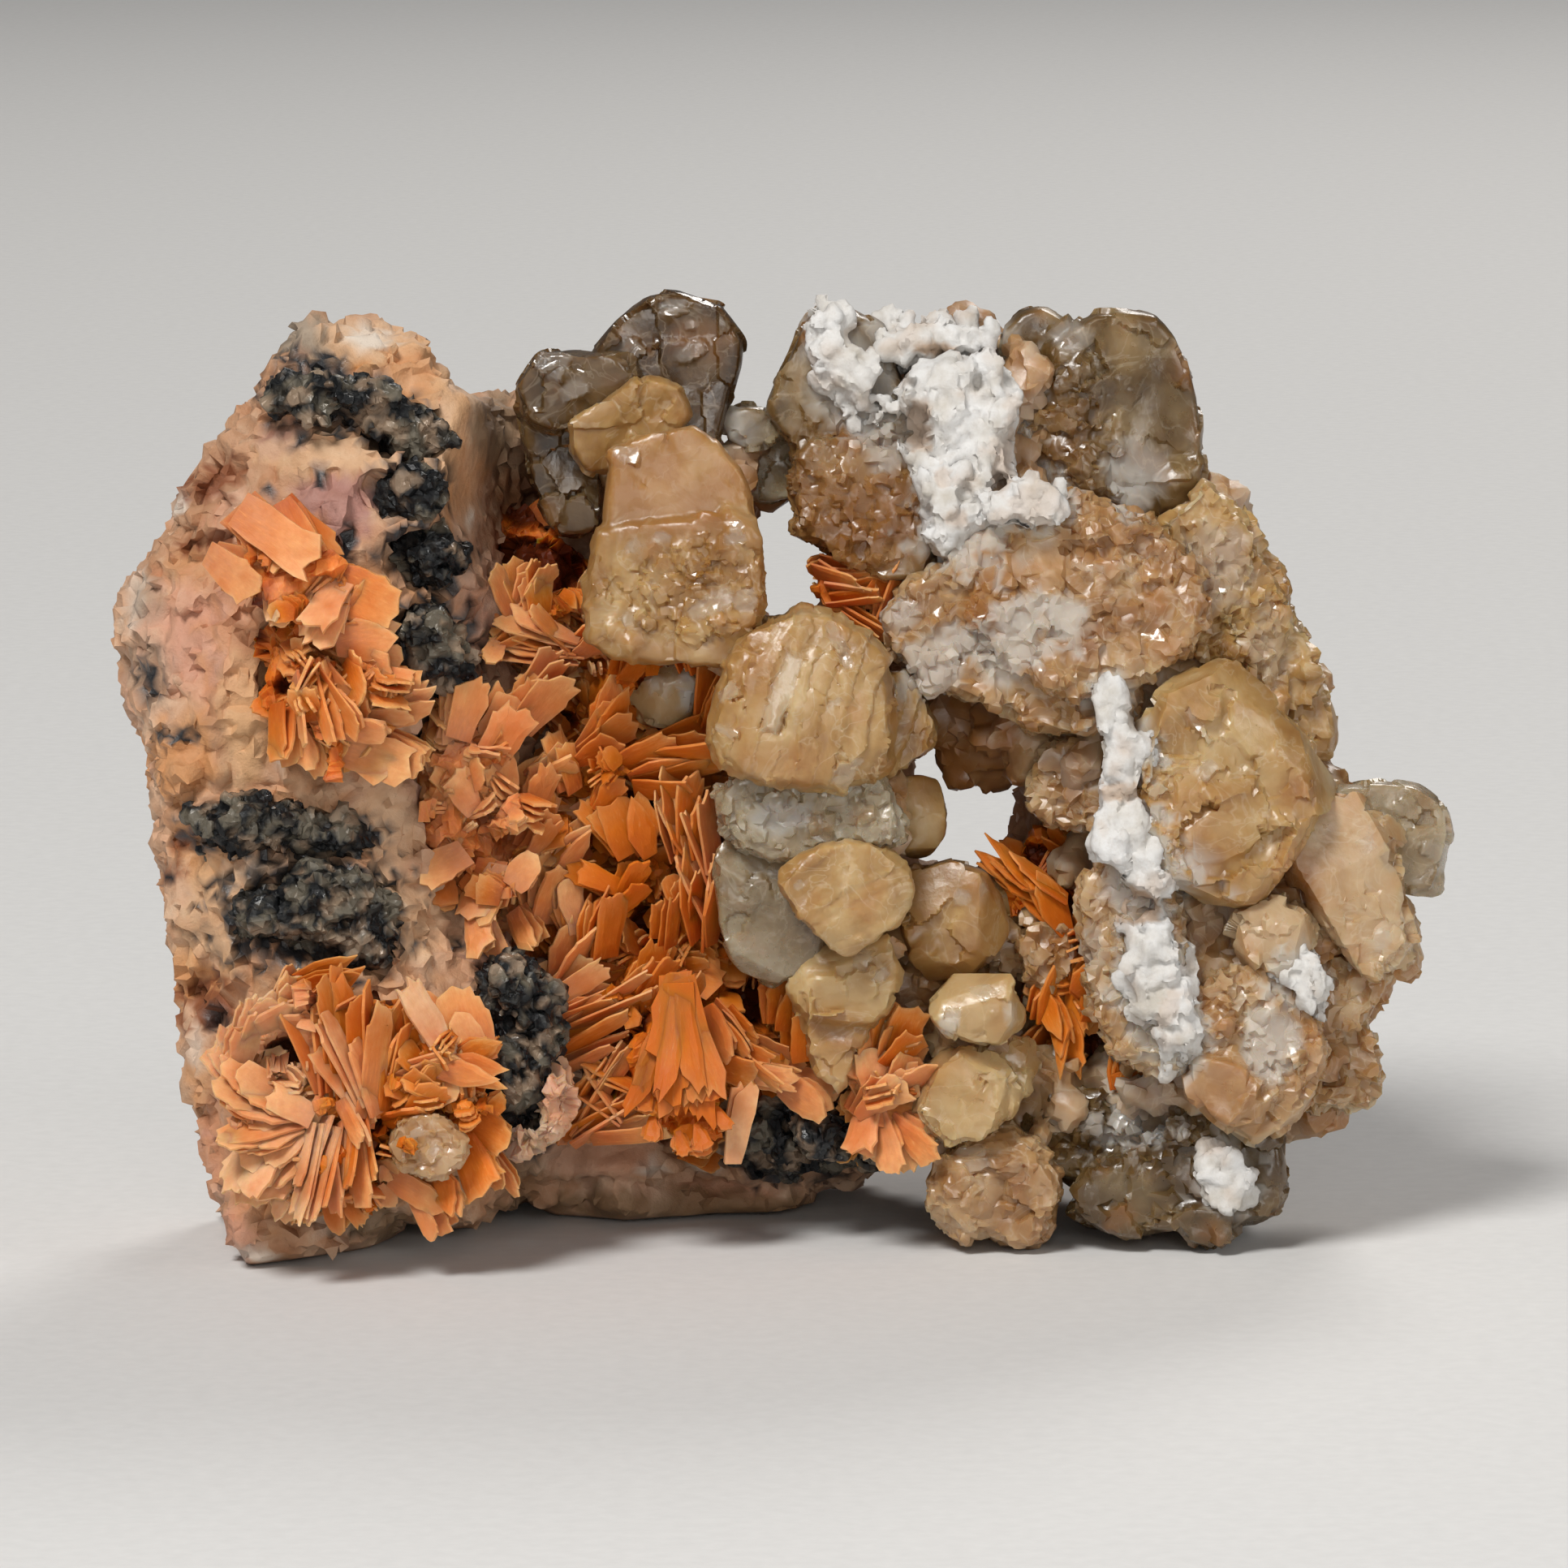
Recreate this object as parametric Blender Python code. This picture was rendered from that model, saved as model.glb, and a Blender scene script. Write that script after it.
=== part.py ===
"""Barite with cerussite on galena-bearing host rock, a hand specimen that stands as it does on a shelf.

Metres, +Z up, +X to the right of the front view and +Y to the rear. Outlines are given in the front view, in outline
units (u to the right, v down), and each point gets a depth y in millimetres, negative towards the viewer. A sight line
through (u, v) meets that depth in one point of space, which is where the point lies.
"""

import math
import random

import bmesh
import bpy
from mathutils import Matrix, Vector, noise
from mathutils.geometry import delaunay_2d_cdt

# ---- driving dimensions -------------------------------------------------------------------------------------------
UNIT = 0.0457e-3  # one outline unit in the plane through the middle of the specimen, m
MID_U, MID_V = 966.0, 966.0  # the outline point that the viewer looks straight at
VIEW_DIST = 0.60  # distance from the viewer's eye to the middle of the specimen, m
VIEW_ELEV = math.radians(8.0)  # the viewer looks down by this much
MID_HEIGHT = 0.02542  # height of the middle of the specimen above the shelf, m
SHIFT_X = -0.0001  # puts the origin under the middle of the bounding box, m
SHIFT_Y = 0.0014
GAP = 0.0003  # clearance between two pieces that touch, m
ROCK_PITCH = 125.0  # spacing of the points on the rock's surfaces, outline units

COS_E, SIN_E = math.cos(VIEW_ELEV), math.sin(VIEW_ELEV)
EYE = Vector((0.0, -VIEW_DIST * COS_E, MID_HEIGHT + VIEW_DIST * SIN_E))


def at(u, v, y):
    """The point of space seen at outline point (u, v), at depth y in mm."""
    right = (u - MID_U) * UNIT / VIEW_DIST
    down = (v - MID_V) * UNIT / VIEW_DIST
    ray = Vector((right, COS_E - down * SIN_E, -SIN_E - down * COS_E))
    t = (y * 0.001 - EYE.y) / ray.y
    return EYE + ray * t + Vector((SHIFT_X, SHIFT_Y, 0.0))


def seen_at(p):
    """The outline point (u, v) and the depth in mm of a point of space."""
    q = p - EYE - Vector((SHIFT_X, SHIFT_Y, 0.0))
    far = q.y * COS_E - q.z * SIN_E
    return MID_U + q.x / far * VIEW_DIST / UNIT, MID_V - (q.y * SIN_E + q.z * COS_E) / far * VIEW_DIST / UNIT, (p.y - SHIFT_Y) * 1000


# ---- a clean scene ------------------------------------------------------------------------------------------------
for old in list(bpy.data.objects):
    bpy.data.objects.remove(old)

random.seed(11)


# ---- materials ----------------------------------------------------------------------------------------------------
def material(name, colour, roughness, transmission=0.0):
    m = bpy.data.materials.new(name)
    m.use_nodes = True
    bsdf = m.node_tree.nodes["Principled BSDF"]
    bsdf.inputs["Base Color"].default_value = (*colour, 1.0)
    bsdf.inputs["Roughness"].default_value = roughness
    bsdf.inputs["Metallic"].default_value = 0.6 if name.startswith("galena") else 0.0
    bsdf.inputs["Transmission Weight"].default_value = transmission
    m.diffuse_color = (*colour, 1.0)
    return m


FINISH = {
    "rock": material("rock_buff", (0.60, 0.40, 0.27), 0.85),
    "barite": material("barite_orange", (0.72, 0.28, 0.09), 0.45),
    "pale_barite": material("barite_pale", (0.72, 0.60, 0.52), 0.5),
    "galena": material("galena_grey", (0.05, 0.05, 0.06), 0.35),
    "honey": material("cerussite_honey", (0.62, 0.42, 0.22), 0.2, 0.3),
    "clear": material("cerussite_clear", (0.50, 0.46, 0.38), 0.15, 0.6),
    "smoky": material("cerussite_smoky", (0.20, 0.15, 0.07), 0.12, 0.5),
    "crust": material("crust_white", (0.80, 0.80, 0.78), 0.9),
}


# ---- mesh helpers -------------------------------------------------------------------------------------------------
def mesh_object(name, bm):
    me = bpy.data.meshes.new(name)
    bm.to_mesh(me)
    bm.free()
    ob = bpy.data.objects.new(name, me)
    bpy.context.scene.collection.objects.link(ob)
    return ob


def hull(points):
    """The convex solid round the points, as a bmesh of triangles."""
    bm = bmesh.new()
    for p in points:
        bm.verts.new(p)
    out = bmesh.ops.convex_hull(bm, input=bm.verts)
    inside = [g for g in out["geom_interior"] if isinstance(g, bmesh.types.BMVert)]
    inside += [v for v in bm.verts if not v.link_faces and v not in inside]
    bmesh.ops.delete(bm, geom=list(set(inside)), context="VERTS")
    bmesh.ops.recalc_face_normals(bm, faces=bm.faces)
    return bm


def grown(points, by=GAP):
    """The convex solid round the points, with every face moved out by at least this much."""
    bm = hull(points)
    bm.normal_update()
    moved = [v.co + v.normal * by * min(v.calc_shell_factor(), 2.2) for v in bm.verts]
    bm.free()
    return hull(moved)


def evaluated_copy(ob):
    graph = bpy.context.evaluated_depsgraph_get()
    return bpy.data.meshes.new_from_object(ob.evaluated_get(graph))


def boolean(ob, tools, operation):
    """Applies one exact Boolean after the other to ob, with throw-away tool meshes."""
    for bm in tools:
        tool = mesh_object("tool", bm)
        mod = ob.modifiers.new("cut", "BOOLEAN")
        mod.operation, mod.solver, mod.object = operation, "EXACT", tool
        bpy.context.view_layer.update()
        result = evaluated_copy(ob)
        ob.modifiers.remove(mod)
        old, ob.data = ob.data, result
        bpy.data.meshes.remove(old)
        used = tool.data
        bpy.data.objects.remove(tool)
        bpy.data.meshes.remove(used)


def closed(bm):
    """Whether every edge has two faces once points within a micrometre count as one."""
    count = {}
    for f in bm.faces:
        keys = [tuple(round(c * 1e6) for c in v.co) for v in f.verts]
        for a, b in zip(keys, keys[1:] + keys[:1]):
            if a != b:
                e = (a, b) if a < b else (b, a)
                count[e] = count.get(e, 0) + 1
    return all(n == 2 for n in count.values())


def bodies_of(bm):
    """The connected bodies of bm, as (volume, faces), the largest first."""
    left, bodies = set(bm.faces), []
    while left:
        todo, body = [left.pop()], []
        while todo:
            f = todo.pop()
            body.append(f)
            for e in f.edges:
                for g in e.link_faces:
                    if g in left:
                        left.remove(g)
                        todo.append(g)
        volume = 0.0
        for f in body:
            a, b, c = (v.co for v in f.verts[:3])
            volume += a.dot(b.cross(c)) / 6
        bodies.append((abs(volume), body))
    return sorted(bodies, key=lambda b: -b[0])


def tidy(ob, flatness=0.3):
    """Keeps the largest closed body of ob, as triangles with no slivers."""
    for flat, merge in ((1, 6e-6), (1, 1.2e-5), (1, 3e-6), (1, 2.4e-5), (1, 4e-5), (0, 6e-6), (0, 1.2e-5), (0, 2.4e-5), (0, 3e-6), (0, 5e-5), (0, 1e-7)):
        bm = bmesh.new()
        bm.from_mesh(ob.data)
        if flat:
            bmesh.ops.dissolve_limit(bm, angle_limit=math.radians(flatness), verts=bm.verts, edges=bm.edges)
        bmesh.ops.triangulate(bm, faces=bm.faces)
        bmesh.ops.remove_doubles(bm, verts=bm.verts, dist=merge)
        bmesh.ops.dissolve_degenerate(bm, edges=bm.edges, dist=merge)
        bmesh.ops.triangulate(bm, faces=bm.faces)
        bodies = bodies_of(bm)
        sizes = [round(v * 1e9, 2) for v, _ in bodies]
        for _, body in bodies[1:]:
            bmesh.ops.delete(bm, geom=body, context="FACES")
        bmesh.ops.delete(bm, geom=[v for v in bm.verts if not v.link_faces], context="VERTS")
        if closed(bm):
            bm.to_mesh(ob.data)
            bm.free()
            return sizes
        bm.free()
    print(ob.name, "isn't closed")
    return [0.0]


def box(points):
    return [min(p[i] for p in points) for i in range(3)], [max(p[i] for p in points) for i in range(3)]


def near(a, b, by=0.0007):
    return all(a[0][i] - by < b[1][i] and b[0][i] - by < a[1][i] for i in range(3))


PIECES = []  # (name, its convex point sets), the ones that keep their shape first


def piece(name, finish, solids):
    """One named solid: the union of convex solids, cut clear of every piece made before it."""
    ob = mesh_object(name, hull(solids[0]))
    boolean(ob, [hull(s) for s in solids[1:]], "UNION")
    whole = box([p for s in solids for p in s])
    for _, others in PIECES:
        boolean(ob, [grown(s) for s in others if near(box(s), whole)], "DIFFERENCE")
    boolean(ob, [shelf()], "DIFFERENCE")
    found = tidy(ob, 10.0 if finish in ("barite", "galena", "crust") else 4.5)
    if len(found) > 1:
        print(name, "bodies in mm3", found)
    ob.data.materials.clear()
    ob.data.materials.append(FINISH[finish])
    for f in ob.data.polygons:
        f.use_smooth = False
        f.material_index = 0
    PIECES.append((name, solids))
    return ob


def shelf():
    """A block under the shelf's surface, which trims every foot flat."""
    bm = bmesh.new()
    bmesh.ops.create_cube(bm, size=1.0, matrix=Matrix.Translation((0, 0, -0.05)) @ Matrix.Diagonal((0.4, 0.4, 0.1, 1)))
    return bm


# ---- the rock's outline and depths ----------------------------------------------------------------------------------
ROCK_OUTLINE = [
    (362, 398), (395, 388), (440, 395), (480, 403), (520, 415), (535, 440), (553, 453), (555, 470), (580, 482), (620, 492), (660, 500), (720, 500), (790, 500), (850, 520), (900, 540), (945, 560), (985, 545),
    (1010, 485), (1060, 455), (1130, 450), (1250, 440), (1350, 440), (1410, 455), (1440, 520), (1455, 600), (1500, 690), (1545, 790), (1580, 880), (1590, 960), (1585, 1050), (1565, 1130), (1555, 1220), (1535, 1300),
    (1480, 1370), (1400, 1420), (1310, 1440), (1240, 1430), (1170, 1400), (1120, 1415), (1060, 1450), (1010, 1465), (960, 1500), (905, 1515), (850, 1515), (770, 1515), (710, 1510), (678, 1505), (655, 1482),
    (630, 1474), (600, 1490), (585, 1515), (550, 1510), (510, 1502), (490, 1522), (455, 1538), (420, 1545), (370, 1558), (300, 1566), (280, 1520), (260, 1465), (245, 1420), (235, 1370), (228, 1320), (220, 1230), (213, 1160),
    (207, 1100), (190, 1030), (197, 1010), (175, 940), (165, 860), (145, 800), (148, 740), (160, 718), (205, 650), (215, 615), (260, 560), (290, 540), (310, 500), (320, 470), (340, 430),
]
UPPER_HOLE = [(930, 640), (945, 612), (985, 608), (1008, 640), (1024, 690), (1022, 740), (990, 765), (945, 760), (930, 720)]
LOWER_HOLE = [(1128, 950), (1140, 880), (1170, 850), (1215, 850), (1245, 890), (1262, 960), (1258, 1020), (1240, 1072), (1180, 1075), (1135, 1060)]
ROCK_FRONT = [  # (u, v, depth) of the rock's front surface
    (362, 398, -7), (440, 395, -6), (535, 440, -6), (320, 480, -9), (430, 480, -12), (540, 500, -9), (260, 560, -9), (400, 600, -14), (520, 620, -12), (575, 700, -9), (205, 650, -8), (300, 700, -13),
    (450, 760, -14), (560, 800, -10), (148, 760, -6), (230, 820, -13), (400, 860, -14), (520, 900, -11), (170, 900, -7), (260, 960, -14), (400, 1000, -14.5), (500, 1020, -11), (195, 1050, -8), (300, 1120, -14.5),
    (450, 1130, -14), (560, 1120, -8), (220, 1230, -9), (330, 1250, -15), (480, 1260, -14), (620, 1240, -10), (245, 1420, -10), (350, 1400, -15), (500, 1400, -14), (640, 1380, -9), (300, 1540, -14), (400, 1520, -13),
    (480, 1500, -11), (590, 1500, -9), (620, 560, 7), (680, 640, 8), (640, 760, 4), (720, 700, 8), (700, 900, 4), (600, 980, 0), (620, 1080, 0), (800, 900, 6), (800, 1050, 6), (750, 1200, 4), (900, 1100, 6),
    (900, 1250, 6), (1000, 1250, 6), (760, 1340, 3), (850, 1330, 3), (660, 1430, 0), (760, 1440, -1), (880, 1440, 0), (960, 1440, 1), (700, 1490, 2), (900, 1505, 3), (1000, 1440, 3), (760, 520, 6), (880, 560, 8),
    (960, 560, 8), (1050, 560, 6), (1100, 700, 6), (1200, 560, 6), (1350, 520, 8), (1440, 560, 9), (1200, 760, 5), (1400, 760, 6), (1500, 800, 8), (1290, 900, 5), (1400, 1000, 4), (1500, 1000, 5), (1300, 1100, 5),
    (1400, 1200, 4), (1500, 1200, 5), (1180, 1180, 6), (1200, 1350, 5), (1400, 1350, 4), (1080, 1150, 7), (1080, 1000, 8), (1080, 850, 8),
]
ROCK_BACK = [
    (200, 700, 2), (200, 1000, 3), (240, 1300, 4), (350, 450, 3), (450, 700, 8), (450, 1100, 10), (450, 1400, 9), (300, 1550, 4), (600, 520, 12), (650, 900, 14), (700, 1300, 15), (900, 560, 13), (850, 1000, 15),
    (900, 1400, 16), (900, 1510, 15), (1080, 600, 13), (1100, 900, 15), (1100, 1300, 15), (1300, 500, 13), (1400, 800, 15), (1450, 1050, 15), (1400, 1300, 13), (1580, 950, 11),
]


# ---- crystals -----------------------------------------------------------------------------------------------------
def tablet(outline, front, back, bevel=0.16, lean=(0.0, 0.0), waist=0.35):
    """A tabular crystal: an outline seen from the front, a flat bevelled front face and a rear that draws in to a keel.

    front and back are depths in mm, lean is the change of depth across and down the outline in mm, waist is where
    between front and back the outline is widest, and bevel is how far the front face draws in.
    """
    cu = sum(p[0] for p in outline) / len(outline)
    cv = sum(p[1] for p in outline) / len(outline)
    ru = max(abs(p[0] - cu) for p in outline)
    rv = max(abs(p[1] - cv) for p in outline)
    rnd = random.Random(int(cu * 3 + cv))
    points = []
    for depth, draw, step in ((front, bevel, 1), (front + (back - front) * waist, 0.0, 1), (back, 0.42, 2)):
        for u, v in outline[::step]:
            loose = rnd.uniform(-0.12, 0.12) if step == 2 else 0.0
            du, dv = (u - cu) * (1 - draw + loose), (v - cv) * (1 - draw + loose)
            tilt = lean[0] * du / ru / 2 + lean[1] * dv / rv / 2
            points.append(at(cu + du, cv + dv, depth + tilt + loose * 0.8 * (back - front)))
    return points


def lump(u, v, y, ru, rv, ry, count=22, seed=0, rough=0.16):
    """A rough rounded block round outline point (u, v) at depth y; ru and rv in outline units, ry in mm."""
    rnd = random.Random(seed * 977 + int(u) * 7 + int(v))
    points = []
    for i in range(count):
        h = 1 - 2 * (i + 0.5) / count
        a = i * 2.399963 + rnd.random() * 0.5
        r = math.sqrt(max(0.0, 1 - h * h))
        k = 1 + rnd.uniform(-rough, rough)
        points.append(at(u + ru * r * math.cos(a) * k, v + rv * h * k, y + ry * r * math.sin(a) * k))
    return points


def blade(u, v, y, length, width, thick, heading, turn):
    """A thin lens-shaped blade. length, width and thick in mm; heading is its direction, turn rolls it about that."""
    d = Vector(heading).normalized()
    side = d.cross(Vector((0, 0, 1)) if abs(d.z) < 0.9 else Vector((1, 0, 0))).normalized()
    side = Matrix.Rotation(turn, 3, d) @ side
    flat = d.cross(side)
    centre = at(u, v, y)
    points = [centre + flat * thick * 0.0005, centre - flat * thick * 0.0005]
    for a, b in ((-0.5, 0.2), (0.05, 0.5), (0.4, 0.24), (0.52, -0.05), (0.1, -0.46), (-0.5, -0.2)):
        points.append(centre + (d * a * length + side * b * width) * 0.001)
    return points


def rosette(u, v, y, ru, rv, count, length, seed, push=-1.0, thick=1.3):
    """Blades that fan out from a base round (u, v, y), towards the viewer and the sides, in front of the rock."""
    rnd = random.Random(seed)
    out = []
    for i in range(count):
        a = i * 2.399963
        r = math.sqrt((i + 0.5) / count)
        du, dv = ru * r * math.cos(a), rv * r * math.sin(a)
        lift = rnd.uniform(0.0, 1.0)
        heading = (0.8 * r * math.cos(a) + rnd.uniform(-0.3, 0.3), push * (0.5 + 0.5 * (1 - r) + 0.2 * lift), -0.8 * r * math.sin(a) + rnd.uniform(-0.3, 0.3))
        size = length * rnd.uniform(0.8, 1.15)
        points = []
        for p in blade(u + du, v + dv, y, size, size * 0.75, thick, heading, rnd.uniform(0, math.pi)):
            pu, pv, py = seen_at(p)
            points.append(at(pu, pv, min(py, depth_at(ROCK_FRONT, pu, pv) - 1.0)))
        out.append(points)
    return out


# ---- cerussite ----------------------------------------------------------------------------------------------------
# The nearest crystals come first: they keep their whole shape, and the ones behind are cut to fit them.
def build_cerussite():
    piece("cerussite_heart", "honey", [
        tablet([(955, 1086), (976, 1057), (1019, 1036), (1080, 1032), (1116, 1061), (1128, 1100), (1109, 1136), (1073, 1161), (1041, 1179), (1019, 1161), (980, 1129)], -13.5, -7.0, 0.12, (2.0, -1.0)),
    ])
    piece("cerussite_small_clear", "clear", [
        tablet([(1143, 1245), (1156, 1220), (1189, 1186), (1223, 1188), (1248, 1216), (1267, 1245), (1257, 1270), (1231, 1287), (1202, 1285), (1164, 1270)], -11.5, -6.0, 0.25, (0, 0)),
    ])
    piece("cerussite_ribbed", "honey", [
        tablet([(901, 821), (941, 761), (991, 746), (1037, 761), (1084, 789), (1103, 825), (1101, 871), (1101, 921), (1084, 958), (1030, 975), (930, 968), (901, 957), (873, 932), (868, 900), (891, 871)], -13.0, -4.0, 0.14, (1.0, -1.5)),
        tablet([(1075, 820), (1120, 832), (1148, 865), (1151, 905), (1137, 935), (1108, 955), (1075, 945)], -8.5, -2.0, 0.2, (1.0, 0)),
    ])
    piece("cerussite_grey_neck", "clear", [
        tablet([(885, 975), (915, 955), (965, 950), (1040, 955), (1090, 960), (1101, 990), (1104, 1025), (1080, 1050), (1010, 1060), (945, 1058), (893, 1025)], -12.0, -4.5, 0.14, (0, 0.5)),
    ])
    piece("cerussite_tapering", "honey", [
        tablet([(976, 1218), (1001, 1175), (1051, 1160), (1094, 1150), (1105, 1200), (1098, 1243), (1076, 1265), (990, 1262)], -11.0, -4.0, 0.16),
        tablet([(988, 1235), (1078, 1235), (1062, 1290), (1045, 1322), (1034, 1346), (1017, 1338), (994, 1296)], -10.0, -4.5, 0.16),
    ])
    piece("cerussite_grey_clear", "clear", [
        tablet([(884, 1057), (896, 1036), (930, 1039), (965, 1050), (1010, 1110), (1023, 1175), (1001, 1196), (959, 1208), (912, 1196), (894, 1168), (884, 1111)], -10.5, -3.5, 0.14, (0, 0)),
    ])
    piece("cerussite_tall_plate", "honey", [
        tablet([(754, 553), (804, 534), (855, 523), (885, 550), (912, 575), (928, 609), (933, 660), (900, 700), (745, 700), (745, 621)], -11.0, -5.5, 0.10, (0.5, -1.0)),
        tablet([(735, 640), (932, 640), (942, 705), (939, 770), (905, 822), (870, 800), (815, 785), (755, 812), (726, 790), (719, 750), (722, 700)], -12.0, -5.0, 0.10, (-0.5, 0)),
    ])
    piece("cerussite_round_tan", "honey", [
        tablet([(1126, 1359), (1135, 1321), (1164, 1293), (1194, 1287), (1236, 1304), (1257, 1342), (1244, 1376), (1210, 1401), (1168, 1409), (1139, 1393)], -10.5, -3.0, 0.22),
        tablet([(1228, 1300), (1250, 1279), (1276, 1284), (1280, 1318), (1262, 1345), (1238, 1340)], -8.5, -4.0, 0.2),
    ])
    piece("cerussite_bottom_tip", "honey", [
        tablet([(1143, 1435), (1151, 1409), (1206, 1397), (1278, 1401), (1307, 1443), (1299, 1502), (1286, 1527), (1263, 1539), (1227, 1523), (1177, 1506), (1151, 1489)], -9.0, 1.0, 0.16, (0, 1.0)),
    ])
    piece("cerussite_glinting", "honey", [
        tablet([(1118, 1085), (1140, 1070), (1173, 1064), (1216, 1075), (1234, 1104), (1240, 1146), (1215, 1185), (1180, 1206), (1144, 1207), (1116, 1160)], -8.5, 1.0, 0.2),
    ])
    piece("cerussite_small_oval", "honey", [
        tablet([(1098, 986), (1105, 961), (1155, 962), (1165, 1000), (1160, 1030), (1144, 1052), (1119, 1054), (1098, 1021)], -6.5, 1.0, 0.2),
    ])
    piece("cerussite_small_pink", "honey", [
        tablet([(1256, 1166), (1268, 1145), (1289, 1134), (1323, 1149), (1319, 1196), (1303, 1219), (1263, 1212)], -6.0, 1.0, 0.2),
        tablet([(1208, 1155), (1228, 1130), (1254, 1140), (1262, 1180), (1240, 1200), (1215, 1185)], -5.0, 1.0, 0.2),
    ])
    piece("cerussite_white_facet", "clear", [
        tablet([(784, 864), (798, 838), (834, 821), (858, 836), (852, 878), (838, 896), (798, 890)], -6.0, 2.0, 0.2),
    ])
    piece("cerussite_on_rosette", "honey", [
        tablet([(478, 1408), (492, 1382), (525, 1374), (560, 1385), (577, 1412), (565, 1440), (530, 1452), (492, 1440)], -18.5, -13.0, 0.25),
    ])
    piece("cerussite_small_round", "honey", [
        tablet([(1515, 1163), (1524, 1126), (1561, 1106), (1604, 1118), (1620, 1153), (1608, 1180), (1571, 1194), (1525, 1188)], -11.0, -4.0, 0.22),
    ])
    piece("cerussite_sparkly", "honey", [
        tablet([(1460, 1300), (1466, 1240), (1495, 1200), (1538, 1186), (1585, 1200), (1620, 1236), (1630, 1292), (1614, 1348), (1580, 1396), (1545, 1408), (1500, 1378), (1468, 1350)], -10.5, 0.0, 0.2, (1.0, 0)),
        lump(1548, 1290, 0.5, 66, 82, 4.6, 14, 41),
    ])
    piece("cerussite_beige_cluster", "honey", [
        tablet([(1333, 1083), (1360, 1060), (1420, 1050), (1455, 1110), (1450, 1170), (1400, 1200), (1345, 1180), (1330, 1149)], -10.0, 0.0, 0.16),
        tablet([(1336, 1200), (1352, 1165), (1420, 1150), (1462, 1200), (1476, 1285), (1445, 1325), (1392, 1308), (1366, 1262)], -11.0, 1.0, 0.16),
    ])
    piece("cerussite_rhombic_plate", "honey", [
        tablet([(1400, 900), (1440, 845), (1500, 805), (1560, 855), (1650, 955), (1595, 1000), (1585, 1060), (1560, 1108), (1480, 1120), (1425, 1060), (1405, 980)], -11.0, -3.0, 0.12, (3.0, -1.0)),
        lump(1505, 965, -0.5, 84, 104, 4.6, 13, 47),
    ])
    piece("cerussite_far_right", "honey", [
        tablet([(1583, 1020), (1613, 987), (1671, 979), (1709, 1025), (1716, 1075), (1735, 1115), (1738, 1163), (1713, 1197), (1659, 1205), (1618, 1130), (1590, 1070)], -8.5, 0.0, 0.14, (1.5, 0)),
        lump(1655, 1090, 1.5, 56, 78, 4.2, 14, 48),
    ])
    piece("cerussite_far_right_clear", "clear", [
        tablet([(1640, 968), (1698, 963), (1745, 968), (1777, 987), (1786, 1022), (1777, 1060), (1765, 1098), (1728, 1100), (1670, 1080), (1640, 1020)], -4.0, 6.0, 0.14),
    ])
    piece("cerussite_right_lobes", "honey", [
        tablet([(1600, 1190), (1660, 1180), (1712, 1195), (1697, 1225), (1684, 1252), (1640, 1275), (1600, 1260)], -5.0, 7.0, 0.14),
        tablet([(1600, 1240), (1684, 1245), (1687, 1292), (1699, 1327), (1689, 1349), (1657, 1363), (1610, 1362), (1585, 1320)], -4.5, 7.0, 0.14),
    ])
    piece("cerussite_bottom_clear", "clear", [
        tablet([(1312, 1495), (1343, 1444), (1392, 1418), (1465, 1372), (1530, 1370), (1575, 1401), (1580, 1435), (1578, 1484), (1545, 1501), (1432, 1513), (1366, 1517), (1330, 1505)], -8.0, 1.0, 0.10),
        lump(1440, 1440, 2.0, 100, 62, 5.0, 13, 42),
        tablet([(1440, 1490), (1545, 1490), (1502, 1524), (1489, 1541), (1469, 1531)], -8.5, -1.0, 0.05),
        tablet([(1272, 1400), (1290, 1345), (1345, 1340), (1400, 1380), (1400, 1440), (1340, 1460), (1290, 1440)], -5.5, 5.0, 0.15),
    ])
    piece("cerussite_inner", "honey", [
        tablet([(1268, 964), (1285, 925), (1353, 905), (1372, 963), (1352, 1012), (1300, 1016), (1272, 996)], -6.5, 3.0, 0.2),
    ])
    piece("cerussite_central_mass", "honey", [
        tablet([(1088, 757), (1125, 715), (1170, 695), (1220, 690), (1240, 800), (1215, 862), (1165, 850), (1128, 828), (1100, 800)], -9.5, 2.0, 0.14),
        tablet([(1170, 690), (1225, 625), (1320, 605), (1410, 640), (1475, 690), (1490, 745), (1465, 800), (1400, 842), (1330, 855), (1240, 830)], -9.5, 0.0, 0.14, (1.0, -2.0)),
        lump(1330, 745, 1.5, 118, 84, 4.4, 13, 49),
        tablet([(1205, 800), (1330, 800), (1400, 830), (1400, 880), (1340, 905), (1275, 895), (1230, 870)], -9.0, 2.0, 0.16),
    ])
    piece("cerussite_beige_slab", "honey", [
        tablet([(700, 522), (756, 486), (801, 464), (838, 478), (850, 510), (812, 545), (754, 578), (725, 579), (706, 553)], -6.5, 1.0, 0.12, (1.0, 1.0)),
    ])
    piece("cerussite_smoky", "smoky", [
        tablet([(726, 441), (762, 396), (798, 367), (835, 361), (889, 375), (903, 402), (914, 421), (911, 458), (894, 500), (878, 560), (840, 560), (790, 500), (728, 490)], -4.0, 4.5, 0.16),
    ])
    piece("cerussite_smoky_twin", "smoky", [
        tablet([(636, 475), (664, 437), (726, 435), (775, 440), (790, 470), (745, 515), (686, 530), (650, 518)], -5.5, 3.5, 0.14, (0, 1.0)),
        tablet([(640, 500), (700, 505), (740, 560), (735, 650), (690, 660), (660, 600)], -2.5, 6.0, 0.14),
    ])
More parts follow.
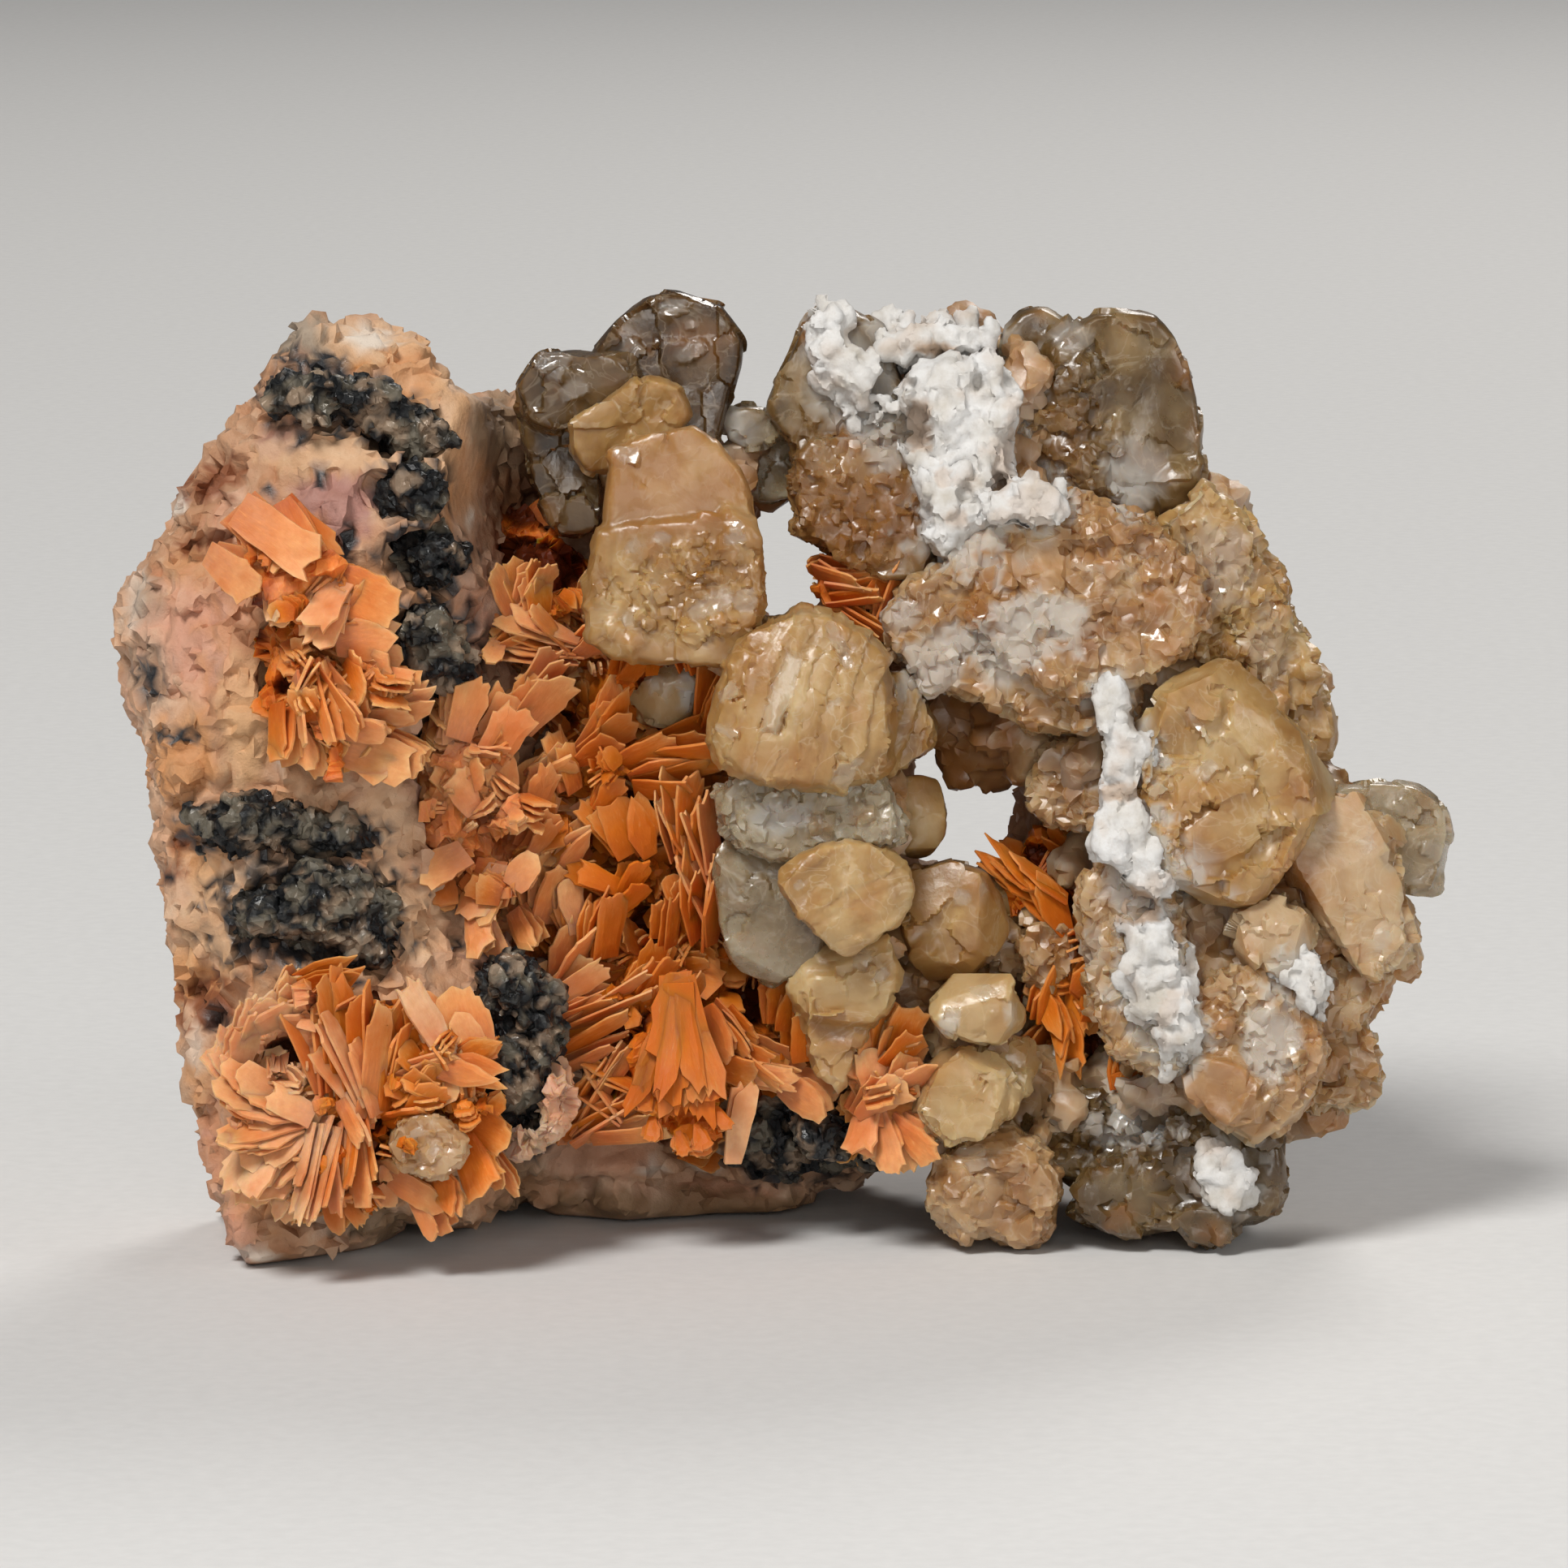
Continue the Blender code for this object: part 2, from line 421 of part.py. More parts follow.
    piece("cerussite_peak", "clear", [
        tablet([(945, 507), (955, 470), (975, 430), (990, 395), (1012, 371), (1050, 380), (1085, 403), (1110, 470), (1130, 550), (1060, 575), (985, 560)], -5.0, 6.0, 0.14),
        tablet([(975, 560), (1060, 540), (1120, 560), (1150, 640), (1140, 710), (1090, 715), (1030, 690), (983, 640)], -6.5, 5.0, 0.16),
    ])
    piece("cerussite_bridge", "clear", [
        tablet([(886, 508), (915, 500), (960, 508), (975, 530), (925, 558), (898, 545)], -3.0, 4.0, 0.14),
        tablet([(905, 535), (960, 525), (995, 560), (990, 605), (950, 618), (915, 610)], -1.0, 6.0, 0.14),
    ])
    piece("cerussite_top_plate", "clear", [
        tablet([(1225, 470), (1240, 408), (1260, 385), (1285, 377), (1315, 392), (1335, 470), (1320, 560), (1260, 560)], -4.0, 3.0, 0.14),
        tablet([(1300, 420), (1350, 382), (1385, 381), (1420, 390), (1445, 415), (1465, 460), (1477, 500), (1481, 580), (1470, 625), (1400, 640), (1330, 600)], -4.0, 4.0, 0.14, (2.0, -1.0)),
        lump(1290, 500, 5.0, 66, 76, 4.6, 14, 43),
        lump(1390, 515, 6.0, 76, 92, 5.2, 13, 44),
        tablet([(1120, 470), (1240, 440), (1330, 480), (1340, 600), (1240, 660), (1140, 640)], -4.5, 7.0, 0.12),
    ])
    piece("cerussite_right_edge", "honey", [
        tablet([(1430, 640), (1481, 590), (1530, 640), (1570, 710), (1590, 760), (1560, 860), (1500, 850), (1450, 760)], -6.5, 3.0, 0.14, (3.0, 0)),
        lump(1512, 745, 5.5, 64, 92, 5.4, 13, 45),
        tablet([(1480, 730), (1578, 728), (1610, 800), (1632, 850), (1641, 885), (1640, 930), (1600, 950), (1540, 900)], -4.5, 4.0, 0.14, (3.0, 0)),
        lump(1574, 850, 5.5, 54, 84, 5.0, 14, 46),
    ])


# ---- white crust --------------------------------------------------------------------------------------------------
def build_crust():
    piece("crust_main", "crust", [
        tablet([(1098, 470), (1130, 435), (1190, 428), (1240, 448), (1262, 520), (1260, 575), (1225, 615), (1150, 620), (1110, 580)], -8.0, -3.5, 0.12),
        tablet([(1115, 580), (1225, 580), (1240, 650), (1225, 695), (1175, 702), (1140, 680)], -9.5, -4.0, 0.14),
        tablet([(1215, 612), (1262, 580), (1290, 590), (1314, 636), (1285, 648), (1232, 652)], -11.0, -7.0, 0.12),
    ])
    piece("crust_top", "crust", [
        tablet([(1078, 412), (1105, 395), (1170, 396), (1240, 407), (1205, 440), (1110, 462)], -6.0, 2.0, 0.12),
    ])
    piece("crust_peak", "crust", [
        tablet([(997, 385), (1015, 374), (1040, 398), (1085, 470), (1078, 505), (1045, 500), (1012, 455)], -6.5, -2.0, 0.10),
    ])
    piece("crust_strand", "crust", [
        tablet([(1338, 838), (1384, 828), (1400, 890), (1420, 952), (1398, 975), (1362, 950), (1350, 890)], -12.0, -7.0, 0.10),
        tablet([(1356, 930), (1412, 930), (1434, 1000), (1445, 1060), (1405, 1085), (1362, 1060), (1350, 1000)], -12.0, -7.0, 0.12),
        tablet([(1372, 1060), (1432, 1055), (1445, 1180), (1472, 1290), (1440, 1302), (1388, 1205)], -12.5, -7.5, 0.12),
    ])
    piece("crust_right_spot", "crust", [
        tablet([(1568, 1196), (1600, 1176), (1630, 1178), (1637, 1226), (1622, 1252), (1604, 1222)], -11.0, -5.5, 0.10),
    ])
    piece("crust_bottom_spot", "crust", [
        tablet([(1478, 1424), (1510, 1412), (1540, 1416), (1540, 1458), (1506, 1490), (1487, 1470)], -9.5, -5.0, 0.10),
    ])


# ---- galena -------------------------------------------------------------------------------------------------------
def build_galena():
    piece("galena_large", "galena", [
        lump(395, 1122, -13.5, 82, 70, 3.4, 13, 1),
        lump(440, 1145, -13.0, 62, 52, 3.0, 13, 2),
        lump(325, 1125, -13.6, 46, 44, 2.4, 13, 3),
    ])
    piece("galena_left_band", "galena", [
        lump(305, 1018, -13.8, 84, 38, 2.6, 13, 4),
        lump(408, 1034, -13.6, 70, 32, 2.6, 13, 5),
    ])
    piece("galena_slab_edge", "galena", [
        lump(630, 1225, -11.5, 42, 66, 3.4, 13, 6),
        lump(630, 1330, -12.0, 48, 78, 3.6, 13, 7),
        lump(664, 1270, -10.5, 34, 72, 3.2, 13, 8),
    ])
    piece("galena_edge_spot", "galena", [
        lump(530, 798, -11.2, 52, 60, 3.0, 13, 9),
        lump(558, 825, -9.8, 28, 46, 2.8, 13, 10),
    ])
    piece("galena_top_band", "galena", [
        lump(385, 490, -11.6, 64, 36, 2.6, 13, 11),
        lump(450, 500, -11.2, 50, 44, 2.4, 13, 12),
        lump(505, 535, -9.8, 48, 42, 2.6, 13, 13),
    ])
    piece("galena_upper_spot", "galena", [lump(508, 606, -11.8, 46, 34, 2.6, 18, 14)])
    piece("galena_middle_spot", "galena", [lump(526, 684, -10.8, 54, 34, 2.8, 18, 15)])
    piece("galena_base", "galena", [
        lump(960, 1398, -1.2, 58, 54, 4.0, 13, 16),
        lump(1020, 1405, -1.0, 42, 42, 3.6, 13, 17),
        lump(1062, 1422, -0.3, 46, 20, 3.0, 13, 18),
    ])


# ---- barite -------------------------------------------------------------------------------------------------------
def build_barite():
    piece("barite_pale_fan", "pale_barite", [
        tablet([(618, 1400), (660, 1385), (688, 1350), (694, 1326), (712, 1336), (708, 1372), (684, 1405), (650, 1422), (622, 1418)], -13.5, -9.0, 0.10),
    ])
    piece("barite_slab_rosette", "barite", [
        lump(400, 840, -13.0, 100, 112, 3.0, 13, 20, 0.10),
        tablet([(286, 700), (318, 655), (380, 665), (440, 705), (430, 755), (360, 765), (305, 745)], -17.0, -12.5, 0.10),
    ] + rosette(430, 830, -15.6, 75, 100, 7, 4.6, 5))
    piece("barite_lower_rosette", "barite", [
        lump(450, 1340, -14.0, 180, 140, 3.6, 13, 21, 0.08),
        lump(410, 1440, -13.8, 110, 70, 3.0, 13, 22, 0.10),
    ] + rosette(450, 1330, -17.0, 150, 110, 10, 5.4, 6) + rosette(410, 1445, -16.6, 60, 40, 2, 4.6, 7))
    piece("barite_base_tuft", "barite", [
        lump(1090, 1340, -3.5, 50, 84, 4.0, 13, 23, 0.10),
    ] + rosette(1090, 1330, -7.4, 34, 66, 5, 4.2, 8))
    piece("barite_upper_right", "barite", [
        lump(1075, 740, 1.0, 66, 88, 4.5, 13, 24, 0.10),
    ] + rosette(1068, 735, -3.2, 46, 66, 5, 4.4, 9))
    piece("barite_inner_right", "barite", [
        lump(1300, 1130, 2.0, 80, 120, 5.0, 13, 25, 0.10),
        lump(1330, 1290, 1.5, 74, 80, 4.5, 13, 26, 0.10),
    ] + rosette(1280, 1120, -3.4, 56, 80, 4, 5.0, 10) + rosette(1320, 1290, -3.2, 50, 60, 3, 4.6, 12))
    piece("barite_cavity_lining", "barite", [
        lump(660, 760, 2.5, 110, 150, 5.5, 13, 27, 0.08),
        lump(560, 980, -6.0, 72, 150, 5.0, 13, 28, 0.08),
        lump(640, 1080, -1.0, 100, 150, 6.5, 13, 29, 0.08),
        lump(790, 960, 1.5, 130, 190, 6.5, 13, 30, 0.08),
        lump(800, 1250, 0.5, 150, 170, 6.5, 13, 31, 0.08),
        lump(920, 1240, 1.5, 110, 130, 5.5, 13, 32, 0.08),
        tablet([(790, 1395), (775, 1260), (800, 1205), (850, 1215), (885, 1290), (890, 1400), (840, 1415)], -7.5, -2.0, 0.10),
    ] + rosette(650, 750, -4.0, 70, 90, 4, 5.0, 13) + rosette(600, 1010, -9.0, 60, 110, 5, 5.0, 14) + rosette(800, 900, -5.8, 80, 90, 4, 5.4, 15)
      + rosette(760, 1100, -6.4, 80, 90, 4, 5.4, 16) + rosette(760, 1300, -6.6, 70, 80, 4, 5.0, 17))


# ---- host rock ----------------------------------------------------------------------------------------------------
def depth_at(table, u, v):
    total = weight = 0.0
    for a, b, y in table:
        w = 1.0 / ((u - a) ** 2 + (v - b) ** 2 + 60.0) ** 1.6
        total += w * y
        weight += w
    return total / weight


def inside(outline, u, v):
    hit = False
    for (a, b), (c, d) in zip(outline, outline[1:] + outline[:1]):
        if (b > v) != (d > v) and u < (c - a) * (v - b) / (d - b) + a:
            hit = not hit
    return hit


def clear_of(outline, u, v, by):
    for (a, b), (c, d) in zip(outline, outline[1:] + outline[:1]):
        t = max(0.0, min(1.0, ((u - a) * (c - a) + (v - b) * (d - b)) / ((c - a) ** 2 + (d - b) ** 2)))
        if math.hypot(u - a - t * (c - a), v - b - t * (d - b)) < by:
            return False
    return True


def drawn_in(outline, by):
    """The outline moved towards its own inside by this many units, point for point."""
    area = sum(a * d - c * b for (a, b), (c, d) in zip(outline, outline[1:] + outline[:1]))
    sign = 1 if area > 0 else -1
    out = []
    n = len(outline)
    for i, (u, v) in enumerate(outline):
        (a, b), (c, d) = outline[i - 1], outline[(i + 1) % n]
        tu, tv = c - a, d - b
        k = sign * by / max(1e-6, math.hypot(tu, tv))
        out.append((u - tv * k, v + tu * k))
    return out


def build_rock():
    """The rock: a front and a rear surface over one net of points, joined round the rim and through the two holes."""
    rims = [ROCK_OUTLINE, list(reversed(UPPER_HOLE)), list(reversed(LOWER_HOLE))]
    rnd = random.Random(3)
    flat, edges = [], []
    inner = [drawn_in(rims[0], 10.0), drawn_in(rims[1], -10.0), drawn_in(rims[2], -10.0)]
    for rim, drawn in zip(rims, inner):
        start = len(flat)
        flat += drawn
        edges += [(start + i, start + (i + 1) % len(rim)) for i in range(len(rim))]
    rim_count = len(flat)
    v = 400.0
    row = 0
    while v < 1560:
        u = 150.0 + (ROCK_PITCH / 2 if row % 2 else 0)
        while u < 1620:
            pu, pv = u + rnd.uniform(-12, 12), v + rnd.uniform(-12, 12)
            if inside(ROCK_OUTLINE, pu, pv) and clear_of(ROCK_OUTLINE, pu, pv, 34) and not any(
                inside(h, pu, pv) or not clear_of(h, pu, pv, 34) for h in (UPPER_HOLE, LOWER_HOLE)
            ):
                flat.append((pu, pv))
            u += ROCK_PITCH
        v += ROCK_PITCH * 0.87
        row += 1
    verts, _, faces, _, _, _ = delaunay_2d_cdt([Vector(p) for p in flat], edges, [], 0, 1e-4)
    points = [(p.x, p.y) for p in verts]
    if len(points) != len(flat):
        print("the rock's outline crosses itself", len(points), len(flat))
    faces = [
        f for f in faces
        if (lambda c: inside(inner[0], *c) and not inside(inner[1], *c) and not inside(inner[2], *c))(
            (sum(points[i][0] for i in f) / 3, sum(points[i][1] for i in f) / 3)
        )
    ]
    bm = bmesh.new()
    front, back = [], []
    for i, (u, v) in enumerate(points):
        n = noise.noise(Vector((u / 55, v / 55, 0.3)))
        m = noise.noise(Vector((u / 70, v / 70, 7.7))) + 0.6 * noise.noise(Vector((u / 25, v / 25, 3.1)))
        f, b = depth_at(ROCK_FRONT, u, v) + 0.7 * n, depth_at(ROCK_BACK, u, v) + 2.4 * m
        if i < rim_count:
            b -= 1.5
            f += 0.5
        front.append(bm.verts.new(at(u, v, f)))
        back.append(bm.verts.new(at(u, v, max(b, f + 3.0))))
    for f in faces:
        bm.faces.new([front[i] for i in f])
        bm.faces.new([back[i] for i in reversed(f)])
    start = 0
    for rim in rims:
        n = len(rim)
        ring = []
        for i, (u, v) in enumerate(rim):
            f, b = depth_at(ROCK_FRONT, u, v), depth_at(ROCK_BACK, u, v)
            k = 0.42 + 0.22 * noise.noise(Vector((u / 60, v / 60, 5.5)))
            ring.append(bm.verts.new(at(u, v, f + (b - f) * k)))
        for i in range(n):
            j = (i + 1) % n
            bm.faces.new([front[start + j], front[start + i], ring[i], ring[j]])
            bm.faces.new([ring[j], ring[i], back[start + i], back[start + j]])
        start += n
    bmesh.ops.triangulate(bm, faces=bm.faces)
    bmesh.ops.recalc_face_normals(bm, faces=bm.faces)
    ob = mesh_object("matrix", bm)
    boolean(ob, [grown(s) for _, solids in PIECES for s in solids], "DIFFERENCE")
    boolean(ob, [shelf()], "DIFFERENCE")
    found = tidy(ob, 9.0)
    print("matrix bodies in mm3", found[:6], len(found))
    ob.data.materials.clear()
    ob.data.materials.append(FINISH["rock"])
    for f in ob.data.polygons:
        f.use_smooth = False
        f.material_index = 0
    return ob


build_cerussite()
build_crust()
build_galena()
build_barite()
build_rock()

nodes = [o for o in bpy.context.scene.collection.objects if o.type == "MESH"]
low = [min(v.co[i] for o in nodes for v in o.data.vertices) for i in range(3)]
high = [max(v.co[i] for o in nodes for v in o.data.vertices) for i in range(3)]
print("box", low, high, "triangles", sum(len(o.data.polygons) for o in nodes), "nodes", len(nodes))
print({o.name: len(o.data.polygons) for o in nodes})
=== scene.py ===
"""The looks of a hand specimen of orange barite with cerussite and galena on buff rock.

Shapes are made in millimetres and written in metres. Places on the specimen are given in the front view, in outline
units (u to the right, v down), with a depth y in mm, negative towards the viewer.
"""

import math
import random
import time

import bmesh
import bpy
import numpy as np
from mathutils import Matrix, Vector


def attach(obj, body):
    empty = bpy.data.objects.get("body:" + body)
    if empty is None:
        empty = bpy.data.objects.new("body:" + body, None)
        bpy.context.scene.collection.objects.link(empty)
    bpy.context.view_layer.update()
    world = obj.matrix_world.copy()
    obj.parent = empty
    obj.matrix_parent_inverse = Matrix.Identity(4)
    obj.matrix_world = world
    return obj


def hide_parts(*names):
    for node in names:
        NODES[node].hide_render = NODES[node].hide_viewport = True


START = time.time()
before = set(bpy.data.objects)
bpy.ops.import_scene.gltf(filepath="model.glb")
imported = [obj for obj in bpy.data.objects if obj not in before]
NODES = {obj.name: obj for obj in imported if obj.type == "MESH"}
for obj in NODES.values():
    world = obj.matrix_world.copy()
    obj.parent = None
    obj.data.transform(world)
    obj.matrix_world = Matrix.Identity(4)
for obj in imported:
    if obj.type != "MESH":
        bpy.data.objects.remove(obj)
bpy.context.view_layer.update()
SCALE = 1.0  # coarser voxels while trying things

# ---- the front view -------------------------------------------------------------------------------------------------
UNIT = 0.0457  # mm
DIST = 600.0
ELEV = math.radians(8.0)
CE, SE = math.cos(ELEV), math.sin(ELEV)
EYE = np.array([-0.1, -DIST * CE + 1.4, 25.42 + DIST * SE])
TO_EYE = np.array([0.0, -CE, SE])
UP = np.array([0.0, SE, CE])


def at(u, v, y):
    """The points of space, in mm, seen at outline points (u, v) at depth y in mm."""
    u, v, y = np.broadcast_arrays(np.asarray(u, float), np.asarray(v, float), np.asarray(y, float))
    right, down = (u - 966) * UNIT / DIST, (v - 966) * UNIT / DIST
    ray = np.stack([right, CE - down * SE, -SE - down * CE], -1)
    t = (y + DIST * CE) / ray[..., 1]
    return EYE + ray * t[..., None]


def seen(p):
    """(u, v) and depth y in mm of points of space in mm."""
    q = p - EYE
    far = q[..., 1] * CE - q[..., 2] * SE
    return 966 + q[..., 0] / far * DIST / UNIT, 966 - (q[..., 1] * SE + q[..., 2] * CE) / far * DIST / UNIT, p[..., 1] - 1.4


# ---- camera, lights and floor ---------------------------------------------------------------------------------------
def camera():
    data = bpy.data.cameras.new("camera")
    data.sensor_width = 36.0
    data.lens = 36.0 * DIST / (1932 * UNIT)
    data.clip_start, data.clip_end = 0.05, 20.0
    ob = bpy.data.objects.new("camera", data)
    ob.location = EYE / 1000
    ob.rotation_euler = (math.radians(90) - ELEV, 0, 0)
    bpy.context.scene.collection.objects.link(ob)
    bpy.context.scene.camera = ob


def area(name, direction, distance, size, power, colour=(1, 1, 1), aim=(0, 0, 0.026)):
    data = bpy.data.lights.new(name, "AREA")
    data.shape, data.size, data.energy, data.color = "DISK", size, power, colour
    ob = bpy.data.objects.new(name, data)
    d = Vector(direction).normalized()
    ob.location = Vector(aim) + d * distance
    ob.rotation_euler = d.to_track_quat("Z", "Y").to_euler()
    bpy.context.scene.collection.objects.link(ob)


KEY = Vector((-0.30, -0.62, 0.74)).normalized()
GLINT = (np.array(KEY) + TO_EYE) / np.linalg.norm(np.array(KEY) + TO_EYE)  # a facet facing this way shows the key light


def studio():
    area("key_light", KEY, 1.30, 0.42, 14.5, (1.0, 0.985, 0.96))
    area("fill_light", (0.85, -0.55, 0.35), 1.2, 0.50, 2.6, (1.0, 0.98, 0.95))
    area("front_light", (0.05, -0.97, 0.24), 1.4, 0.60, 3.4, (1.0, 0.98, 0.95))
    area("rear_light", (0.25, 0.75, 0.62), 1.2, 0.45, 4.6, (1.0, 0.97, 0.93))
    paths = bpy.context.scene.cycles
    paths.max_bounces, paths.diffuse_bounces, paths.glossy_bounces, paths.transmission_bounces = 6, 2, 2, 5
    view = bpy.context.scene.view_settings
    view.view_transform, view.look, view.exposure = "Standard", "None", 0.0
    world = bpy.data.worlds.new("studio")
    world.use_nodes = True
    world.node_tree.nodes["Background"].inputs["Color"].default_value = (0.92, 0.95, 1.0, 1)
    world.node_tree.nodes["Background"].inputs["Strength"].default_value = 0.09
    bpy.context.scene.world = world
    bm = bmesh.new()
    bmesh.ops.create_circle(bm, cap_ends=True, radius=3.0, segments=96)
    me = bpy.data.meshes.new("floor")
    bm.to_mesh(me)
    bm.free()
    floor = bpy.data.objects.new("floor", me)
    bpy.context.scene.collection.objects.link(floor)
    m = Shader("floor_paper")
    speck = m.noise(900.0, 4)
    m.set("Base Color", m.ramp(speck, [(0.3, (0.70, 0.695, 0.685)), (0.7, (0.74, 0.735, 0.725))]))
    m.const(Roughness=0.75)
    m.bump(speck, 0.15, 0.00005)
    me.materials.append(m.mat)


# ---- node materials -------------------------------------------------------------------------------------------------
class Shader:
    """A Principled material and short names for the nodes that feed it."""

    def __init__(self, name):
        self.mat = bpy.data.materials.new(name)
        self.mat.use_nodes = True
        self.tree = self.mat.node_tree
        self.bsdf = self.tree.nodes["Principled BSDF"]
        self.out = self.tree.nodes["Material Output"]
        self.place = self.tree.nodes.new("ShaderNodeTexCoord").outputs["Object"]

    def node(self, kind, **props):
        n = self.tree.nodes.new(kind)
        for k, v in props.items():
            setattr(n, k, v)
        return n

    def feed(self, socket, value):
        if isinstance(value, bpy.types.NodeSocket):
            self.tree.links.new(value, socket)
        elif isinstance(value, (tuple, list)):
            socket.default_value = (*value, 1.0) if len(value) == 3 and socket.type == "RGBA" else value
        else:
            socket.default_value = (value, value, value, 1.0) if socket.type == "RGBA" else value

    def noise(self, scale, detail=3, rough=0.55, twist=0.0, place=None):
        n = self.node("ShaderNodeTexNoise")
        self.feed(n.inputs["Vector"], place or self.place)
        n.inputs["Scale"].default_value = scale
        n.inputs["Detail"].default_value = detail
        n.inputs["Roughness"].default_value = rough
        n.inputs["Distortion"].default_value = twist
        return n.outputs["Fac"]

    def cells(self, scale, feature="F1", what="Distance", place=None):
        n = self.node("ShaderNodeTexVoronoi", feature=feature)
        self.feed(n.inputs["Vector"], place or self.place)
        n.inputs["Scale"].default_value = scale
        return n.outputs[what]

    def attr(self, name):
        return self.node("ShaderNodeAttribute", attribute_name=name).outputs["Fac"]

    def ramp(self, fac, stops, ease="LINEAR"):
        n = self.node("ShaderNodeValToRGB")
        self.feed(n.inputs["Fac"], fac)
        n.color_ramp.interpolation = ease
        while len(n.color_ramp.elements) < len(stops):
            n.color_ramp.elements.new(0.5)
        for e, (pos, colour) in zip(n.color_ramp.elements, stops):
            e.position = pos
            e.color = (*colour, 1) if isinstance(colour, tuple) else (colour, colour, colour, 1)
        return n.outputs["Color"]

    def mix(self, fac, a, b, how="MIX"):
        n = self.node("ShaderNodeMix", data_type="RGBA", blend_type=how)
        self.feed(n.inputs["Factor"], fac)
        self.feed(n.inputs["A"] if n.inputs["A"].type == "RGBA" else n.inputs[6], a)
        self.feed(n.inputs["B"] if n.inputs["B"].type == "RGBA" else n.inputs[7], b)
        return n.outputs[2]

    def math(self, how, a, b=0.5, c=0.5, clamp=False):
        n = self.node("ShaderNodeMath", operation=how, use_clamp=clamp)
        for socket, value in zip(n.inputs, (a, b, c)):
            self.feed(socket, value)
        return n.outputs[0]

    def set(self, socket, value):
        self.feed(self.bsdf.inputs[socket], value)

    def const(self, **values):
        for k, v in values.items():
            s = self.bsdf.inputs[k.replace("_", " ")]
            s.default_value = (*v, 1.0) if isinstance(v, tuple) and s.type == "RGBA" else v

    def bump(self, height, strength, distance):
        n = self.node("ShaderNodeBump")
        n.inputs["Strength"].default_value = strength
        n.inputs["Distance"].default_value = distance
        self.feed(n.inputs["Height"], height)
        if self.bsdf.inputs["Normal"].is_linked:
            self.tree.links.new(self.bsdf.inputs["Normal"].links[0].from_socket, n.inputs["Normal"])
        self.set("Normal", n.outputs["Normal"])

    def absorb(self, colour, density):
        n = self.node("ShaderNodeVolumeAbsorption")
        n.inputs["Color"].default_value = (*colour, 1)
        n.inputs["Density"].default_value = density
        self.tree.links.new(n.outputs["Volume"], self.out.inputs["Volume"])


# ---- noise on arrays of points, in mm ----------------------------------------------------------------------------------
def _mash(x, y, z, seed):
    h = (x & 0xFFFFFFFF).astype(np.uint32) * np.uint32(0x8DA6B343)
    h ^= (y & 0xFFFFFFFF).astype(np.uint32) * np.uint32(0xD8163841)
    h ^= (z & 0xFFFFFFFF).astype(np.uint32) * np.uint32(0xCB1AB31F)
    h ^= np.uint32((seed * 0x9E3779B1) & 0xFFFFFFFF)
    h ^= h >> np.uint32(15)
    h *= np.uint32(0x2C1B3C6D)
    h ^= h >> np.uint32(12)
    h *= np.uint32(0x297A2D39)
    h ^= h >> np.uint32(15)
    return h


def _parts(h):
    return np.stack([(h & np.uint32(1023)), (h >> np.uint32(10)) & np.uint32(1023), (h >> np.uint32(20)) & np.uint32(1023)], -1) / 511.5 - 1.0


def wave(p, size, seed=0):
    """Smooth gradient noise, about -1 to 1, with features of this size in mm."""
    q = np.asarray(p, float) / size + 100.5
    base = np.floor(q).astype(np.int64)
    f = q - base
    s = f * f * f * (f * (f * 6 - 15) + 10)
    total = 0.0
    for i in (0, 1):
        for j in (0, 1):
            for k in (0, 1):
                g = _parts(_mash(base[..., 0] + i, base[..., 1] + j, base[..., 2] + k, seed))
                d = g[..., 0] * (f[..., 0] - i) + g[..., 1] * (f[..., 1] - j) + g[..., 2] * (f[..., 2] - k)
                w = (s[..., 0] if i else 1 - s[..., 0]) * (s[..., 1] if j else 1 - s[..., 1]) * (s[..., 2] if k else 1 - s[..., 2])
                total = total + d * w
    return total * 1.5


def rough(p, size, octaves=4, seed=0, keep=0.5):
    total, amp = 0.0, 1.0
    for i in range(octaves):
        total = total + wave(p, size / 2**i, seed + i * 13) * amp
        amp *= keep
    return total


def cells(p, size, seed=0, jitter=0.9):
    """(offset from the nearest seed point in mm, its three random numbers, nearest and second distance in mm)."""
    q = np.asarray(p, float) / size + 100.5
    base = np.floor(q).astype(np.int64)
    best = np.full(len(q), 1e9)
    second = best.copy()
    offset = np.zeros((len(q), 3))
    rand = np.zeros((len(q), 3))
    for i in (-1, 0, 1):
        for j in (-1, 0, 1):
            for k in (-1, 0, 1):
                cell = base + (i, j, k)
                h = _mash(cell[:, 0], cell[:, 1], cell[:, 2], seed)
                spot = cell + 0.5 + _parts(h) * 0.5 * jitter
                d = q - spot
                r = (d * d).sum(1)
                near = r < best
                second = np.where(near, best, np.minimum(second, r))
                best = np.where(near, r, best)
                offset[near] = d[near]
                rand[near] = _parts(h ^ np.uint32(0x5BD1E995))[near]
    return offset * size, rand, np.sqrt(best) * size, np.sqrt(second) * size


def step(a, b, x):
    t = np.clip((x - a) / (b - a), 0, 1)
    return t * t * (3 - 2 * t)


def patch(u, v, cu, cv, ru, rv, turn=0.0, edge=0.35):
    """1 inside an ellipse of the front view, falling to 0 across its edge."""
    c, s = math.cos(math.radians(turn)), math.sin(math.radians(turn))
    a, b = (u - cu) * c + (v - cv) * s, -(u - cu) * s + (v - cv) * c
    return 1 - step(1 - edge, 1 + edge, np.sqrt((a / ru) ** 2 + (b / rv) ** 2))


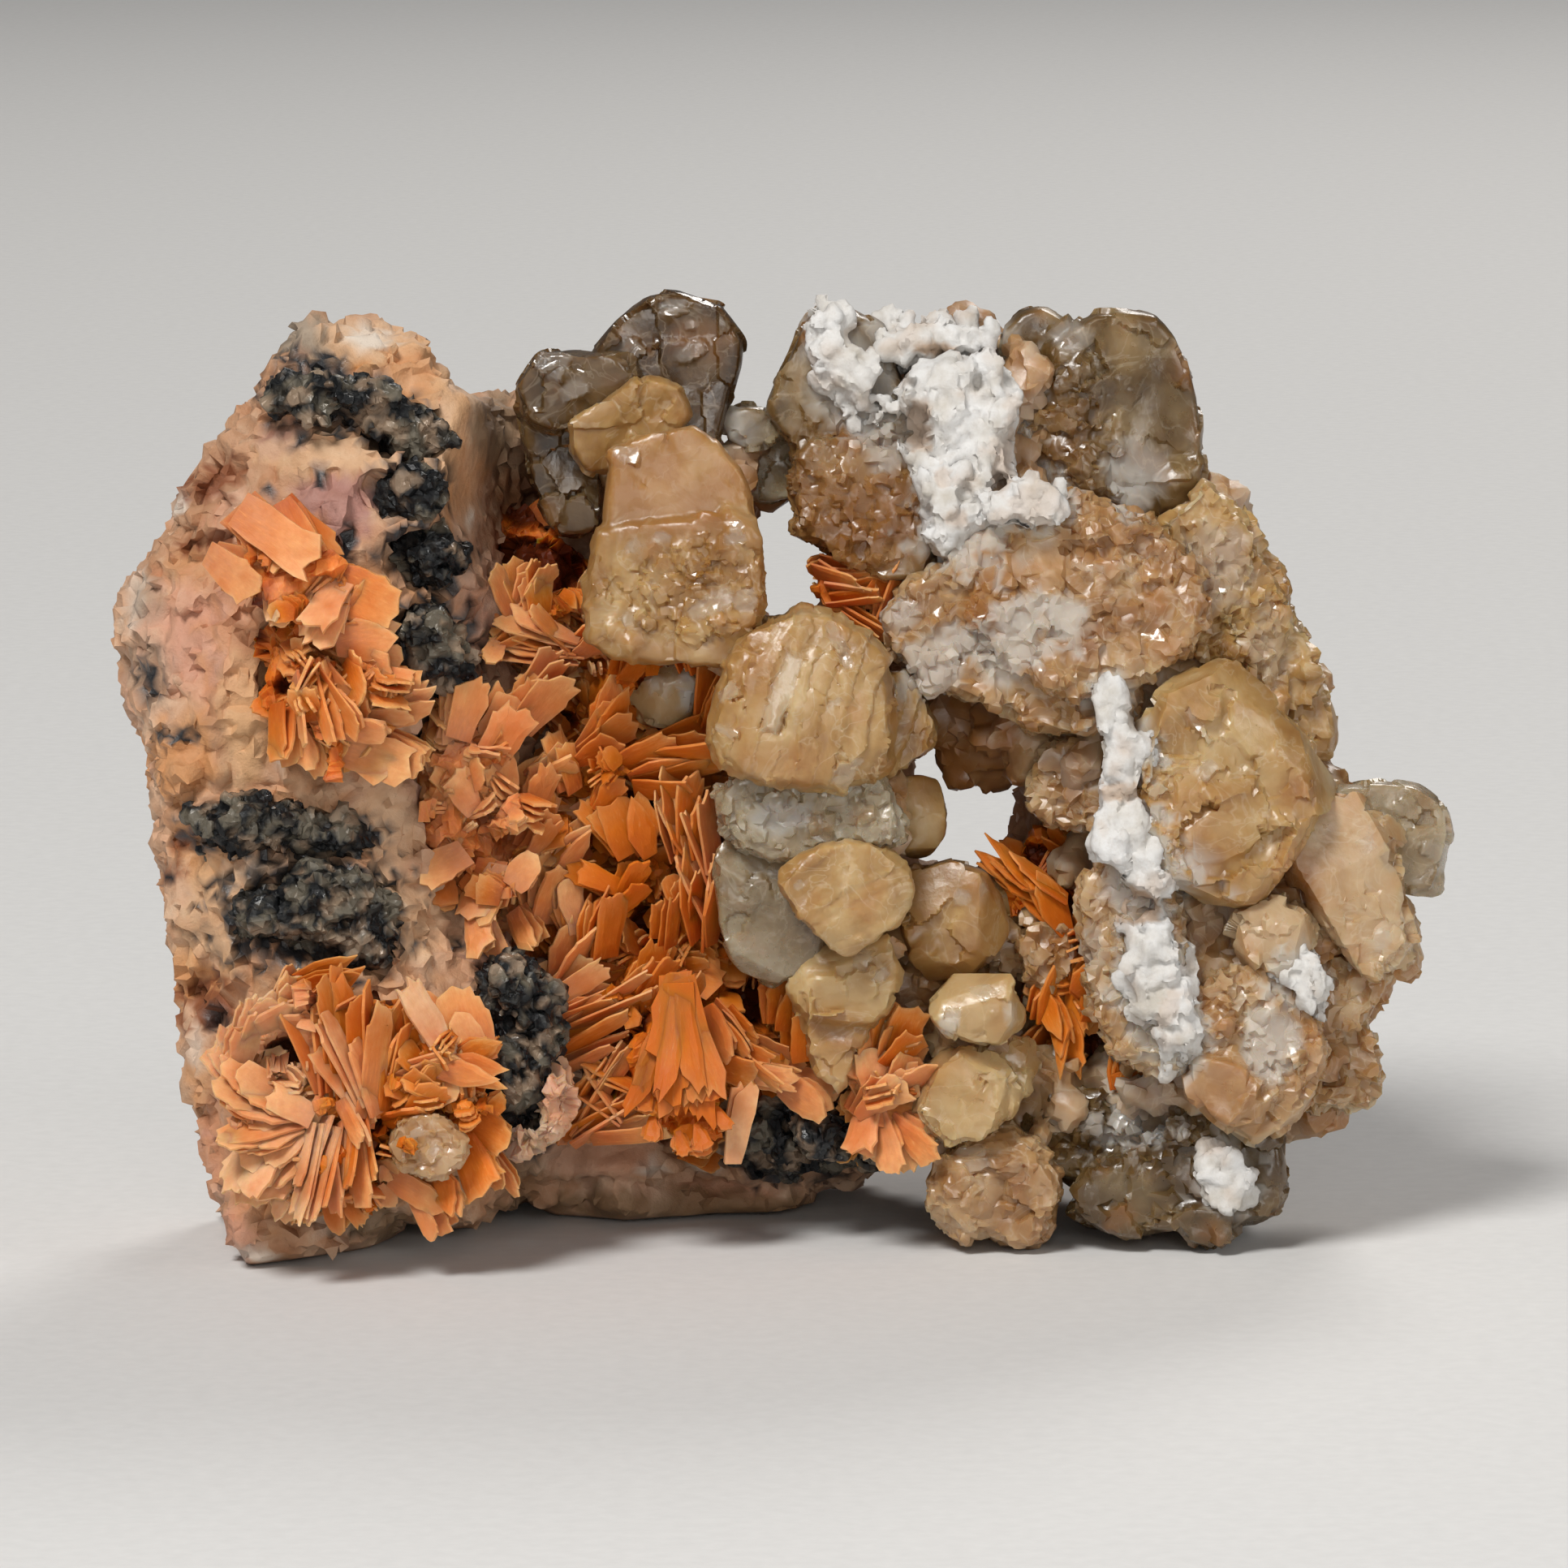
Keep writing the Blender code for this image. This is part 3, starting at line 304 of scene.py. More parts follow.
def blot(u, v, noise, spots, ragged=0.5):
    """Ragged patches of the front view, 0 to 1. spots are (u, v, ru, rv[, turn[, amount]])."""
    out = np.zeros(len(u))
    for spot in spots:
        turn, amount = (list(spot[4:]) + [0, 1][len(spot[4:]):])[:2]
        near = patch(u, v, *spot[:4], turn, 0.75)
        out = np.maximum(out, amount * step(0.38, 0.62, near + ragged * noise) * step(0.0, 0.2, near))
    return out


def ridge(u, v, u0, v0, u1, v1, wide):
    """1 along a line of the front view, falling to 0 over its width."""
    d = np.array([u1 - u0, v1 - v0], float)
    k = np.clip(((u - u0) * d[0] + (v - v0) * d[1]) / (d @ d), 0, 1)
    return 1 - step(0.2, 1.0, np.hypot(u - u0 - k * d[0], v - v0 - k * d[1]) / wide)


# ---- meshes as arrays, in mm ---------------------------------------------------------------------------------------
class Skin:
    """A closed mesh of quads or triangles: points in mm and faces."""

    def __init__(self, points, faces):
        self.p, self.f = np.asarray(points, float), np.asarray(faces, np.int64)
        ends = np.concatenate([self.f[:, [i, (i + 1) % self.f.shape[1]]] for i in range(self.f.shape[1])])
        ends.sort(1)
        self.e = np.unique(ends, axis=0)
        self.attrs = {}

    def normals(self):
        a, b, c = (self.p[self.f[:, i]] for i in (0, 1, 2))
        n = np.cross(self.p[self.f[:, 2]] - a, self.p[self.f[:, 3]] - b) if self.f.shape[1] == 4 else np.cross(b - a, c - a)
        out = np.zeros_like(self.p)
        for k in range(self.f.shape[1]):
            for axis in range(3):
                out[:, axis] += np.bincount(self.f[:, k], weights=n[:, axis], minlength=len(self.p))
        return out / np.maximum(np.linalg.norm(out, axis=1, keepdims=True), 1e-12)

    def smooth(self, times, share=0.5, where=None):
        n = len(self.p)
        count = np.maximum(np.bincount(self.e[:, 0], minlength=n) + np.bincount(self.e[:, 1], minlength=n), 1)[:, None]
        for _ in range(times):
            total = np.empty_like(self.p)
            for axis in range(3):
                x = self.p[:, axis]
                total[:, axis] = np.bincount(self.e[:, 0], weights=x[self.e[:, 1]], minlength=n) + np.bincount(self.e[:, 1], weights=x[self.e[:, 0]], minlength=n)
            move = (total / count - self.p) * share
            self.p = self.p + (move if where is None else move * where[:, None])
        return self

    def spread(self, values, times, share=0.5):
        """values on the points, evened out over their neighbours."""
        n = len(self.p)
        count = np.maximum(np.bincount(self.e[:, 0], minlength=n) + np.bincount(self.e[:, 1], minlength=n), 1)
        for _ in range(times):
            total = np.bincount(self.e[:, 0], weights=values[self.e[:, 1]], minlength=n) + np.bincount(self.e[:, 1], weights=values[self.e[:, 0]], minlength=n)
            values = values + (total / count - values) * share
        return values

    def push(self, amount):
        self.p = self.p + self.normals() * np.asarray(amount)[:, None]
        return self


def hull(points):
    """The convex solid round the points: (points, triangles)."""
    bm = bmesh.new()
    for p in points:
        bm.verts.new(p)
    out = bmesh.ops.convex_hull(bm, input=bm.verts)
    loose = [g for g in out["geom_interior"] if isinstance(g, bmesh.types.BMVert)]
    loose += [v for v in bm.verts if not v.link_faces and v not in loose]
    bmesh.ops.delete(bm, geom=list(set(loose)), context="VERTS")
    bmesh.ops.recalc_face_normals(bm, faces=bm.faces)
    bm.verts.index_update()
    got = [tuple(v.co) for v in bm.verts], [[v.index for v in f.verts] for f in bm.faces]
    bm.free()
    return got


def node_shape(name, grow=0.0):
    """A CAD node's mesh as (points in mm, triangles), with every point moved out by grow."""
    me = NODES[name].data
    me.calc_loop_triangles()
    p = np.empty(len(me.vertices) * 3, np.float32)
    me.vertices.foreach_get("co", p)
    f = np.empty(len(me.loop_triangles) * 3, np.int32)
    me.loop_triangles.foreach_get("vertices", f)
    p, f = p.reshape(-1, 3).astype(float) * 1000, f.reshape(-1, 3)
    _, first, index = np.unique(np.round(p, 4), axis=0, return_index=True, return_inverse=True)
    p, f = p[first], index.reshape(-1)[f]
    f = f[(f[:, 0] != f[:, 1]) & (f[:, 1] != f[:, 2]) & (f[:, 2] != f[:, 0])]
    if grow:
        s = Skin(p, f)
        p = p + s.normals() * grow
    return p, f


def voxel(shapes, size):
    """One closed skin of quads round all the shapes."""
    verts, faces, start = [], [], 0
    for p, f in shapes:
        verts.append(np.asarray(p, float))
        faces += [tuple(int(i) + start for i in face) for face in f]
        start += len(p)
    me = bpy.data.meshes.new("tmp")
    me.from_pydata(np.concatenate(verts).tolist(), [], faces)
    ob = bpy.data.objects.new("tmp", me)
    bpy.context.scene.collection.objects.link(ob)
    mod = ob.modifiers.new("r", "REMESH")
    mod.mode, mod.voxel_size, mod.adaptivity = "VOXEL", size, 0.0
    bpy.context.view_layer.update()
    done = bpy.data.meshes.new_from_object(ob.evaluated_get(bpy.context.evaluated_depsgraph_get()))
    p = np.empty(len(done.vertices) * 3, np.float32)
    done.vertices.foreach_get("co", p)
    f = np.empty(len(done.loops), np.int32)
    done.loops.foreach_get("vertex_index", f)
    bpy.data.objects.remove(ob)
    bpy.data.meshes.remove(me)
    bpy.data.meshes.remove(done)
    return Skin(p.reshape(-1, 3), f.reshape(-1, 4))


TRIANGLES = {}


def without_crumbs(p, f, attrs):
    """Leaves out the loose bits of a skin that are only a few faces."""
    part = np.arange(len(p))
    while True:
        low = part[f].min(axis=1)
        new = part.copy()
        for k in range(f.shape[1]):
            np.minimum.at(new, f[:, k], low)
        new = new[new]
        if (new == part).all():
            break
        part = new
    own = part[f[:, 0]]
    stay = np.bincount(own, minlength=len(p))[own] >= (60 if f.shape[1] == 4 else 24)
    used = np.unique(f[stay])
    place = np.zeros(len(p), np.int64)
    place[used] = np.arange(len(used))
    return p[used], place[f[stay]], {key: np.asarray(values)[used] for key, values in attrs.items()}


def show(name, skin, material, replaces=(), smooth=True, sharp=None, attrs=None, keep=1.0):
    """Makes the object of a skin, in metres, riding on the specimen. keep is the share of its triangles that stay."""
    skin.p[:, 2] = np.maximum(skin.p[:, 2], 0.02)  # nothing reaches below the floor
    me = bpy.data.meshes.new(name)
    p, f, attrs = without_crumbs(skin.p, skin.f, {**skin.attrs, **(attrs or {})})
    me.from_pydata((p / 1000).tolist(), [], f.tolist())
    for key, values in attrs.items():
        me.attributes.new(key, "FLOAT", "POINT").data.foreach_set("value", np.asarray(values, np.float32))
    me.materials.append(material)
    ob = bpy.data.objects.new(name, me)
    bpy.context.scene.collection.objects.link(ob)
    if keep < 1:
        ob.modifiers.new("thin", "DECIMATE").ratio = keep
        graph = bpy.context.evaluated_depsgraph_get()
        thinned = bpy.data.meshes.new_from_object(ob.evaluated_get(graph), preserve_all_data_layers=True, depsgraph=graph)
        ob.modifiers.clear()
        ob.data = thinned
        bpy.data.meshes.remove(me)
        me = thinned
        me.name = name
    if smooth:
        me.shade_smooth()
        if sharp:
            me.set_sharp_from_angle(angle=math.radians(sharp))
    else:
        me.shade_flat()
    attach(ob, "root")
    if replaces:
        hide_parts(*replaces)
    TRIANGLES[name] = sum(len(f.vertices) - 2 for f in me.polygons)
    return ob


def gem(centre, axis, rx, ry, h, rnd, sides=6):
    """A small stubby crystal: an uneven prism with bevelled ends. Sizes in mm."""
    z = Vector(axis).normalized()
    x = z.orthogonal().normalized()
    x = Matrix.Rotation(rnd.uniform(0, 6.28), 3, z) @ x
    y = z.cross(x)
    ring = []
    for i in range(sides):
        a = (i + rnd.uniform(-0.25, 0.25)) / sides * 2 * math.pi
        k = rnd.uniform(0.85, 1.1)
        ring.append((math.cos(a) * rx * k, math.sin(a) * ry * k))
    pts = []
    top = rnd.uniform(0.45, 0.75)
    for level, k in ((-1.0, 0.7), (-0.6, 1.0), (0.55, 1.0), (1.0, top)):
        for a, b in ring:
            pts.append(Vector(centre) + x * a * k + y * b * k + z * h * (level + rnd.uniform(-0.03, 0.03)))
    return hull(pts)


# ---- materials ------------------------------------------------------------------------------------------------------
def cerussite(name, deep, main, pale, transmission, rough_, absorb, density, sss=0.45):
    m = Shader(name)
    cloud = m.noise(260.0, 4, 0.6, 0.4)
    veil = m.noise(700.0, 3, 0.6, 1.2)
    body = m.ramp(cloud, [(0.32, deep), (0.50, main), (0.68, pale)])
    body = m.mix(m.ramp(veil, [(0.55, 0.0), (0.72, 0.45)]), body, pale)
    crack = m.ramp(m.noise(330.0, 3, 0.5, 1.6), [(0.475, 0.0), (0.500, 0.55), (0.525, 0.0)])
    body = m.mix(crack, body, m.mix(0.4, pale, (0.80, 0.70, 0.55)))
    tone = m.attr("tone")
    body = m.mix(m.ramp(tone, [(0.0, 0.8), (0.5, 0.0)]), body, deep)
    body = m.mix(m.ramp(tone, [(0.5, 0.0), (1.0, 0.8)]), body, pale)
    warm = m.attr("warm")
    body = m.mix(m.math("MULTIPLY", warm, 0.7), body, (0.52, 0.20, 0.045))
    # this mix whitens real white frost and dust, and also paints white glints: painted highlight on flat shard faces
    # and glint patches
    white = m.attr("frost_and_glint")
    body = m.mix(m.math("MULTIPLY", white, 0.85), body, (0.70, 0.66, 0.60))
    m.set("Base Color", body)
    gloss = m.math("MULTIPLY_ADD", m.noise(1400.0, 3), 0.24, rough_ - 0.10)
    gloss = m.mix(m.attr("facet"), gloss, 0.17)
    m.set("Roughness", m.math("MULTIPLY_ADD", m.math("SUBTRACT", white, m.attr("facet"), clamp=True), 0.45, gloss, clamp=True))
    m.const(Transmission_Weight=transmission, IOR=1.65, Subsurface_Weight=sss, Subsurface_Scale=0.0017, Specular_IOR_Level=0.42)
    m.bsdf.inputs["Subsurface Radius"].default_value = (1.0, 0.62, 0.35)
    m.bump(m.noise(900.0, 4, 0.65), 0.20, 0.00014)
    m.bump(m.noise(2600.0, 4, 0.6), 0.22, 0.00008)
    m.bump(m.cells(1500.0, "F1"), 0.22, 0.0001)
    m.absorb(absorb, density)
    return m.mat


def barite_material(name, deep, main, pale):
    m = Shader(name)
    tip, edge, tint, dark = m.attr("tip"), m.attr("edge"), m.attr("tint"), m.attr("dark")
    lane = m.node("ShaderNodeCombineXYZ")
    m.feed(lane.inputs["X"], m.attr("lane"))
    m.feed(lane.inputs["Y"], m.math("MULTIPLY", tip, 0.9))
    stripes = m.noise(5.5, 4, 0.65, 0.3, lane.outputs["Vector"])
    grain = m.noise(1500.0, 4, 0.65)
    # colour runs from deep at the blade roots to pale at the tips: partly the blades' own colour, partly painted shade
    # of the recesses round their roots
    base = m.ramp(m.math("MULTIPLY_ADD", m.noise(520.0, 3), 0.35, m.math("MULTIPLY_ADD", stripes, 0.50, m.math("MULTIPLY_ADD", tip, 0.72, -0.32))), [(0.10, deep), (0.50, main), (1.0, pale)])
    rim = m.math("MULTIPLY", m.ramp(edge, [(0.50, 0.0), (1.0, 0.62)]), m.math("MULTIPLY_ADD", tip, 0.65, 0.05), clamp=True)
    body = m.mix(rim, base, (0.90, 0.48, 0.22))
    body = m.mix(m.math("MULTIPLY", tint, 0.85, clamp=True), body, (0.90, 0.51, 0.29))
    body = m.mix(m.math("MULTIPLY", tint, -0.9, clamp=True), body, (0.70, 0.160, 0.004))
    body = m.mix(m.ramp(grain, [(0.35, 0.25), (0.6, 0.0)]), body, (0.55, 0.12, 0.012))
    body = m.mix(m.ramp(stripes, [(0.60, 0.0), (0.75, 0.35)]), body, (0.90, 0.47, 0.19))
    body = m.mix(m.ramp(m.noise(230.0, 3), [(0.36, 0.55), (0.54, 0.0)]), body, (0.56, 0.11, 0.005))
    # dark paints the deep recesses near black, which is painted shade; on the big plate it darkens the plate all over
    m.set("Base Color", m.mix(m.math("MULTIPLY", dark, 0.92), body, (0.075, 0.012, 0.003)))
    m.set("Roughness", m.math("MULTIPLY_ADD", grain, 0.3, 0.34))
    m.const(Subsurface_Weight=0.42, Subsurface_Scale=0.0011, IOR=1.60, Specular_IOR_Level=0.16)
    m.bsdf.inputs["Subsurface Radius"].default_value = (1.0, 0.40, 0.14)
    m.bump(stripes, 0.25, 0.00008)
    m.bump(m.noise(3500.0, 4, 0.6), 0.25, 0.00006)
    return m.mat


def rock_material():
    m = Shader("rock_buff")
    big, mid, fine = m.noise(90.0, 5, 0.6, 0.3), m.noise(420.0, 5, 0.65, 0.5), m.noise(1900.0, 4, 0.7)
    body = m.ramp(big, [(0.30, (0.40, 0.205, 0.105)), (0.45, (0.52, 0.295, 0.170)), (0.58, (0.58, 0.365, 0.235)), (0.72, (0.50, 0.275, 0.195))])
    body = m.mix(m.ramp(mid, [(0.38, 0.6), (0.56, 0.0)]), body, (0.44, 0.20, 0.09))
    body = m.mix(m.ramp(mid, [(0.56, 0.0), (0.72, 0.65)]), body, (0.66, 0.48, 0.33))
    # olive is painted shade on the underside of the foot and in the deep hollow
    # rust also carries painted shade in the deep hollow by the cavity
    for key, colour in (("mauve", (0.32, 0.145, 0.145)), ("pink", (0.60, 0.285, 0.19)), ("ochre", (0.56, 0.225, 0.045)), ("cream", (0.68, 0.45, 0.25)), ("chalk", (0.68, 0.60, 0.51)), ("grey", (0.26, 0.22, 0.17)), ("rust", (0.20, 0.050, 0.010)), ("olive", (0.19, 0.105, 0.035))):
        body = m.mix(m.attr(key), body, colour)
    lead = m.attr("lead")
    body = m.mix(lead, body, (0.020, 0.020, 0.022))
    body = m.mix(m.math("MULTIPLY", m.ramp(fine, [(0.26, 0.75), (0.40, 0.0)]), 0.5), body, m.mix(0.6, body, (0.10, 0.045, 0.02)))
    m.set("Base Color", body)
    m.set("Roughness", m.math("MULTIPLY_ADD", lead, -0.35, 0.72))
    m.const(IOR=1.55)
    m.bump(fine, 0.7, 0.00016)
    m.bump(m.cells(1300.0), 0.35, 0.00016)
    return m.mat


def galena_material():
    m = Shader("galena_grains")
    grain, big = m.noise(1500.0, 4, 0.7), m.noise(420.0, 3)
    body = m.ramp(grain, [(0.34, (0.003, 0.003, 0.004)), (0.52, (0.009, 0.010, 0.011)), (0.68, (0.040, 0.039, 0.036))])
    body = m.mix(m.attr("glassy"), body, (0.125, 0.108, 0.080))
    body = m.mix(m.ramp(big, [(0.60, 0.0), (0.75, 0.5)]), body, (0.085, 0.070, 0.048))
    body = m.mix(m.math("MULTIPLY", m.attr("veil"), 0.6), body, (0.36, 0.25, 0.165))
    m.set("Base Color", body)
    m.set("Roughness", m.ramp(m.cells(1500.0, "F1", "Color"), [(0.2, 0.24), (0.8, 0.62)]))
    m.const(Metallic=0.1, IOR=1.5, Specular_IOR_Level=0.3)
    m.bump(grain, 0.6, 0.00012)
    return m.mat


def crust_material():
    m = Shader("crust_chalk")
    fine, mid = m.noise(2200.0, 5, 0.7), m.noise(500.0, 4)
    body = m.ramp(mid, [(0.30, (0.50, 0.46, 0.40)), (0.48, (0.63, 0.61, 0.58)), (0.75, (0.72, 0.72, 0.72))])
    body = m.mix(m.attr("stain"), body, (0.48, 0.33, 0.22))
    m.set("Base Color", m.mix(m.ramp(fine, [(0.32, 0.4), (0.48, 0.0)]), body, (0.50, 0.45, 0.40)))
    m.const(Roughness=0.72)
    m.bump(fine, 0.6, 0.00012)
    return m.mat


camera()
studio()
HONEY = cerussite("cerussite_honey", (0.34, 0.155, 0.036), (0.56, 0.325, 0.108), (0.70, 0.49, 0.235), 0.32, 0.34, (0.96, 0.78, 0.44), 120.0)
BEIGE = cerussite("cerussite_beige", (0.34, 0.150, 0.048), (0.55, 0.315, 0.130), (0.71, 0.51, 0.30), 0.30, 0.34, (0.96, 0.79, 0.50), 120.0)
CLEAR = cerussite("cerussite_clear", (0.25, 0.160, 0.072), (0.46, 0.345, 0.195), (0.66, 0.55, 0.385), 0.50, 0.26, (0.92, 0.82, 0.62), 180.0)
OLIVE = cerussite("cerussite_olive", (0.095, 0.049, 0.012), (0.27, 0.160, 0.056), (0.46, 0.320, 0.152), 0.43, 0.28, (0.86, 0.69, 0.38), 270.0)
SMOKY = cerussite("cerussite_smoky", (0.055, 0.025, 0.006), (0.140, 0.074, 0.024), (0.29, 0.180, 0.078), 0.48, 0.20, (0.78, 0.56, 0.27), 340.0)
BARITE = barite_material("barite_orange", (0.42, 0.062, 0.003), (0.76, 0.190, 0.016), (0.90, 0.40, 0.125))
SHELL = barite_material("barite_pale", (0.44, 0.29, 0.18), (0.58, 0.46, 0.36), (0.70, 0.63, 0.56))
ROCK = rock_material()
GALENA = galena_material()
CRUST = crust_material()


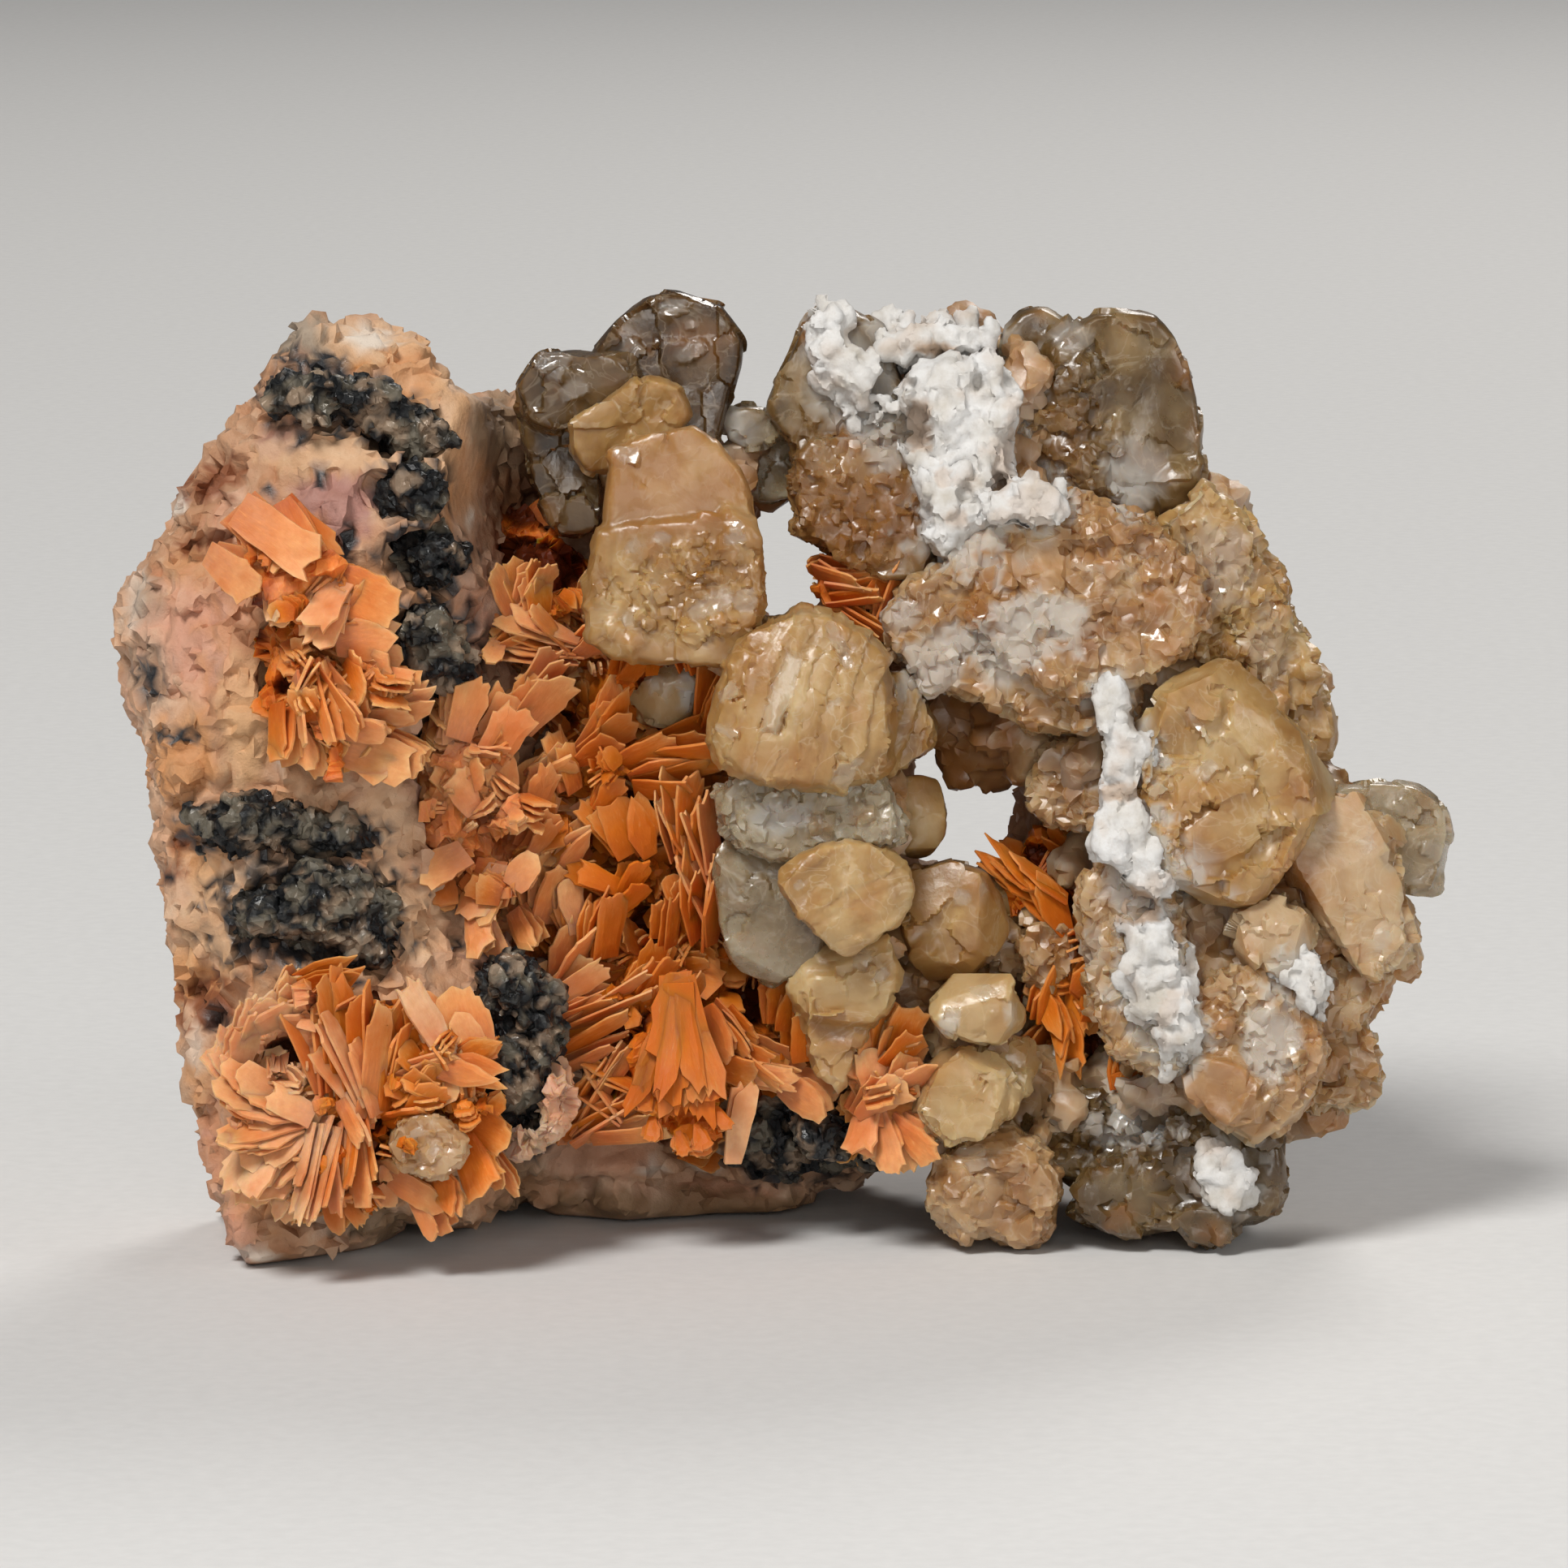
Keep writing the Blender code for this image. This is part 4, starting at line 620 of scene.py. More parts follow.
# ---- cerussite ------------------------------------------------------------------------------------------------------
# The crystals' outlines in the front view, front depth, rear depth and lean, as in the CAD model, but left whole where
# they grow into each other. ("t", outline, front, back, lean) is a tablet and ("l", u, v, y, ru, rv, ry) a lump.
SHAPES = {
    "heart": [("t", [(955, 1086), (962, 1070), (976, 1057), (1000, 1044), (1019, 1036), (1050, 1034), (1080, 1032), (1100, 1044), (1116, 1061), (1126, 1080), (1128, 1100), (1122, 1120), (1109, 1136), (1090, 1150), (1073, 1161), (1055, 1174), (1041, 1179), (1028, 1172), (1019, 1161), (1002, 1146), (980, 1129), (964, 1108)], -13.5, -6.0, (2.0, -1.0))],
    "small_clear": [("t", [(1143, 1245), (1147, 1232), (1156, 1220), (1170, 1200), (1189, 1186), (1206, 1183), (1223, 1188), (1240, 1204), (1252, 1222), (1267, 1245), (1264, 1260), (1257, 1270), (1246, 1280), (1231, 1287), (1202, 1287), (1180, 1280), (1164, 1270), (1149, 1262)], -11.5, -5.0, (0, 0))],
    "ribbed": [
        ("t", [(890, 815), (904, 790), (925, 768), (941, 761), (958, 752), (975, 752), (991, 746), (1006, 748), (1020, 758), (1037, 761), (1052, 770), (1070, 778), (1084, 789), (1096, 806), (1103, 825), (1104, 850), (1100, 871), (1101, 898), (1101, 921), (1096, 944), (1084, 958), (1060, 972), (1030, 978), (980, 972), (930, 968), (901, 957), (884, 945), (873, 932), (866, 916), (868, 900), (884, 885), (891, 871), (886, 845)], -13.0, -3.0, (1.0, -1.5)),
        ("t", [(1075, 820), (1098, 822), (1120, 832), (1136, 846), (1148, 865), (1152, 885), (1151, 905), (1145, 922), (1137, 935), (1122, 948), (1108, 958), (1075, 950)], -8.5, -1.0, (1.0, 0)),
    ],
    "grey_neck": [("t", [(884, 975), (898, 962), (915, 952), (965, 945), (1040, 950), (1090, 955), (1100, 972), (1106, 990), (1112, 1008), (1104, 1025), (1092, 1045), (1070, 1060), (1010, 1066), (945, 1062), (910, 1045), (888, 1025), (880, 1000)], -12.0, -4.0, (0, 0.5))],
    "tapering": [
        ("t", [(968, 1215), (985, 1190), (1001, 1172), (1025, 1160), (1051, 1155), (1075, 1152), (1094, 1148), (1103, 1165), (1107, 1200), (1103, 1225), (1098, 1243), (1076, 1268), (990, 1262), (975, 1240)], -11.0, -3.5, (0, 0)),
        ("t", [(985, 1225), (1082, 1230), (1072, 1262), (1060, 1290), (1050, 1306), (1045, 1322), (1038, 1340), (1034, 1348), (1020, 1342), (1008, 1322), (994, 1296), (988, 1262)], -10.0, -4.0, (0, 0)),
    ],
    "grey_clear": [("t", [(882, 1057), (886, 1044), (896, 1034), (912, 1032), (930, 1036), (965, 1045), (1000, 1080), (1015, 1110), (1025, 1145), (1023, 1175), (1014, 1188), (1001, 1198), (980, 1205), (959, 1210), (935, 1206), (912, 1198), (900, 1186), (894, 1168), (886, 1140), (884, 1111), (880, 1080)], -10.5, -3.0, (0, 0))],
    "tall_plate": [
        ("t", [(750, 560), (754, 549), (778, 541), (804, 532), (830, 527), (855, 522), (870, 530), (885, 550), (900, 562), (912, 575), (922, 592), (928, 609), (930, 640), (936, 700), (745, 705), (743, 660), (745, 621), (748, 590)], -11.0, -5.0, (0.5, -1.0)),
        ("t", [(735, 650), (770, 640), (840, 636), (932, 636), (938, 670), (942, 705), (944, 740), (940, 770), (925, 800), (905, 824), (888, 812), (870, 800), (840, 790), (815, 786), (785, 798), (755, 814), (738, 806), (726, 790), (718, 770), (719, 750), (724, 735), (720, 715), (722, 700), (730, 676)], -12.0, -4.5, (-0.5, 0)),
    ],
    "round_tan": [
        ("t", [(1124, 1359), (1128, 1338), (1135, 1321), (1148, 1305), (1164, 1292), (1180, 1286), (1197, 1284), (1218, 1292), (1236, 1304), (1248, 1322), (1259, 1342), (1254, 1360), (1244, 1378), (1228, 1392), (1210, 1403), (1190, 1408), (1168, 1411), (1152, 1404), (1139, 1395), (1128, 1378)], -10.5, -2.5, (0, 0)),
        ("t", [(1226, 1300), (1236, 1286), (1250, 1276), (1264, 1274), (1278, 1282), (1280, 1298), (1284, 1318), (1274, 1334), (1262, 1347), (1238, 1344)], -8.5, -3.5, (0, 0)),
    ],
    "bottom_tip": [("t", [(1140, 1435), (1144, 1420), (1151, 1406), (1176, 1398), (1206, 1394), (1242, 1394), (1278, 1399), (1294, 1420), (1309, 1443), (1308, 1474), (1301, 1502), (1295, 1514), (1287, 1527), (1276, 1534), (1263, 1539), (1245, 1534), (1227, 1525), (1200, 1514), (1177, 1508), (1162, 1496), (1149, 1489), (1142, 1468), (1136, 1452)], -9.0, 2.0, (0, 1.0))],
    "glinting": [("t", [(1114, 1085), (1126, 1075), (1140, 1068), (1156, 1064), (1173, 1062), (1196, 1066), (1218, 1073), (1228, 1088), (1236, 1104), (1240, 1126), (1242, 1146), (1230, 1168), (1217, 1187), (1200, 1200), (1180, 1208), (1160, 1210), (1142, 1208), (1128, 1186), (1112, 1160), (1108, 1120)], -8.5, 2.0, (0, 0))],
    "small_oval": [("t", [(1096, 986), (1100, 970), (1106, 958), (1130, 956), (1156, 960), (1162, 980), (1167, 1000), (1165, 1016), (1161, 1032), (1153, 1044), (1144, 1054), (1130, 1058), (1117, 1056), (1105, 1040), (1096, 1021)], -6.5, 2.0, (0, 0))],
    "small_pink": [
        ("t", [(1252, 1166), (1258, 1154), (1268, 1143), (1289, 1132), (1308, 1138), (1325, 1149), (1326, 1172), (1321, 1198), (1305, 1221), (1282, 1220), (1260, 1213)], -6.0, 2.0, (0, 0)),
        ("t", [(1205, 1155), (1214, 1140), (1228, 1128), (1244, 1132), (1258, 1142), (1266, 1180), (1244, 1203), (1226, 1198), (1212, 1186)], -5.0, 2.0, (0, 0)),
    ],
    "white_facet": [("t", [(782, 864), (788, 850), (797, 836), (815, 826), (834, 819), (850, 826), (860, 836), (858, 858), (854, 880), (840, 898), (818, 896), (796, 892)], -6.0, 3.0, (0, 0))],
    "on_rosette": [("t", [(476, 1408), (482, 1394), (491, 1381), (508, 1375), (525, 1372), (544, 1376), (561, 1384), (570, 1398), (579, 1412), (574, 1428), (566, 1442), (548, 1450), (530, 1454), (510, 1448), (490, 1441)], -18.5, -12.0, (0, 0))],
    "small_round": [("t", [(1513, 1163), (1516, 1144), (1523, 1125), (1540, 1112), (1561, 1104), (1584, 1108), (1605, 1117), (1615, 1134), (1622, 1153), (1618, 1168), (1609, 1182), (1592, 1190), (1571, 1196), (1546, 1194), (1524, 1189)], -11.0, -3.0, (0, 0))],
    "sparkly": [
        ("t", [(1458, 1300), (1458, 1268), (1464, 1238), (1478, 1216), (1494, 1198), (1516, 1190), (1538, 1184), (1562, 1190), (1587, 1198), (1606, 1214), (1622, 1235), (1630, 1264), (1632, 1292), (1628, 1320), (1616, 1350), (1600, 1374), (1581, 1398), (1562, 1406), (1545, 1410), (1520, 1396), (1498, 1380), (1480, 1366), (1466, 1350)], -10.5, 0.0, (1.0, 0)),
        ("l", 1548, 1290, 0.5, 66, 82, 4.6),
        ("t", [(1462, 1310), (1480, 1302), (1520, 1306), (1560, 1330), (1556, 1380), (1520, 1392), (1490, 1372), (1466, 1348)], -11.6, -4.0, (0, 0)),
    ],
    "beige_cluster": [
        ("t", [(1330, 1083), (1344, 1068), (1362, 1058), (1392, 1050), (1422, 1048), (1444, 1076), (1458, 1110), (1460, 1142), (1450, 1172), (1425, 1190), (1400, 1204), (1370, 1196), (1343, 1182), (1332, 1166), (1326, 1149), (1332, 1116)], -10.0, 1.0, (0, 0)),
        ("t", [(1334, 1200), (1340, 1182), (1352, 1163), (1386, 1152), (1422, 1148), (1446, 1172), (1466, 1200), (1474, 1244), (1480, 1285), (1464, 1308), (1445, 1328), (1416, 1322), (1390, 1310), (1374, 1286), (1363, 1262), (1346, 1232)], -11.0, 2.0, (0, 0)),
    ],
    "rhombic_plate": [
        ("t", [(1396, 900), (1416, 870), (1440, 842), (1470, 820), (1500, 803), (1530, 826), (1562, 855), (1605, 904), (1650, 953), (1652, 966), (1625, 982), (1597, 1000), (1592, 1030), (1588, 1060), (1576, 1086), (1562, 1110), (1522, 1120), (1480, 1124), (1450, 1094), (1422, 1062), (1412, 1020), (1402, 980), (1396, 940)], -11.0, -3.0, (3.0, -1.0)),
        ("l", 1505, 965, -0.5, 84, 104, 4.6),
    ],
    "far_right": [
        ("t", [(1580, 1020), (1595, 1002), (1613, 985), (1642, 978), (1671, 976), (1692, 998), (1711, 1025), (1714, 1050), (1720, 1075), (1732, 1096), (1739, 1115), (1742, 1140), (1740, 1163), (1729, 1182), (1714, 1199), (1688, 1204), (1659, 1207), (1638, 1170), (1615, 1130), (1600, 1100), (1587, 1070)], -8.5, 0.0, (1.5, 0)),
        ("l", 1655, 1090, 1.5, 56, 78, 4.2),
    ],
    "far_right_clear": [("t", [(1640, 968), (1668, 964), (1698, 962), (1722, 962), (1745, 966), (1764, 976), (1779, 987), (1786, 1004), (1788, 1022), (1785, 1042), (1778, 1062), (1774, 1082), (1766, 1100), (1748, 1104), (1728, 1102), (1670, 1082), (1640, 1020)], -4.0, 6.0, (0, 0))],
    "right_lobes": [
        ("t", [(1596, 1190), (1630, 1180), (1660, 1176), (1688, 1182), (1714, 1195), (1708, 1210), (1698, 1227), (1692, 1240), (1686, 1254), (1664, 1268), (1640, 1277), (1600, 1262)], -5.0, 7.0, (0, 0)),
        ("t", [(1596, 1238), (1640, 1236), (1685, 1244), (1688, 1268), (1689, 1292), (1696, 1310), (1702, 1327), (1698, 1340), (1690, 1351), (1674, 1360), (1657, 1366), (1634, 1364), (1608, 1364), (1592, 1344), (1582, 1320)], -4.5, 7.0, (0, 0)),
    ],
    "bottom_clear": [
        ("t", [(1308, 1495), (1324, 1466), (1343, 1442), (1366, 1428), (1392, 1416), (1430, 1392), (1465, 1370), (1500, 1366), (1530, 1368), (1554, 1382), (1577, 1400), (1581, 1418), (1582, 1435), (1580, 1460), (1580, 1484), (1562, 1494), (1545, 1503), (1490, 1510), (1432, 1516), (1400, 1520), (1366, 1519), (1346, 1514), (1326, 1507)], -8.0, 2.0, (0, 0)),
        ("l", 1440, 1440, 2.0, 100, 62, 5.0),
        ("t", [(1430, 1488), (1490, 1484), (1550, 1488), (1524, 1508), (1504, 1524), (1496, 1534), (1489, 1542), (1480, 1536), (1467, 1531), (1450, 1512)], -8.5, -1.0, (0, 0)),
        ("t", [(1266, 1400), (1276, 1370), (1290, 1342), (1318, 1338), (1348, 1338), (1378, 1358), (1405, 1382), (1406, 1412), (1402, 1442), (1370, 1454), (1340, 1464), (1312, 1454), (1286, 1442)], -5.5, 5.0, (0, 0)),
    ],
    "inner": [("t", [(1264, 964), (1272, 944), (1284, 923), (1318, 910), (1355, 902), (1368, 930), (1376, 963), (1366, 990), (1354, 1014), (1326, 1020), (1298, 1018), (1282, 1010), (1268, 996)], -6.5, 4.0, (0, 0))],
    "central_mass": [
        ("t", [(1085, 757), (1098, 742), (1112, 728), (1127, 713), (1148, 702), (1170, 692), (1220, 688), (1244, 740), (1242, 800), (1230, 832), (1217, 864), (1190, 860), (1163, 852), (1144, 844), (1126, 830), (1112, 814), (1098, 800), (1090, 778)], -9.5, 3.0, (0, 0)),
        ("t", [(1165, 690), (1194, 656), (1223, 623), (1270, 610), (1320, 601), (1366, 618), (1412, 638), (1446, 662), (1478, 688), (1488, 716), (1494, 745), (1484, 774), (1468, 803), (1434, 824), (1400, 845), (1366, 852), (1330, 858), (1286, 848), (1240, 834), (1196, 760)], -9.5, 0.0, (1.0, -2.0)),
        ("l", 1330, 745, 1.5, 118, 84, 4.4),
        ("t", [(1200, 800), (1264, 796), (1330, 796), (1366, 812), (1404, 830), (1408, 856), (1402, 882), (1372, 898), (1340, 908), (1308, 904), (1273, 898), (1250, 886), (1226, 872)], -9.0, 3.0, (0, 0)),
    ],
    "beige_slab": [("t", [(696, 522), (724, 502), (754, 484), (778, 472), (801, 461), (820, 468), (840, 476), (848, 494), (854, 512), (834, 530), (814, 548), (784, 566), (754, 582), (738, 584), (722, 582), (710, 568), (702, 553)], -6.5, 2.0, (1.0, 1.0))],
    "smoky": [("t", [(722, 441), (742, 418), (760, 394), (778, 378), (797, 365), (816, 360), (836, 359), (862, 366), (890, 373), (898, 388), (905, 402), (912, 412), (916, 421), (915, 440), (913, 458), (906, 480), (896, 500), (888, 530), (880, 562), (840, 562), (786, 502), (724, 492)], -4.0, 4.5, (0, 0))],
    "smoky_twin": [
        ("t", [(632, 475), (646, 454), (662, 435), (694, 432), (726, 433), (752, 434), (778, 438), (794, 470), (770, 494), (747, 517), (716, 526), (686, 533), (666, 528), (646, 520)], -5.5, 3.5, (0, 1.0)),
        ("t", [(636, 498), (670, 496), (702, 502), (744, 560), (742, 606), (737, 652), (712, 662), (688, 663), (672, 632), (656, 600)], -2.5, 6.0, (0, 0)),
    ],
    "peak": [
        ("t", [(942, 510), (948, 490), (953, 470), (964, 450), (974, 429), (982, 412), (990, 394), (1000, 380), (1012, 369), (1032, 374), (1052, 379), (1070, 390), (1087, 402), (1104, 436), (1114, 470), (1134, 552), (1064, 578), (985, 563), (962, 540)], -5.0, 6.0, (0, 0)),
        ("t", [(972, 558), (1015, 544), (1062, 538), (1122, 556), (1136, 600), (1153, 640), (1150, 680), (1142, 713), (1116, 720), (1090, 719), (1060, 704), (1030, 693), (1004, 668), (980, 642), (990, 600)], -6.5, 5.0, (0, 0)),
    ],
    "bridge": [
        ("t", [(882, 508), (898, 502), (915, 498), (938, 500), (962, 506), (980, 532), (952, 548), (925, 561), (910, 556), (896, 547)], -3.0, 4.0, (0, 0)),
        ("t", [(902, 533), (930, 526), (962, 522), (1000, 560), (998, 585), (992, 608), (972, 614), (950, 621), (930, 618), (912, 612)], -1.0, 6.0, (0, 0)),
    ],
    "top_plate": [
        ("t", [(1220, 470), (1228, 438), (1238, 407), (1248, 395), (1258, 384), (1272, 378), (1286, 375), (1302, 382), (1317, 391), (1328, 430), (1340, 470), (1334, 515), (1324, 562), (1260, 564)], -4.0, 3.0, (0, 0)),
        ("t", [(1296, 420), (1322, 400), (1348, 380), (1366, 379), (1386, 379), (1404, 383), (1422, 388), (1436, 400), (1448, 414), (1458, 436), (1468, 460), (1474, 480), (1480, 500), (1482, 540), (1483, 582), (1478, 604), (1472, 628), (1436, 634), (1400, 644), (1330, 604)], -4.0, 4.0, (2.0, -1.0)),
        ("l", 1290, 500, 5.0, 66, 76, 4.6),
        ("l", 1390, 515, 6.0, 76, 92, 5.2),
        ("t", [(1115, 470), (1176, 452), (1242, 436), (1290, 456), (1334, 478), (1342, 540), (1345, 602), (1292, 634), (1240, 664), (1188, 656), (1136, 642)], -4.5, 7.0, (0, 0)),
    ],
    "right_edge": [
        ("t", [(1425, 640), (1452, 614), (1482, 588), (1508, 614), (1532, 639), (1552, 674), (1573, 709), (1584, 734), (1594, 760), (1580, 812), (1564, 864), (1532, 860), (1498, 854), (1472, 808), (1446, 762)], -6.5, 3.0, (3.0, 0)),
        ("l", 1512, 745, 5.5, 64, 92, 5.4),
        ("t", [(1475, 730), (1528, 727), (1580, 726), (1597, 762), (1612, 799), (1624, 824), (1634, 849), (1639, 867), (1643, 885), (1644, 908), (1642, 932), (1622, 944), (1600, 955), (1568, 930), (1536, 902)], -4.5, 4.0, (3.0, 0)),
        ("l", 1574, 850, 5.5, 54, 84, 5.0),
    ],
}


def tablet(outline, front, back, lean=(0.0, 0.0), bevel=0.07, waist=0.14):
    """A tabular crystal: a flat bevelled front face, steep sides and a rear that draws in to a keel."""
    o = np.array(outline, float)
    c = o.mean(0)
    ru, rv = np.abs(o - c).max(0)
    rnd = random.Random(int(c[0] * 3 + c[1]))
    out = []
    for depth, draw, stride in ((front, bevel, 1), (front + (back - front) * waist, 0.0, 1), (front + (back - front) * 0.5, 0.06, 1), (back, 0.42, 2)):
        for u, v in o[::stride]:
            loose = rnd.uniform(-0.1, 0.1) if stride == 2 else 0.0
            du, dv = (u - c[0]) * (1 - draw + loose), (v - c[1]) * (1 - draw + loose)
            tilt = lean[0] * du / ru / 2 + lean[1] * dv / rv / 2
            out.append(at(c[0] + du, c[1] + dv, depth + tilt + loose * 0.8 * (back - front)))
    return hull(out)


def lump(u, v, y, ru, rv, ry, count=26, seed=0, rough_=0.14):
    rnd = random.Random(seed * 977 + int(u) * 7 + int(v))
    out = []
    for i in range(count):
        h = 1 - 2 * (i + 0.5) / count
        a = i * 2.399963 + rnd.random() * 0.5
        r = math.sqrt(max(0.0, 1 - h * h))
        k = 1 + rnd.uniform(-rough_, rough_)
        out.append(at(u + ru * r * math.cos(a) * k, v + rv * h * k, y + ry * r * math.sin(a) * k))
    return hull(out)


def front_point(s, n, u, v, cu, cv):
    """The nearest-to-the-viewer point of a skin about an outline point, or None."""
    near = (np.hypot(u - cu, v - cv) < 16) & (n @ TO_EYE > 0.15)
    if not near.any():
        return None
    i = np.nonzero(near)[0]
    return s.p[i[np.argmax(s.p[i] @ TO_EYE)]]


CHALKY = [  # where crystals are dusted white beside the crust: u, v, ru, rv
    (1198, 500, 84, 96), (1205, 600, 74, 96), (1185, 665, 70, 46), (1272, 612, 62, 48), (1150, 412, 100, 40), (1022, 410, 44, 52), (1046, 462, 50, 44), (1072, 505, 50, 40), (1390, 600, 26, 50),
    (1366, 866, 36, 44), (1390, 930, 44, 50), (1396, 1030, 60, 54), (1445, 1076, 52, 34), (1425, 1200, 66, 78), (1452, 1280, 46, 56), (1598, 1204, 46, 44), (1510, 1450, 42, 46), (1230, 790, 110, 30), (1130, 830, 34, 34),
]


def crystal(short, material, size=0.19, smooth=2, facets=((2.4, 0.10),), grit=0.008, gems=(), shards=(), ops=(), frost_and_glint=(), warm=(), tone=0.5, sharp=38, cuts=0, cut=0.5, more=()):
    """One crystal: its solids joined, with growth steps, facets and lines, and small crisp crystals and flat shards on it.

    gems are (u, v, ru, rv, count, smallest, largest) and shards (u, v, length, width, turn, tilt) in outline units.
    cuts flat faces are ground on it, each up to cut mm deep."""
    name = "cerussite_" + short
    seed = sum(ord(c) * (i + 1) for i, c in enumerate(name))
    rnd = random.Random(seed)
    shapes = []
    for kind, *rest in list(SHAPES[short]) + list(more):
        shapes.append(tablet(rest[0], rest[1], rest[2], rest[3]) if kind == "t" else lump(*rest))
    faces = []
    if gems or shards:
        base = voxel(shapes, 0.5)
        base.smooth(2)
        n = base.normals()
        u, v, y = seen(base.p)
        for cu, cv, ru, rv, count, small, large in gems:
            ok = np.nonzero((patch(u, v, cu, cv, ru, rv) > 0.5) & (n @ TO_EYE > -0.3))[0]
            for _ in range(int(count * 0.7) if len(ok) else 0):
                i = ok[rnd.randrange(len(ok))]
                r = rnd.uniform(small, large) * 1.25
                axis = n[i] * rnd.uniform(0.4, 1.3) + np.array([rnd.uniform(-0.9, 0.9) for _ in range(3)])
                h = r * rnd.uniform(0.8, 1.2)
                shapes.append(gem(base.p[i] - n[i] * h * rnd.uniform(0.50, 0.80), axis, r, r * rnd.uniform(0.55, 1.0), h, rnd, rnd.choice((5, 6, 6, 7))))
        for shard in shards:
            cu, cv, length, width, turn = shard[:5]
            p = front_point(base, n, u, v, cu, cv)
            if p is not None:
                loose = shard[5] if len(shard) > 5 else 0.07
                here = np.hypot(u - cu, v - cv) < max(length, width) * 0.6 + 6
                mean = n[here & (n @ TO_EYE > 0.1)].sum(0)
                mean /= np.linalg.norm(mean)
                tilt = 0.34 * GLINT + 0.66 * mean + np.array([rnd.uniform(-loose, loose) for _ in range(3)])
                tilt /= np.linalg.norm(tilt)
                t = math.radians(turn + rnd.uniform(-8, 8))
                d = math.cos(t) * np.array([1.0, 0, 0]) + math.sin(t) * UP
                d -= tilt * (d @ tilt)
                d /= np.linalg.norm(d)
                faces.append((p - TO_EYE * 0.05, tilt, d, np.cross(tilt, d), length * UNIT, width * UNIT, 1.0 if loose < 0.13 else 0.25))
    s = voxel(shapes, size * SCALE)
    s.smooth(smooth)
    u, v, y = seen(s.p)
    n = s.normals()
    flat = np.zeros(len(s.p))
    keep = np.ones(len(s.p))
    glitter = np.zeros(len(s.p))
    for top, tilt, d, side, length, width, bright in faces:
        wob = 0.10 * wave(s.p, 0.9, seed + 50)
        q = s.p - top
        a, b = q @ d / length, q @ side / width
        reach = np.maximum(np.abs(a + 0.5 * wob), np.abs(b + wob) + 0.22 * np.abs(a))
        inside = step(0.58, 0.44, reach) * (np.abs(q @ tilt) < 1.3) * (n @ TO_EYE > 0.1)
        lift = np.clip(-(q @ tilt) / (TO_EYE @ tilt), -0.10, 0.30)
        s.p = s.p + TO_EYE * (lift * inside)[:, None]
        keep = keep * (1 - inside)
        flat = np.maximum(flat, bright * step(0.3, 0.8, inside))
    for cell, amp in facets:
        off, rand, near, far = cells(s.p + 0.3 * wave(s.p, 1.5, seed)[:, None], cell, seed)
        s.push(keep * np.clip((off * rand).sum(1) / cell * amp * 2.4 + rand[:, 0] * amp * 0.5, -2 * amp, 2 * amp))
    middle = 0.5 * (s.p.min(0) + s.p.max(0))
    for _ in range(cuts):
        d = TO_EYE * rnd.uniform(0.2, 1.0) + np.array([rnd.uniform(-1, 1), rnd.uniform(-0.5, 0.5), rnd.uniform(-1, 1)]) * 0.9
        d /= np.linalg.norm(d)
        reach = (s.p - middle) @ d
        over = reach - (reach.max() - rnd.uniform(0.3, 1.0) * cut)
        s.p = s.p - d * np.maximum(over, 0)[:, None]
    for op in ops:
        n = s.normals()
        front = np.clip(n @ TO_EYE, 0, 1)
        kind, rest = op[0], op[1:]
        if kind == "dome":
            cu, cv, ru, rv, h = rest
            r = np.clip(1 - ((u - cu) / ru) ** 2 - ((v - cv) / rv) ** 2, 0, 1)
            s.p = s.p + TO_EYE * (h * np.sqrt(r) * front)[:, None]
        elif kind == "plates":  # stacked plates: turn of their edges in degrees, spacing in units, height in mm, where
            turn, gap, amp = rest[:3]
            where = patch(u, v, *rest[3:]) if len(rest) > 3 else 1.0
            c, t = math.cos(math.radians(turn)), math.sin(math.radians(turn))
            x = (u * t + v * c) / gap + 0.55 * wave(s.p, 3.2, seed + 3) + 0.1 * wave(s.p, 0.9, seed + 4)
            k = np.floor(x)
            f = x - k
            zero = np.zeros(len(k), np.int64)
            high = _parts(_mash(k.astype(np.int64), zero, zero, seed))[:, 0]
            after = _parts(_mash(k.astype(np.int64) + 1, zero, zero, seed))[:, 0]
            s.push(amp * (high + (after - high) * step(0.8, 1.0, f) + 0.5 * (f - 0.5)) * where * keep)
        elif kind == "fan":
            cu, cv, count, amp = rest
            a = np.arctan2(v - cv, u - cu) / (2 * math.pi) * count + 0.35 * wave(s.p, 2.5, seed + 5)
            s.push(amp * (np.abs(a % 1.0 - 0.5) * 4 - 1) * step(10, 60, np.hypot(u - cu, v - cv)))
        elif kind == "serrate":
            gap, amp = rest[:2]
            where = patch(u, v, *rest[2:]) if len(rest) > 2 else 1.0
            s.push(amp * wave(s.p * np.array([1, 0.25, 1]), gap, seed + 7) * (1 - np.abs(n @ TO_EYE)) ** 1.5 * where)
        elif kind == "dent":
            cu, cv, ru, rv, h, turn = rest
            s.p = s.p - TO_EYE * (h * patch(u, v, cu, cv, ru, rv, turn) * front)[:, None]
        elif kind == "rough":
            s.push(rest[1] * rough(s.p, rest[0], 3, seed + 9))
        elif kind == "sugar":  # fine crystals grown over it: their size and height in mm, where
            cell, amp = rest[:2]
            where = patch(u, v, *rest[2:]) if len(rest) > 2 else np.ones(len(s.p))
            for part in (1.0, 0.55):
                off, rand, near, far = cells(s.p + 0.2 * wave(s.p, 0.8, seed + 11)[:, None], cell * part, seed + 12)
                s.push(keep * where * part * np.clip((off * rand).sum(1) / (cell * part) * amp * 2.6 + rand[:, 0] * amp * 0.8, -1.8 * amp, 1.8 * amp))
                if part == 1.0:
                    glitter = np.maximum(glitter, 0.8 * where * (rand[:, 2] > 0.55))
    if grit:
        s.push(grit * rough(s.p, 0.8, 3, seed + 1) * keep)
    u, v, y = seen(s.p)
    white = np.zeros(len(s.p))
    for cu, cv, ru, rv, amount in frost_and_glint:
